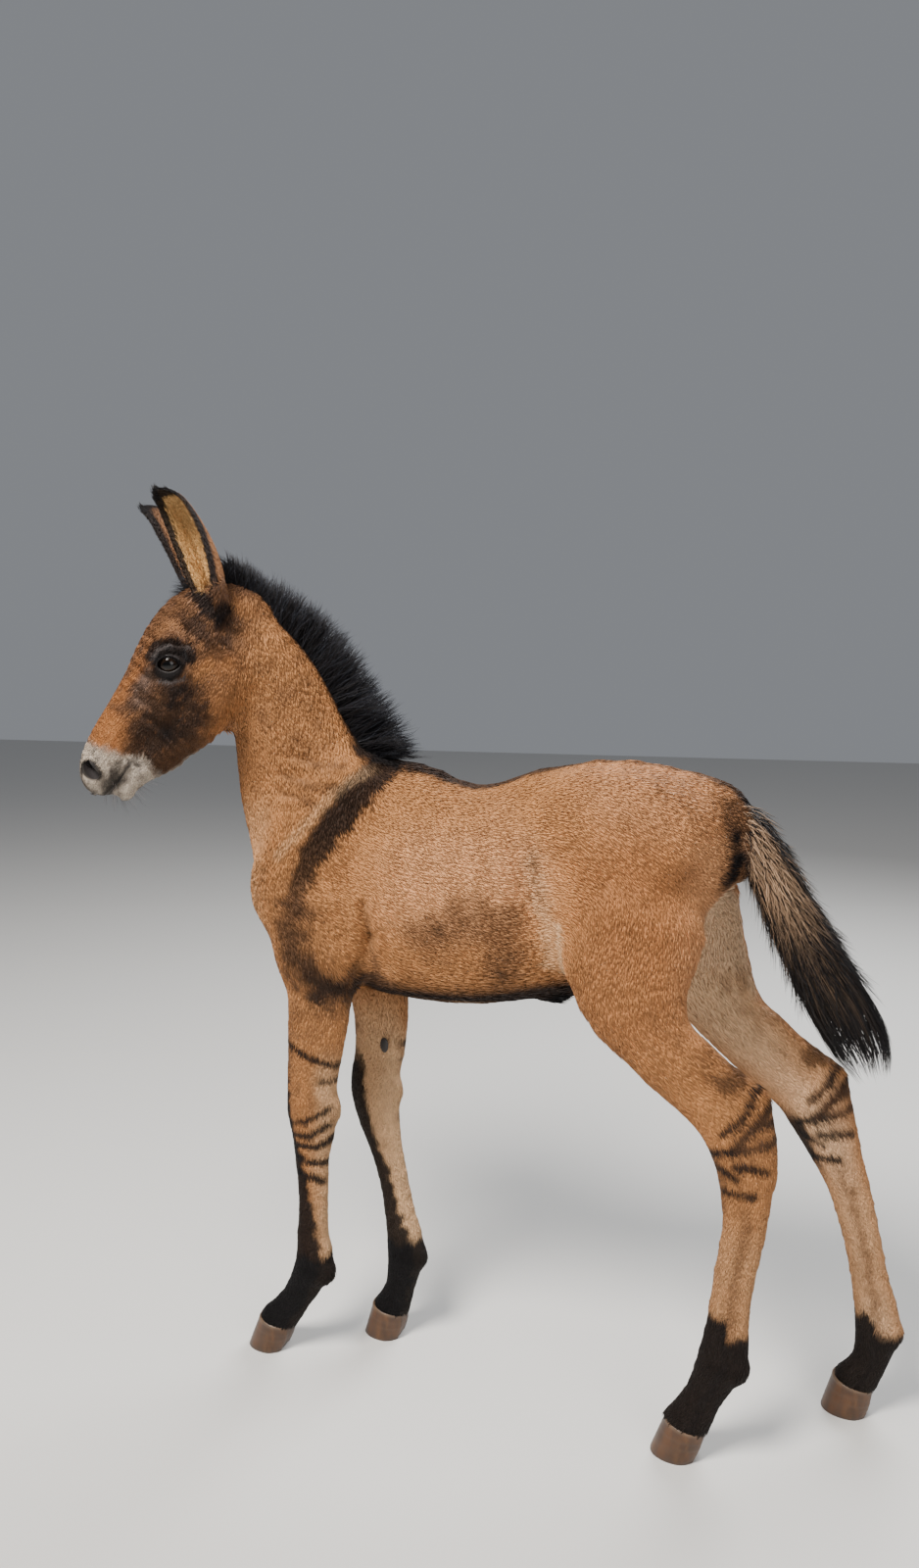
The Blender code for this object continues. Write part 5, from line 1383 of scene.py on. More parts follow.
def head_marks(local, side):
    """Colours of the head, from points in its frame with `side` as the distance from the middle plane."""
    along, _, dorsal = local.T
    flat = local[:, [0, 2]]
    small, fine = mottle(local, 0.013, 5) - 0.5, mottle(local, 0.005, 6) - 0.5
    streaks = mottle(local * (0.35, 1, 1), 0.0045, 9) - 0.5
    lateral = fade(side, 0.014, 0.028)
    colours = np.tile(FACE, (len(local), 1))
    lay = painter(colours)
    lay(GOLD, 0.34 * fade(streaks + 0.6 * small, 0.0, 0.5))
    rear = off_line(flat, [(120, -66), (150, -88), (182, -110)])
    lay(GOLD, 0.85 * fade(rear + 0.02 * small + 0.014 * streaks, 0.034, 0.01))
    lay(RUST, 0.4 * fade(rear + 0.02 * small, 0.044, 0.016))
    top = np.interp(along, [0.05, 0.12, 0.2, 0.28, 0.33], [0.026, 0.03, 0.02, 0.008, 0.0])
    bridge = fade(dorsal - top + 0.006 * streaks, -0.01, 0.006)
    fox = np.interp(along, [0.08, 0.17, 0.23], [0.3, 0.55, 0.9])
    lay(FOX, fox * bridge * fade(small + 0.5 * streaks, -0.55, 0.15))
    lay(UMBER, 0.75 * fade(along, 0.15, 0.07) * fade(small + streaks, -0.35, 0.25) * bridge)
    nose = fade(along + 0.012 * small, 0.228, 0.275) * fade(dorsal + 0.01 * small, -0.036, -0.014)
    lay(FOX, 0.92 * nose)
    lay(GOLD, 0.45 * nose * fade(streaks, -0.1, 0.4))
    ashen = off_line(flat, [(186, 8), (220, -4), (218, -20)])
    lay(ASH, 0.5 * lateral * fade(ashen + 0.012 * small, 0.02, 0.004))
    # Dark patches from the eye down over the cheek: the face's dark markings, and painted shade on the lower
    # cheek.
    for middle, radii, amount in (
        ((0.205, -0.054), (0.052, 0.04), 0.93), ((0.258, -0.056), (0.036, 0.03), 0.93),
        ((0.176, -0.028), (0.022, 0.02), 0.85), ((0.232, -0.024), (0.03, 0.014), 0.6),
        ((0.285, -0.066), (0.02, 0.022), 0.8), ((0.176, -0.038), (0.026, 0.018), 0.8),
    ):
        wide = np.array(radii) * 1.35
        uneven = 0.9 * small + 0.6 * streaks
        lay(UMBER * 0.6, 0.6 * lateral * spot(flat, middle, wide, uneven, 0.7))
        lay(SOOT, amount * lateral * spot(flat, middle, radii, uneven, 0.6))
    cheek = fade(streaks + 0.4 * small, 0.18, 0.5) * spot(flat, (0.23, -0.055), (0.055, 0.035), 0.3 * small)
    lay(RUST, 0.3 * cheek * lateral)
    # Painted shade along the underside of the jaw.
    jowl_shade = off_line(flat, [(215, -120), (262, -94), (300, -80)])
    lay(UMBER * 0.45, 0.85 * fade(jowl_shade + 0.01 * small, 0.034, 0.012))
    lay(GOLD, 0.75 * spot(flat, (0.132, -0.046), (0.017, 0.013), 0.6 * small + 0.4 * streaks))
    over = off_line(flat, [(101, 18), (114, 32), (124, 30)])
    lay(GOLD, 0.5 * fade(over + 0.016 * small + 0.012 * streaks, 0.014, 0.0) * lateral)
    brown = fade(along, 0.18, 0.13) * fade(streaks + small, -0.45, 0.25)
    lay(UMBER, 0.55 * brown * fade(along, 0.02, 0.05))
    temple = off_line(flat, [(46, 14), (56, -13), (40, -24)])
    lay(SOOT, 0.92 * fade(temple + 0.014 * small + 0.008 * streaks, 0.019, 0.007) * lateral)
    poll = off_line(flat, [(58, -30), (66, -55), (92, -30), (82, 4)])
    lay(SOOT, 0.62 * fade(poll + 0.02 * small + 0.01 * streaks, 0.022, 0.002) * lateral)
    lay(GOLD, 0.6 * spot(flat, (0.018, -0.046), (0.014, 0.02), 0.5 * small) * lateral)
    near_eye = fade(side, 0.034, 0.042)
    around = spot(flat, (EYE_CENTRE[0] - 0.001, EYE_CENTRE[2] + 0.001), (0.0285, 0.0215), 0.3 * small, 0.16)
    lay(SOOT, 0.95 * around * near_eye)
    brow = off_line(flat, [(156, 20), (138, 23), (124, 10), (117, -12), (126, -22)])
    lay(SOOT, 0.88 * fade(brow + 0.006 * small, 0.011, 0.0045) * near_eye)
    lid = off_line(flat, [(160, 19), (144, 19), (130, 10)])
    lay(ASH, 0.55 * fade(lid, 0.005, 0.002) * near_eye)
    under = off_line(flat, [(182, -6), (174, -21), (154, -34)])
    lay(ASH, 0.75 * fade(under, 0.003, 0.001) * near_eye)
    edge = np.interp(dorsal, [-0.1, -0.05, -0.02, 0.02], [0.296, 0.287, 0.299, 0.31])
    mealy = fade(along - edge + 0.016 * small + 0.006 * streaks, -0.006, 0.009)
    lay(MEALY, 0.93 * mealy)
    lay(ASH, 0.55 * mealy * fade(small + 0.6 * fine, -0.1, 0.45))
    lay(SOOT, 0.5 * mealy * fade(small + 0.6 * fine, 0.05, 0.45))
    lay(SOOT, 0.75 * mealy * spot(flat, (0.3425, -0.036), (0.016, 0.012), 0.6 * small))
    lay(SOOT, 0.7 * mealy * spot(flat, (0.32, -0.03), (0.016, 0.007), 0.6 * small))
    folded = np.column_stack([along, side, dorsal]) - NOSTRIL_CENTRE
    near = np.linalg.norm(folded / (0.9, 1, 1.25), axis=1)
    lay(SOOT, 0.95 * fade(near, 0.018, 0.0135))
    rim = fade(np.abs(near - 0.02), 0.003, 0.001) * fade(along, 0.345, 0.33)
    lay(MEALY, 0.55 * rim)
    # The line between the lips in black: dark lip skin, and painted shade along the mouth's line.
    lips = fade(np.abs(dorsal - MOUTH_LEVEL - 0.002) + 0.012 * small, 0.01, 0.002)
    lips *= fade(along, 0.292, 0.31)
    lay(SOOT, 0.86 * lips)
    chin = spot(flat, (0.333, -0.066), (0.02, 0.012), 0.5 * small)
    lay(MEALY, 0.8 * chin * (1 - lips))
    tip = fade(along, 0.36, 0.372) * fade(side, 0.024, 0.01)
    lay(SOOT, 0.6 * tip)
    # Painted highlight: a pale line of rim light along the lower edge of the jaw.
    jaw = off_line(flat, [(322, -79), (292, -97), (254, -107), (222, -122)])
    lay(MEALY, 0.45 * fade(jaw + 0.004 * small, 0.0065, 0.002))
    socket = np.linalg.norm(np.column_stack([along, side, dorsal]) - EYE_CENTRE, axis=1)
    return lay(SKIN_DARK, fade(socket, EYE_RADIUS + 0.0034, EYE_RADIUS + 0.0024))


def ear_marks(colours, local, side):
    """A brown back, a tan lining and thick black rims, on the points that belong to an ear."""
    base, tip = np.array(EAR_BASE), np.array(EAR_TIP)
    rise = (tip - base) / np.linalg.norm(tip - base)
    folded = np.column_stack([local[:, 0], side, local[:, 2]])
    right = local[:, 1] > 0
    folded[right] = ear_tilted(folded[right], -RIGHT_EAR_TILT)
    run = (folded - base) @ rise
    t = np.clip((run + EAR_FOOT) / EAR_LENGTH, 0, 1)
    level = np.linspace(0, 1, 41)
    stations = [ear_station(share) for share in level]
    rows = np.array([(*middle, radius, opening) for middle, _, _, _, radius, opening in stations])
    *middle, radius, opening = (np.interp(t, level, column) for column in rows.T)
    across, faces = (np.array(axis) for axis in stations[0][1:3])
    offset = folded - np.column_stack(middle)
    ahead = radius * 0.4 - offset @ faces
    angle = np.arctan2(offset @ across, ahead)
    reach = np.hypot(offset @ across, ahead)
    share = np.abs(angle) / opening
    inside = reach < radius - 0.0018
    small = mottle(local, 0.01, 8)
    ears = (run > 0.012) & (reach < radius + 0.006) & (share < 1.25)
    back = paint(UMBER * 1.5, GOLD, 0.45 * fade(t, 0.75, 0.2) * (0.4 + small))
    lined = paint(EAR_LINING, UMBER, 0.6 * fade(t, 0.3, 0.06))
    shades = np.where(inside[:, None], lined, back)
    shades = paint(shades, SOOT, 0.6 * np.where(inside, 0, 1) * fade(t, 0.6, 0.95))
    rim = fade(share * radius * opening - opening * radius + 0.003 * (small - 0.5), -0.0138, -0.0096)
    shades = paint(shades, SOOT, 0.97 * rim * fade(t, 0.04, 0.14))
    shades = paint(shades, SOOT, 0.97 * fade(t, 0.875, 0.905))
    blend = (ears * fade(run, 0.012, 0.026))[:, None]
    return colours * (1 - blend) + shades * blend, ears & (run > 0.02), inside


def dock_marks(colours, points):
    """The tail's root: a tan side, black above."""
    lay = painter(colours)
    x, y, z = points.T
    dock = fade(x, 0.6, 0.625) * fade(z, 0.865, 0.885)
    lay(UMBER * 1.4, 0.8 * dock)
    return lay(SOOT, dock * fade(np.abs(y), 0.02, 0.01))


# The marks of each kind of leg, with the zone's ends in x and its top.
LEG_MARKS = {"foreleg": (foreleg_marks, -0.3, 0.27, 0.6), "hindleg": (hindleg_marks, 0.42, 1.0, 0.66)}


def skin_marks(points, normals):
    """The colours of the skin and its hair, which points are an ear's, and which of those line it."""
    colours = body_marks(points, normals)
    x, y, z = points.T
    for name in LEG_JOINTS:
        marks, low, high, top = LEG_MARKS[name.split("_")[0]]
        here = (x > low) & (x < high) & (z < top) & ((y < 0) == name.endswith("left"))
        colours[here] = marks(colours[here], points[here], name)
    colours = dock_marks(colours, points)
    local = into_head(points)
    side = np.abs(local[:, 1])
    head_share = fade(past_throat(points), -0.02, 0.03)
    face = on_head(points) | (head_share > 0)
    shades = head_marks(local[face], side[face])
    colours[face] = colours[face] * (1 - head_share[face, None]) + shades * head_share[face, None]
    ears, inside = np.zeros((2, len(points)), bool)
    colours[face], ears[face], inside[face] = ear_marks(colours[face], local[face], side[face])
    return colours, ears, inside & ears


# The run, length and thickness of the coat.


def limb_run(limb, points):
    """How far each point is from the limb's middle, in shares of its girth, and the limb's run there."""
    closest = np.full(len(points), 9.0)
    run = np.zeros((len(points), 3))
    near = limb.near(points)
    inside = points[near]
    best, way = closest[near], run[near]
    for i, start in enumerate(limb.start):
        offset = inside - start
        along = np.clip(offset @ limb.tangent[i], 0, limb.length[i])
        gap = np.linalg.norm(offset - along[:, None] * limb.tangent[i], axis=1) / limb.sizes[i].mean()
        closer = gap < best
        best[closer] = gap[closer]
        way[closer] = limb.tangent[i]
    closest[near], run[near] = best, way
    return closest, run


def unit_rows(rows):
    return rows / np.maximum(np.linalg.norm(rows, axis=1), 1e-6)[:, None]


def coat_run(flesh, points, normals, ears):
    """The way the hair lies: back along the body, down the sides and legs, and down the face."""
    folded = mirrored(points)
    flow = np.zeros((len(points), 3))
    limbs = [(flesh.neck, points), (flesh.dock, points), *((limb, folded) for limb in flesh.torso[:3])]
    limbs += [(parts[0], points) for parts in flesh.legs.values()]
    for limb, place in limbs:
        gap, run = limb_run(limb, place)
        if place is folded:
            run[:, 1] *= np.sign(points[:, 1])
        flow += run * np.exp(-2.5 * gap**2)[:, None]
    local = into_head(points)
    head = fade(past_throat(points), -0.03, 0.03)
    along, _, dorsal = (np.array(axis) for axis in head_axes())
    face = along - dorsal * 0.35 * fade(local[:, 2], 0.03, -0.04)[:, None]
    flow = unit_rows(flow) * (1 - head)[:, None] + face * head[:, None]
    rise = Vector(EAR_TIP) - Vector(EAR_BASE)
    for way, belongs in ((-1, local[:, 1] < 0), (1, local[:, 1] >= 0)):
        flow[ears & belongs] = np.array(unit(head_way(rise, way)))
    barrel = fade(np.abs(normals[:, 1]), 0.25, 0.85) * fade(points[:, 2], 0.6, 0.7) * (1 - head)
    flow[:, 2] -= 0.45 * barrel
    waves = np.column_stack([mottle(points, 0.075, seed) - 0.5 for seed in (11, 12, 13)])
    flow += waves * 0.22
    flow -= normals * (flow * normals).sum(1)[:, None]
    return unit_rows(flow)


def coat_length(points, normals, ears, inside):
    local = into_head(points)
    length = np.full(len(points), 0.014)
    length += (0.009 - length) * fade(points[:, 2], 0.6, 0.44)
    face = on_head(points)
    down_face = [0.013, 0.011, 0.0094, 0.0076, 0.0056]
    length[face] = np.interp(local[face, 0], [-0.02, 0.06, 0.14, 0.27, 0.31], down_face)
    eye = np.linalg.norm(mirrored(local) - EYE_CENTRE, axis=1)
    length[face] *= np.interp(eye[face], [0.022, 0.036], [0.62, 1.0])
    under = fade(-normals[:, 2], 0.3, 0.8) * (points[:, 2] > 0.55) * ~face
    length += 0.006 * under
    back = fade(np.abs(points[:, 1]), 0.03, 0.012) * fade(normals[:, 2], 0.5, 0.9)
    back *= (points[:, 2] > 0.85) * ~face
    length += 0.005 * back
    length[ears] = 0.008
    length[inside] = 0.009
    return length


def crowd_of(length):
    """Tufts for each square metre, so that they cover the skin about twice."""
    cover = np.interp(length, [0.006, 0.014], [0.62 * COVER, COVER])
    return cover / (0.5 * length * length * TUFT_SLENDER)


# The coat's pieces, by their numbers in zone_of.
ZONES = (
    "coat_head_left", "coat_head_right", "coat_neck", "coat_shoulder_left", "coat_shoulder_right",
    "coat_quarter_left", "coat_quarter_right", "coat_foreleg_left", "coat_foreleg_right",
    "coat_hindleg_left", "coat_hindleg_right",
)


def zone_of(middles):
    """The number of the coat piece that each face belongs to."""
    x, y, z = middles.T
    zone = np.where(x < 0.25, 3, 5) + (y > 0)
    above = (middles - np.array(NECK_TORSO_POINT)) @ np.array(NECK_TORSO_NORMAL) > 0
    zone[above] = 2
    for legs, first in (((z < 0.58) & (x < 0.3), 7), ((z < 0.62) & (x > 0.4), 9)):
        zone[legs] = first + (y >= 0)[legs]
    face = on_head(middles)
    zone[face] = into_head(middles[face])[:, 1] > 0
    return zone


def tuft_mesh():
    """One tuft as a flat closed leaf with a raised middle, its root at the origin and its tip at 1 on Y."""
    bm = bmesh.new()
    root, tip = bm.verts.new((0, 0, -0.2)), bm.verts.new((0, 1, 0.3))
    left, right = bm.verts.new((-0.5, 0.42, 1.0)), bm.verts.new((0.5, 0.42, 1.0))
    for corners in ((root, right, left), (tip, left, right), (root, left, tip), (root, tip, right)):
        bm.faces.new(corners)
    mesh = mesh_from(bm, "tuft")
    points = points_of(mesh)
    put_attribute(mesh, "Tip", "FLOAT", points[:, 1])
    across, along = points[:, 0] + 0.5, points[:, 1] * 0.9 + points[:, 2] * 0.1
    local = np.column_stack([across, along, np.zeros(len(points))])
    put_attribute(mesh, "Local", "FLOAT_VECTOR", local)
    return mesh


def part_of(mesh, colours, flow, length, chosen, name):
    """The chosen faces as a mesh of their own that carries the coat's colour, run and length."""
    faces = numbers_of(mesh.loops, "vertex_index", 1).reshape(-1, 3)[chosen]
    used, numbers = np.unique(faces, return_inverse=True)
    part = mesh_from_arrays(name, points_of(mesh)[used], numbers.reshape(-1, 3))
    put_colours(part, colours[used])
    put_attribute(part, "Flow", "FLOAT_VECTOR", flow[used])
    put_attribute(part, "Long", "FLOAT", length[used])
    put_attribute(part, "Crowd", "FLOAT", crowd_of(length[used]))
    return part


def unwrap(thing, name):
    """A flat map of the object's own surface, under the given name."""
    bpy.ops.object.select_all(action="DESELECT")
    bpy.context.view_layer.objects.active = thing
    thing.select_set(True)
    bpy.ops.object.mode_set(mode="EDIT")
    bpy.ops.mesh.select_all(action="SELECT")
    bpy.ops.uv.smart_project(angle_limit=math.radians(68), island_margin=0.004)
    bpy.ops.object.mode_set(mode="OBJECT")
    thing.data.uv_layers.active.name = name


class Nodes:
    """Short ways to add nodes to a tree and link them."""

    def add(self, kind, feeds=None, **facts):
        """A new node's outputs, after its inputs are linked to other outputs or set to values."""
        node = self.tree.nodes.new(kind)
        for key, value in facts.items():
            setattr(node, key, value)
        for socket, source in (feeds or {}).items():
            if isinstance(source, bpy.types.NodeSocket):
                self.tree.links.new(source, node.inputs[socket])
            else:
                node.inputs[socket].default_value = source
        return node.outputs

    def math(self, operation, first, second):
        return self.add("ShaderNodeMath", {0: first, 1: second}, operation=operation)[0]

    def scaled(self, vector, factor):
        return self.add("ShaderNodeVectorMath", {0: vector, "Scale": factor}, operation="SCALE")[0]


class Strewing(Nodes):
    """A Geometry Nodes tree with named inputs."""

    def __init__(self, name):
        self.tree = bpy.data.node_groups.new(name, "GeometryNodeTree")
        self.sockets = {}

    def takes(self, name, kind, way="INPUT"):
        self.sockets[name] = self.tree.interface.new_socket(name, in_out=way, socket_type=kind)

    def attribute(self, name, kind):
        return self.add("GeometryNodeInputNamedAttribute", {"Name": name}, data_type=kind)["Attribute"]

    def between(self, low, high, seed):
        return self.add("FunctionNodeRandomValue", {2: low, 3: high, "Seed": seed}, data_type="FLOAT")[1]

    def vector(self, operation, first, second):
        return self.add("ShaderNodeVectorMath", {0: first, 1: second}, operation=operation)[0]

    def xyz(self, x, y, z):
        return self.add("ShaderNodeCombineXYZ", {0: x, 1: y, 2: z})[0]


# What the tree is given besides the seed: how tufts stand off and stray, their shape and their patch.
TUFT_FACTS = {
    "Lift": 0.06, "Stray": 0.2, "Slenderness": TUFT_SLENDER, "Thickness": TUFT_THICKNESS, "Patch": PATCH,
}


def coat_tree(tuft, finish):
    """Tufts strewn over a patch of skin, each lying along the hair's run and coloured as its root."""
    kit = Strewing("Coat Tufts")
    kit.takes("Geometry", "NodeSocketGeometry")
    kit.takes("Geometry", "NodeSocketGeometry", "OUTPUT")
    kit.takes("Seed", "NodeSocketInt")
    for name in TUFT_FACTS:
        kit.takes(name, "NodeSocketFloat")
    given = kit.add("NodeGroupInput")
    seed = given["Seed"]
    crowd = {"Mesh": given["Geometry"], "Density": kit.attribute("Crowd", "FLOAT"), "Seed": seed}
    strewn = kit.add("GeometryNodeDistributePointsOnFaces", crowd, distribute_method="RANDOM")
    lying = {0: strewn["Normal"], 1: kit.attribute("Flow", "FLOAT_VECTOR")}
    lying = kit.add("FunctionNodeAxesToRotation", lying, primary_axis="Z", secondary_axis="Y")[0]
    stray = kit.math("MULTIPLY", given["Stray"], kit.between(-1.0, 1.0, seed))
    lift = kit.math("MULTIPLY", given["Lift"], kit.between(0.2, 1.6, kit.math("ADD", seed, 5.0)))
    turn = {0: lying, 1: kit.xyz(lift, 0.0, stray)}
    turned = kit.add("FunctionNodeRotateRotation", turn, rotation_space="LOCAL")
    shade = kit.between(0.0, 1.0, kit.math("ADD", seed, 9.0))
    shade = {"Geometry": strewn["Points"], "Name": "Shade", "Value": shade}
    rooted = kit.add("GeometryNodeStoreNamedAttribute", shade, data_type="FLOAT", domain="POINT")
    uneven = kit.between(0.75, 1.3, kit.math("ADD", seed, 2.0))
    long = kit.math("MULTIPLY", kit.attribute("Long", "FLOAT"), uneven)
    wide = kit.math("MULTIPLY", long, given["Slenderness"])
    thick = kit.math("MULTIPLY", long, given["Thickness"])
    shape = kit.add("GeometryNodeObjectInfo", {"Object": tuft})["Geometry"]
    placed = kit.add("GeometryNodeInstanceOnPoints", {
        "Points": rooted[0], "Instance": shape, "Rotation": turned[0], "Scale": kit.xyz(wide, long, thick),
    })
    real = kit.add("GeometryNodeRealizeInstances", {"Geometry": placed[0]})
    centred = kit.vector("SUBTRACT", kit.attribute("Local", "FLOAT_VECTOR"), (0.5, 0.5, 0.0))
    place = kit.vector("ADD", kit.attribute("Root", "FLOAT_VECTOR"), kit.scaled(centred, given["Patch"]))
    patch = {"Geometry": real[0], "Name": "OFBake", "Value": place}
    mapped = kit.add("GeometryNodeStoreNamedAttribute", patch, data_type="FLOAT2", domain="CORNER")
    worn = kit.add("GeometryNodeSetMaterial", {"Geometry": mapped[0], "Material": finish})
    kit.add("NodeGroupOutput", {"Geometry": worn[0]})
    return kit


def bare_faces(middles):
    """Faces without fur: round the eyes, in the nostrils, between the lips and inside the hooves."""
    local = mirrored(into_head(middles))
    bare = np.linalg.norm(local - EYE_CENTRE, axis=1) < EYE_RADIUS + 0.0045
    bare |= np.linalg.norm((local - NOSTRIL_CENTRE) / (0.017, 0.01, 0.017), axis=1) < 1
    bare |= (np.abs(local[:, 2] - MOUTH_LEVEL - 0.001) < 0.0022) & (local[:, 0] > MOUTH_CORNER_ALONG)
    for foot, below in each_foot(middles, 0):
        bare[foot] |= below > -0.0035
    return bare


def grow_coat(skin, flesh, colours, ears, inside, finish):
    """One coat piece for each zone of the skin."""
    points, normals = points_of(skin.data), rows_of(skin.data.vertices, "normal")
    flow = coat_run(flesh, points, normals, ears)
    length = coat_length(points, normals, ears, inside)
    middles = rows_of(skin.data.polygons, "center")
    zones = zone_of(middles)
    zones[bare_faces(middles)] = -1
    tuft = add_object("tuft_form", tuft_mesh(), HELPERS)
    kit = coat_tree(tuft, finish)
    pieces = []
    for number, name in enumerate(ZONES):
        part = part_of(skin.data, colours, flow, length, zones == number, name)
        piece = add_object(name, part)
        unwrap(piece, "Root")
        modifier = piece.modifiers.new("tufts", "NODES")
        modifier.node_group = kit.tree
        for key, value in {"Seed": SEED + number, **TUFT_FACTS}.items():
            modifier[kit.sockets[key].identifier] = value
        apply_modifiers(piece)
        for spare in ("Flow", "Long", "Crowd", "Root", "Local"):
            if spare in piece.data.attributes:
                piece.data.attributes.remove(piece.data.attributes[spare])
        piece.data.shade_smooth()
        pieces.append(piece)
    bpy.data.objects.remove(tuft)
    return pieces


# Strands: mane, forelock, tail, the ears' hair, lashes and whiskers.


def strand_triangles(steps):
    """The corner numbers of one three-sided strand with this many steps, closed at its root and its tip."""
    triangles = [(0, 2, 1)]
    for i in range(steps - 2):
        for k in range(3):
            a, b = 3 * i + k, 3 * i + (k + 1) % 3
            triangles += [(a, b, b + 3), (a, b + 3, a + 3)]
    last = 3 * (steps - 2)
    return np.array(triangles + [(last + k, last + (k + 1) % 3, last + 3) for k in range(3)])


class Strands:
    """Gathers tapered three-sided strands, then makes one piece of them."""

    def __init__(self):
        self.rows = []

    def add(self, path, side, width, root, tip, place):
        """One strand: its line, the way it is wide, its width and colours, and its root on a flat map."""
        self.rows.append([np.array(part, float) for part in (path, side, width, root, tip, place)])

    def made(self, name):
        paths, across, widths, roots, tips, places = (np.array(part) for part in zip(*self.rows))
        count, steps, _ = paths.shape
        run = np.gradient(paths, axis=1)
        run /= np.maximum(np.linalg.norm(run, axis=2), 1e-9)[..., None]
        side = across[:, None, :] - run * (across[:, None, :] * run).sum(2)[..., None]
        side /= np.maximum(np.linalg.norm(side, axis=2), 1e-9)[..., None]
        lift = np.cross(run, side)
        along = np.linspace(0, 1, steps)
        taper = (1 - 0.75 * along**1.6)[:-1]
        rings = []
        for angle in (math.pi / 2, math.pi * 7 / 6, math.pi * 11 / 6):
            offset = side * math.cos(angle) + lift * math.sin(angle) * STRAND_DEPTH
            rings.append(paths[:, :-1] + offset[:, :-1] * (widths[:, None] * taper / 2)[..., None])
        body = np.stack(rings, axis=2).reshape(count, -1, 3)
        points = np.concatenate([body, paths[:, -1:]], axis=1)
        size = points.shape[1]
        triangles = (strand_triangles(steps) + size * np.arange(count)[:, None, None]).reshape(-1, 3)
        mesh = mesh_from_arrays(name, points.reshape(-1, 3), triangles)
        level = np.append(np.repeat(along[:-1], 3), 1.0)
        colours = roots[:, None] * (1 - level[:, None]) + tips[:, None] * level[:, None]
        put_colours(mesh, colours.reshape(-1, 3))
        put_attribute(mesh, "Tip", "FLOAT", np.tile(level, count))
        put_attribute(mesh, "Shade", "FLOAT", np.repeat(np.random.default_rng(SEED).random(count), size))
        local = np.column_stack([np.append(np.tile([0.5, 0.15, 0.85], steps - 1), 0.5), 0.1 + 0.8 * level])
        uv = (np.clip(places, 0.004, 0.996)[:, None] + (local[None] - 0.5) * PATCH).reshape(-1, 2)
        corners = numbers_of(mesh.loops, "vertex_index", 1).ravel()
        layer = mesh.uv_layers.new(name="OFBake")
        layer.uv.foreach_set("vector", uv[corners].astype(np.float32).ravel())
        mesh.shade_smooth()
        return add_object(name, mesh)


def mane(name):
    """Upright locks of fine strands along the crest, dark, with a painted blue-grey sheen of sky light on
    tips here and there.
    """
    draw = np.random.default_rng(SEED + 1)
    rows = catmull_rom(CREST, 3)
    t = np.linspace(0, 1, 6)[:, None]
    hair = Strands()
    for i in range(MANE_LOCKS):
        share = (i + draw.random()) / MANE_LOCKS
        point, height, lean, run, side = (np.array(part) for part in mane_frame(rows, share))
        row = (-1, 0, 1, 0)[i % 4]
        aim = lean + side * (row * 0.24 + draw.normal(0, 0.08)) + run * draw.normal(0.04, 0.09)
        tip = point + side * row * 0.004 + aim * height * (0.93 + 0.14 * draw.random())
        hue = draw.random()
        for _ in range(MANE_STRANDS):
            root = point + run * draw.normal(0, 0.0095)
            root = root + side * np.clip(draw.normal(row * 0.0045, 0.0042), -0.011, 0.011) - lean * 0.01
            long = 1.08 - 0.5 * draw.random() ** 1.6
            end = tip + run * draw.normal(0, 0.01) + side * draw.normal(0, 0.0065)
            end = root + (end - root) * long
            sway = side * draw.normal(0, 0.0024) + run * draw.normal(0, 0.003)
            curl = sway * np.sin(t * math.pi * 2 + draw.random() * 6)
            bend = run * 0.006 * draw.random() * t**2
            path = root + (end - root) * t + curl * t + bend
            width = 0.0011 + 0.0008 * draw.random()
            # Painted reflection: some tips turned blue-grey, as sky light on black hair.
            ashen = np.clip(draw.random() * 1.5 - 0.65 + 0.3 * (hue - 0.5), 0, 0.9)
            place = (0.02 + 0.96 * share, 0.5 + 0.4 * row + draw.normal(0, 0.02))
            hair.add(path, run, width, SOOT, mixed(SOOT, SKY_SHEEN, ashen), place)
    return hair.made(name)


def poll_hair(name):
    """The forelock between the ears and the short upright hair behind it."""
    draw = np.random.default_rng(SEED + 2)
    t = np.linspace(0, 1, 6)[:, None]
    hair = Strands()
    for i in range(POLL_STRANDS):
        share = (i + draw.random()) / POLL_STRANDS
        fore = max(0.0, 1 - share * 2.6)
        across = draw.normal(0, 0.0095 * fore + 0.005 * (1 - fore))
        root = np.array((0.052 - 0.07 * share, np.clip(across, -0.019, 0.019), 0.014 - 0.042 * share))
        aim = np.array((0.1 + 0.75 * fore, 5 * across * (0.4 + fore), 1.0)) + draw.normal(0, 0.13, 3)
        long = (0.046 + 0.012 * (1 - fore)) * (0.7 + 0.45 * draw.random())
        aim = aim / np.linalg.norm(aim) * long
        droop = np.array((0.016 * fore, 0, -0.01 * fore)) + draw.normal(0, 0.0022, 3)
        line = root + aim * t + droop * t**2 + draw.normal(0, 0.0012, 3) * np.sin(t * 7)
        path = [HEAD @ Vector(point) for point in line]
        width = 0.001 + 0.0006 * draw.random()
        # Painted reflection: some forelock tips blue-grey, as sky light on black hair.
        tip = mixed(SOOT, SKY_SHEEN, np.clip(draw.random() * 1.4 - 0.7, 0, 0.8))
        hair.add(path, head_way((0, 1, 0), 1), width, SOOT, tip, (0.03 + 0.94 * share, 0.5 + across * 18))
    return hair.made(name)


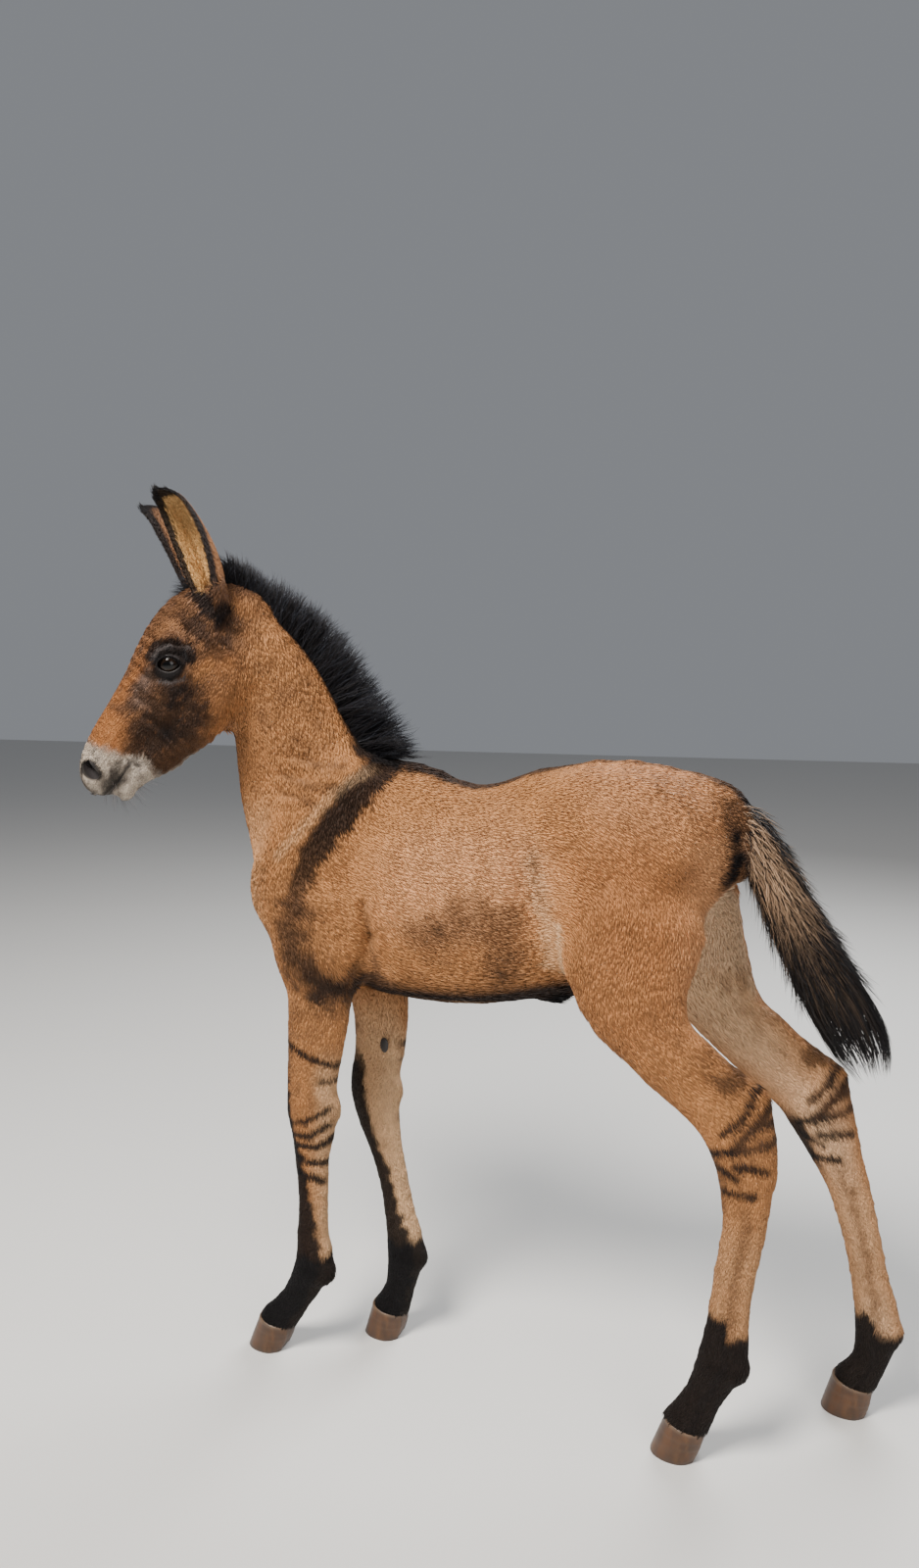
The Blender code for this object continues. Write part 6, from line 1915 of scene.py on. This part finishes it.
def tail_hair(name):
    """Long strands in locks down the tail, tan along the sides of its upper half, black elsewhere."""
    draw = np.random.default_rng(SEED + 3)
    rows = catmull_rom(TAIL_HAIR, 3)
    steps = np.linspace(0, 1, 7)
    hair = Strands()
    for i in range(TAIL_LOCKS):
        level = i / TAIL_LOCKS
        start = 0.03 + 0.52 * level**0.95
        end = min(0.998 - 0.05 * draw.random(), start + 0.24 + 0.16 * draw.random() + 0.22 * level)
        turn = i * 2.39996 + 0.3 * draw.random()
        spread = 0.9 + 0.16 * draw.random()
        for _ in range(TAIL_STRANDS):
            first = max(0.0, start + draw.normal(0, 0.02))
            last = first + (end - first) * (0.72 + 0.33 * draw.random())
            angle = turn + draw.normal(0, 0.3)
            reach = spread * (1 + draw.normal(0, 0.06))
            twist = draw.normal(0, 0.45)
            loose = draw.random() < 0.42
            if loose:
                last = first + 0.09 + 0.11 * draw.random()
                reach = spread * 0.96
            flare = (0.15 + 0.6 * draw.random()) if loose else 0.26 * draw.random()
            line = []
            for s in steps:
                run = min(first + (last - first) * s, 0.999)
                centre, out, around = tail_frame(rows, run, angle + twist * s)
                spring = (reach - 0.55) * min(1, s * (3.0 if loose else 1.8)) * (1 - 0.12 * s)
                gather = 0.55 + spring + flare * s * s
                line.append(centre + out * gather + around * 0.0012 * math.sin(s * 9 + angle * 3))
            width = 0.0013 + 0.0009 * draw.random()
            flank = fade(abs(math.sin(angle)), 0.3, 0.75) * fade(first, 0.5, 0.22) * (draw.random() < 0.75)
            tint = mixed(SOOT, TAN * (0.45 + 0.75 * draw.random()), flank)
            # A little grey on some tips: painted sheen.
            ashen = np.clip(draw.random() * 1.0 - 0.8, 0, 0.2)
            tip = mixed(SOOT, tint, fade(last, 0.75, 0.4)) + ASH * ashen
            place = (0.02 + 0.96 * first / 0.6, 0.5 + (angle % (2 * math.pi) - math.pi) / 2 / math.pi * 0.96)
            hair.add(line, around, width, tint, tip, place)
    return hair.made(name)


def ear_fringe(way, name):
    """Hair inside the cup of the ear, from its rims inwards and upwards, and a black fringe on the rims."""
    draw = np.random.default_rng(SEED + 4)
    hair = Strands()
    for i in range(EAR_STRANDS):
        fringe = i % 3 == 0
        level = 0.04 + (0.9 if fringe else 0.78) * draw.random()
        hand = 1 if draw.random() < 0.5 else -1
        share = hand * (0.99 if fringe else 0.4 + 0.38 * draw.random())
        middle, across, faces, rise, _, _ = ear_station(level)
        root = ear_point(level, share, EAR_THICKNESS * 0.75)
        aim = rise * 0.8 + faces * 0.3 + unit(middle - root) * (0.05 if fringe else 0.55)
        aim += Vector(draw.normal(0, 0.06 if fringe else 0.14, 3))
        long = 0.0065 * (1.1 - 0.6 * level) if fringe else 0.014 * (1.15 - 0.6 * level)
        aim = unit(aim) * (long * (0.7 + 0.6 * draw.random()))
        path = [ear_place(root + aim * s + faces * 0.002 * s**2, way) for s in np.linspace(0, 1, 5)]
        width = 0.0009 + 0.0005 * draw.random()
        tint = SOOT if fringe else EAR_LINING * (0.7 + 0.4 * draw.random())
        place = (0.05 + 0.9 * level, 0.5 + 0.4 * share)
        hair.add(path, head_way(across, way), width, tint, tint * 1.1, place)
    return hair.made(name)


# Eyes, lid rims, lashes and whiskers.


def eyeball(way, name):
    """A dark eye with a brown iris and a level oval pupil, its cornea a little proud."""
    out, long, high = eye_axes()
    bm = bmesh.new()
    bmesh.ops.create_icosphere(bm, subdivisions=5, radius=1)
    mesh = mesh_from(bm, name)
    shape = points_of(mesh)
    ahead = shape @ np.array(out)
    u, v = shape @ np.array(long), shape @ np.array(high)
    off = np.hypot(u, v)
    bulge = 0.0009 * fade(off, 0.62, 0.2) * (ahead > 0)
    local = np.array(EYE_CENTRE) + shape * (EYE_RADIUS + bulge)[:, None]
    local[:, 1] *= way
    matrix = np.array(HEAD)
    move_points(mesh, local @ matrix[:3, :3].T + matrix[:3, 3])
    if way < 0:
        mesh.flip_normals()
    angle = np.arctan2(v, u)
    fibres = 0.5 + 0.5 * np.sin(angle * 46 + 3 * np.sin(angle * 7)) * np.sin(angle * 23 + 1.3)
    colours = np.tile((0.01, 0.007, 0.006), (len(shape), 1))
    lay = painter(colours)
    iris = fade(off, 0.66, 0.6) * (ahead > 0)
    lay((0.01, 0.006, 0.004), iris)
    lay((0.02, 0.01, 0.005), iris * fibres * fade(off, 0.58, 0.46))
    lay((0.004, 0.003, 0.003), fade(np.abs(off - 0.65), 0.06, 0.01) * (ahead > 0))
    pupil = np.hypot(u / 0.42, v / 0.27)
    put_colours(mesh, lay((0.0012, 0.0012, 0.0014), fade(pupil, 1.06, 0.94) * (ahead > 0)))
    mesh.shade_smooth()
    return add_object(name, mesh)


def lid_line(flesh, way, steps, lift=0.0):
    """Points along the edge of the lids, where their opening meets the skin."""
    out, centre = eye_axes()[0], Vector(EYE_CENTRE)
    line = []
    for k in range(steps):
        angle = 2 * math.pi * k / steps
        offset = lid_offset(angle)
        inner = centre + out * 0.004 + offset * 0.8
        outer = centre + out * EYE_RADIUS + offset
        local = np.array([inner + (outer - inner) * share for share in np.linspace(0.2, 1.6, 120)])
        last = last_inside(flesh, np.array([head_place(Vector(point), way) for point in local]))
        from_middle = Vector(local[last] if last >= 0 else outer) - centre
        nearest = max(from_middle.length, EYE_RADIUS + 0.0012)
        line.append((centre + unit(from_middle) * nearest + unit(outer - inner) * lift, angle))
    return line


def one_coloured(bm, name, tint):
    mesh = mesh_from(bm, name)
    mesh.shade_smooth()
    put_colours(mesh, tint)
    return add_object(name, mesh)


def lid_rims(flesh, name):
    """Smooth dark rims along both eyes' lids, as tubes that close on themselves."""
    bm = bmesh.new()
    for way in SIDES.values():
        line = [head_place(place, way) for place, _ in lid_line(flesh, way, LID_STEPS, -0.0006)]
        middle = head_place(EYE_CENTRE, way)
        rings = []
        for i, place in enumerate(line):
            run = unit(line[(i + 1) % LID_STEPS] - line[i - 1])
            side = unit(run.cross(unit(place - middle)))
            up = side.cross(run)
            ways = [side * math.cos(angle) + up * math.sin(angle) for angle in np.arange(8) * math.pi / 4]
            rings.append([bm.verts.new(place + way_out * 0.00115) for way_out in ways])
        bridge_rings(bm, [*rings, rings[0]], close=False)
    return one_coloured(bm, name, SKIN_DARK)


def lashes(flesh, name):
    """Long dark lashes of the upper lids and a few short ones below."""
    draw = np.random.default_rng(SEED + 6)
    out, long, high = eye_axes()
    hair = Strands()
    for way in SIDES.values():
        for place, angle in lid_line(flesh, way, 150):
            upper = math.sin(angle) > 0.12
            if not upper and (math.sin(angle) > -0.3 or draw.random() < 0.6):
                continue
            for _ in range(2 if upper else 1):
                size = (0.0125 if upper else 0.006) * (0.7 + 0.5 * draw.random())
                aim = out * 0.95 + long * (0.25 + 0.35 * math.cos(angle)) + high * (0.1 if upper else -0.35)
                aim = unit(aim + Vector(draw.normal(0, 0.1, 3))) * size
                droop = high * (-0.004 if upper else 0.0004) + out * 0.0005
                line = [place - out * 0.0008 + aim * s + droop * s**2 for s in np.linspace(0, 1, 6)]
                path = [head_place(point, way) for point in line]
                spot_in_map = (0.5 + way * 0.24 + 0.2 * math.cos(angle), 0.5 + 0.4 * math.sin(angle))
                hair.add(path, head_way(long, way), 0.0005, SOOT, SOOT, spot_in_map)
    return hair.made(name)


def whiskers(flesh, name):
    """Fine bristles on the chin, the lips and under the nostrils."""
    draw = np.random.default_rng(SEED + 7)
    t = np.linspace(0, 1, 6)[:, None]
    hair = Strands()
    middle = np.array((0.33, 0, -0.03))
    while len(hair.rows) < WHISKERS:
        aim = np.array((0.35 + 0.65 * draw.random(), draw.normal(0, 0.55), -0.25 - 0.75 * draw.random()))
        if draw.random() < 0.65:
            aim = np.array((draw.normal(0.15, 0.4), draw.normal(0, 0.45), -1.0))
        aim /= np.linalg.norm(aim)
        line = middle + aim * np.linspace(0.01, 0.07, 121)[:, None]
        last = last_inside(flesh, np.array([HEAD @ Vector(point) for point in line]))
        if last in (-1, len(line) - 1):
            continue
        root = line[last]
        size = 0.01 + 0.022 * draw.random() ** 1.5
        bend = np.array((0.1, 0, -0.35)) * size * draw.random()
        path = root - aim * 0.002 + aim * size * t + bend * t**2
        path = [HEAD @ Vector(point) for point in path]
        tint = ASH * (2.4 if draw.random() < 0.5 else 0.5)
        place = (0.5 + root[1] * 8, 0.1 + 2 * (root[0] - 0.28))
        hair.add(path, head_way((0, 1, 0), 1), 0.00045, tint, tint, place)
    return hair.made(name)


# Hooves and chestnuts.


HOOF_RINGS = (0.0, 0.02, 0.05, 0.09, 0.13, 0.18, 0.23, 0.28, 0.34, 0.4, 0.47, 0.54, 0.62, 0.7, 0.78, 0.86,
              0.93, 0.975, 1.0)


def hoof(leg, name, count=72):
    """A small hoof with growth rings, a soft lip under the coronet and a bevelled sole."""
    point, normal = coronet_plane(leg, -0.0012)
    sole = Vector(LEG_JOINTS[leg]["hoof"])
    bm = bmesh.new()
    rings = []
    for share in HOOF_RINGS:
        ring = []
        flare = 0.0272 + (HOOF_HALF_WIDTH - 0.0275) * share**0.8
        flare -= 0.0012 * fade(share, 0.95, 1.0)
        lip = 0.0008 * math.exp(-(((share - 0.05) / 0.05) ** 2))
        growth = 0.00022 * math.sin(share * 46) * fade(share, 0.08, 0.2) + lip
        for k in range(count):
            angle = 2 * math.pi * k / count
            toe, out = math.cos(angle), math.sin(angle)
            reach = (0.0302 + 0.0085 * share) if toe > 0 else (0.0287 + 0.004 * math.sin(share * math.pi))
            sideways = abs(out) ** 0.86 * (1 if out > 0 else -1)
            x = -toe * (reach + growth) * (1 if toe > 0 else 0.93)
            if toe < -0.8:
                x -= 0.0055 * share**0.5 * fade(-toe, 0.8, 1.0)
            y = (flare + growth) * sideways * (1 - 0.16 * max(0, -toe) ** 2)
            centre = point.lerp(Vector((sole.x, sole.y, 0)), share)
            top_z = point.z - (x + centre.x - point.x) * normal.x / normal.z
            ring.append(bm.verts.new((centre.x + x, centre.y + y, top_z * (1 - share))))
        rings.append(ring)
    bridge_rings(bm, rings)
    bmesh.ops.triangulate(bm, faces=[face for face in bm.faces if len(face.verts) > 4])
    mesh = mesh_from(bm, name)
    points = points_of(mesh)
    mark = LEG_JOINTS[leg]["coronet"]
    top = point.z - (points[:, 0] - point.x) * normal.x / normal.z
    share = np.clip(1 - points[:, 2] / np.maximum(top, 1e-4), 0, 1)
    around = np.arctan2(points[:, 1] - mark[1], -(points[:, 0] - mark[0]))
    colours = np.tile(HORN, (len(points), 1))
    lay = painter(colours)
    streaks = mottle(np.column_stack([around * 9, share * 2.2, share * 0]), 1.0, 41)
    lay((0.04, 0.022, 0.014), 0.5 * fade(streaks, 0.4, 0.75))
    lay((0.042, 0.022, 0.012), 0.7 * fade(mottle(points, 0.014, 43), 0.35, 0.75))
    lay((0.12, 0.058, 0.022), 0.35 * fade(streaks, 0.4, 0.1))
    rings = mottle(np.column_stack([share * 26, around * 0.6, share * 0]), 1.0, 42)
    lay((0.08, 0.048, 0.032), 0.35 * fade(rings, 0.5, 0.85))
    lay((0.14, 0.094, 0.06), 0.45 * fade(share, 0.11, 0.05))
    put_colours(mesh, lay((0.05, 0.034, 0.026), 0.6 * fade(share + 0.1 * (streaks - 0.5), 0.8, 1.0)))
    mesh.shade_smooth()
    return add_object(name, mesh)


def chestnuts(flesh, name):
    """The bare horny ovals on the inner sides of both forearms."""
    bm = bmesh.new()
    for way, place in ((-1, (0.03, -0.055, 0.488)), (1, (0.079, 0.04, 0.487))):
        middle = np.array(place)
        line = middle + np.array((0, -way, 0)) * np.linspace(-0.03, 0.05, 161)[:, None]
        y = line[last_inside(flesh, line), 1]
        matrix = Matrix.Translation((middle[0], y, middle[2])) @ Matrix.Diagonal((0.007, 0.003, 0.0125, 1))
        bmesh.ops.create_icosphere(bm, subdivisions=4, radius=1, matrix=matrix)
    for vertex in bm.verts:
        vertex.co += vertex.normal * 0.0006 * math.sin(vertex.co.z * 1900) * math.sin(vertex.co.x * 1500)
    return one_coloured(bm, name, CALLUS)


# Finishes.


class Finish(Nodes):
    """A Principled material built from a base colour attribute and a few textures."""

    def __init__(self, name, **sockets):
        self.made = bpy.data.materials.new(name)
        self.made.use_nodes = True
        self.tree = self.made.node_tree
        self.shader = self.tree.nodes["Principled BSDF"]
        for socket, value in sockets.items():
            self.shader.inputs[socket.replace("_", " ")].default_value = value
        self.place = self.add("ShaderNodeTexCoord")["Object"]

    def wear(self, socket, source):
        self.tree.links.new(source, self.shader.inputs[socket])

    def attribute(self, name, output):
        return self.add("ShaderNodeAttribute", attribute_name=name)[output]

    def noise(self, scale, detail=3.0, stretch=(1, 1, 1)):
        place = self.add("ShaderNodeMapping", {"Vector": self.place, "Scale": stretch})[0]
        return self.add("ShaderNodeTexNoise", {"Vector": place, "Scale": scale, "Detail": detail})["Fac"]

    def spread(self, value, low, high):
        """The value from 0 to 1, as a number from low to high."""
        return self.add("ShaderNodeMapRange", {"Value": value, "To Min": low, "To Max": high})["Result"]

    def times(self, first, second):
        return self.math("MULTIPLY", first, second)

    def shaded(self, colour, factor):
        """Wears the colour, lighter or darker by the factor."""
        self.wear("Base Color", self.scaled(colour, factor))

    def bumped(self, height, strength, distance):
        relief_of = {"Height": height, "Strength": strength, "Distance": distance}
        self.wear("Normal", self.add("ShaderNodeBump", relief_of)[0])

    def roughened(self, value, low, high):
        self.wear("Roughness", self.spread(value, low, high))


def hair_finish(name, root_shade, tip_shade, rough, specular):
    finish = Finish(name, Specular_IOR_Level=specular)
    clouds = finish.spread(finish.noise(34), 0.78, 1.24)
    single = finish.spread(finish.attribute("Shade", "Fac"), 0.85, 1.17)
    # Each hair darker towards its root: painted shade among the hairs.
    along = finish.spread(finish.attribute("Tip", "Fac"), root_shade, tip_shade)
    finish.shaded(finish.attribute("Coat", "Color"), finish.times(finish.times(clouds, single), along))
    fibre = finish.noise(900, 2.0)
    finish.bumped(fibre, 0.25, 0.0004)
    finish.roughened(fibre, rough - 0.08, rough + 0.1)
    return finish.made


def skin_finish():
    finish = Finish("Skin Under Coat", Specular_IOR_Level=0.25)
    clouds = finish.spread(finish.noise(34), 0.72, 1.12)
    grain = finish.noise(420, 4.0, (1, 1, 0.35))
    finish.shaded(finish.attribute("Coat", "Color"), finish.times(clouds, finish.spread(grain, 0.6, 1.15)))
    finish.bumped(grain, 0.5, 0.0008)
    finish.roughened(grain, 0.6, 0.85)
    return finish.made


def plain_finish(name, rough, grain_scale, strength, distance, **sockets):
    """A finish whose colour is all in the attribute, with a fine grain in relief."""
    finish = Finish(name, **sockets)
    grain = finish.noise(grain_scale, 3.0)
    finish.shaded(finish.attribute("Coat", "Color"), finish.spread(grain, 0.8, 1.2))
    if strength:
        finish.bumped(grain, strength, distance)
    finish.roughened(grain, rough * 0.85, rough * 1.15)
    return finish.made


def dress(thing, finish):
    thing.data.materials.clear()
    thing.data.materials.append(finish)
    thing.data.transform(Matrix.Translation(SHIFT))
    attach(thing, "root")


# Stage.


def soft_light(name, place, target, size, watts, tint):
    lamp = bpy.data.lights.new(name, "AREA")
    lamp.shape = "DISK"
    lamp.size = size
    lamp.energy = watts
    lamp.color = tint
    made = bpy.data.objects.new(name, lamp)
    bpy.context.scene.collection.objects.link(made)
    made.location = Vector(place) + SHIFT
    made.rotation_euler = (Vector(target) - Vector(place)).to_track_quat("-Z", "Y").to_euler()


def set_stage():
    lens = bpy.data.cameras.new("camera")
    lens.lens = CAMERA_LENS
    lens.sensor_width = 36
    lens.clip_start = 0.05
    camera = bpy.data.objects.new("camera", lens)
    bpy.context.scene.collection.objects.link(camera)
    camera.location = CAMERA_PLACE + SHIFT
    camera.rotation_euler = CAMERA_TURN
    bpy.context.scene.camera = camera
    bm = bmesh.new()
    bmesh.ops.create_grid(bm, x_segments=1, y_segments=1, size=12)
    floor = add_object("floor", mesh_from(bm, "floor"))
    pale = Finish("Pale Floor", Roughness=0.9, Specular_IOR_Level=0.2)
    pale.shader.inputs["Base Color"].default_value = (0.62, 0.61, 0.59, 1)
    floor.data.materials.append(pale.made)
    world = bpy.data.worlds.new("studio")
    world.use_nodes = True
    world.node_tree.nodes["Background"].inputs["Color"].default_value = (0.84, 0.88, 0.95, 1)
    world.node_tree.nodes["Background"].inputs["Strength"].default_value = 0.27
    bpy.context.scene.world = world
    middle = (0.25, 0, 0.75)
    soft_light("key", (-0.5, -2.0, 3.5), middle, 1.3, 280, (1.0, 0.955, 0.9))
    soft_light("fill", (2.6, -2.6, 1.6), middle, 2.6, 62, (1.0, 0.98, 0.95))
    soft_light("rim", (1.2, 2.4, 3.0), middle, 2.0, 130, (0.96, 0.98, 1.0))


def eye_middle(side):
    low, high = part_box("eye_" + side)
    return (low + high) / 2


SHIFT = eye_middle("left") - head_place(EYE_CENTRE, -1)


def main():
    set_stage()
    flesh = Flesh()
    skin = grow_skin(flesh)
    cut_features(flesh, skin)
    points, normals = points_of(skin.data), rows_of(skin.data.vertices, "normal")
    colours, ears, inside = skin_marks(points, normals)
    # Deep in the hollows cut into the face, the nostrils, the mouth's line and the eye sockets, the skin is
    # painted dark: their own dark skin, and painted shade in the hollows.
    cut = on_head(points) & ~ears & (into_head(points)[:, 0] > 0.11)
    colours[cut] = paint(colours[cut], SKIN_DARK, fade(-form(flesh, points[cut]), 0.0024, 0.004))
    hair = hair_finish("Short Fur", 0.74, 1.08, 0.66, 0.16)
    long_hair = hair_finish("Long Hair", 0.85, 1.1, 0.56, 0.22)
    coats = grow_coat(skin, flesh, colours, ears, inside, hair)
    put_colours(skin.data, colours)
    skin.data.shade_smooth()
    unwrap(skin, "OFBake")

    horn = plain_finish("Hoof Horn", 0.45, 260, 0.55, 0.0005, Specular_IOR_Level=0.45)
    wet = {"Specular_IOR_Level": 0.18, "Coat_Weight": 0.25, "Coat_Roughness": 0.02}
    wet = plain_finish("Wet Eye", 0.035, 40, 0.0, 0.0001, **wet)
    rim = plain_finish("Lid Rim", 0.42, 500, 0.2, 0.0002, Specular_IOR_Level=0.22)
    callus = plain_finish("Callus", 0.55, 700, 0.6, 0.0005)

    dress(skin, skin_finish())
    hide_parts("head", "neck", "torso", "ear_left", "ear_right", *LEG_JOINTS)
    for piece in coats:
        dress(piece, hair)
    dress(mane("mane_hair"), long_hair)
    dress(poll_hair("forelock_hair"), long_hair)
    tail = tail_hair("tail_hair")
    dress(tail, long_hair)
    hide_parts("tail")
    for side, way in SIDES.items():
        dress(ear_fringe(way, "ear_hair_" + side), long_hair)
        eye = eyeball(way, "eyeball_" + side)
        dress(eye, wet)
        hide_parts("eye_" + side)
    dress(lid_rims(flesh, "lid_rims"), rim)
    dress(lashes(flesh, "lashes"), long_hair)
    dress(whiskers(flesh, "whiskers"), long_hair)
    for leg in LEG_JOINTS:
        node = leg.replace("leg_", "hoof_")
        foot = hoof(leg, node + "_horn")
        dress(foot, horn)
        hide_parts(node)
    dress(chestnuts(flesh, "chestnuts"), callus)


main()
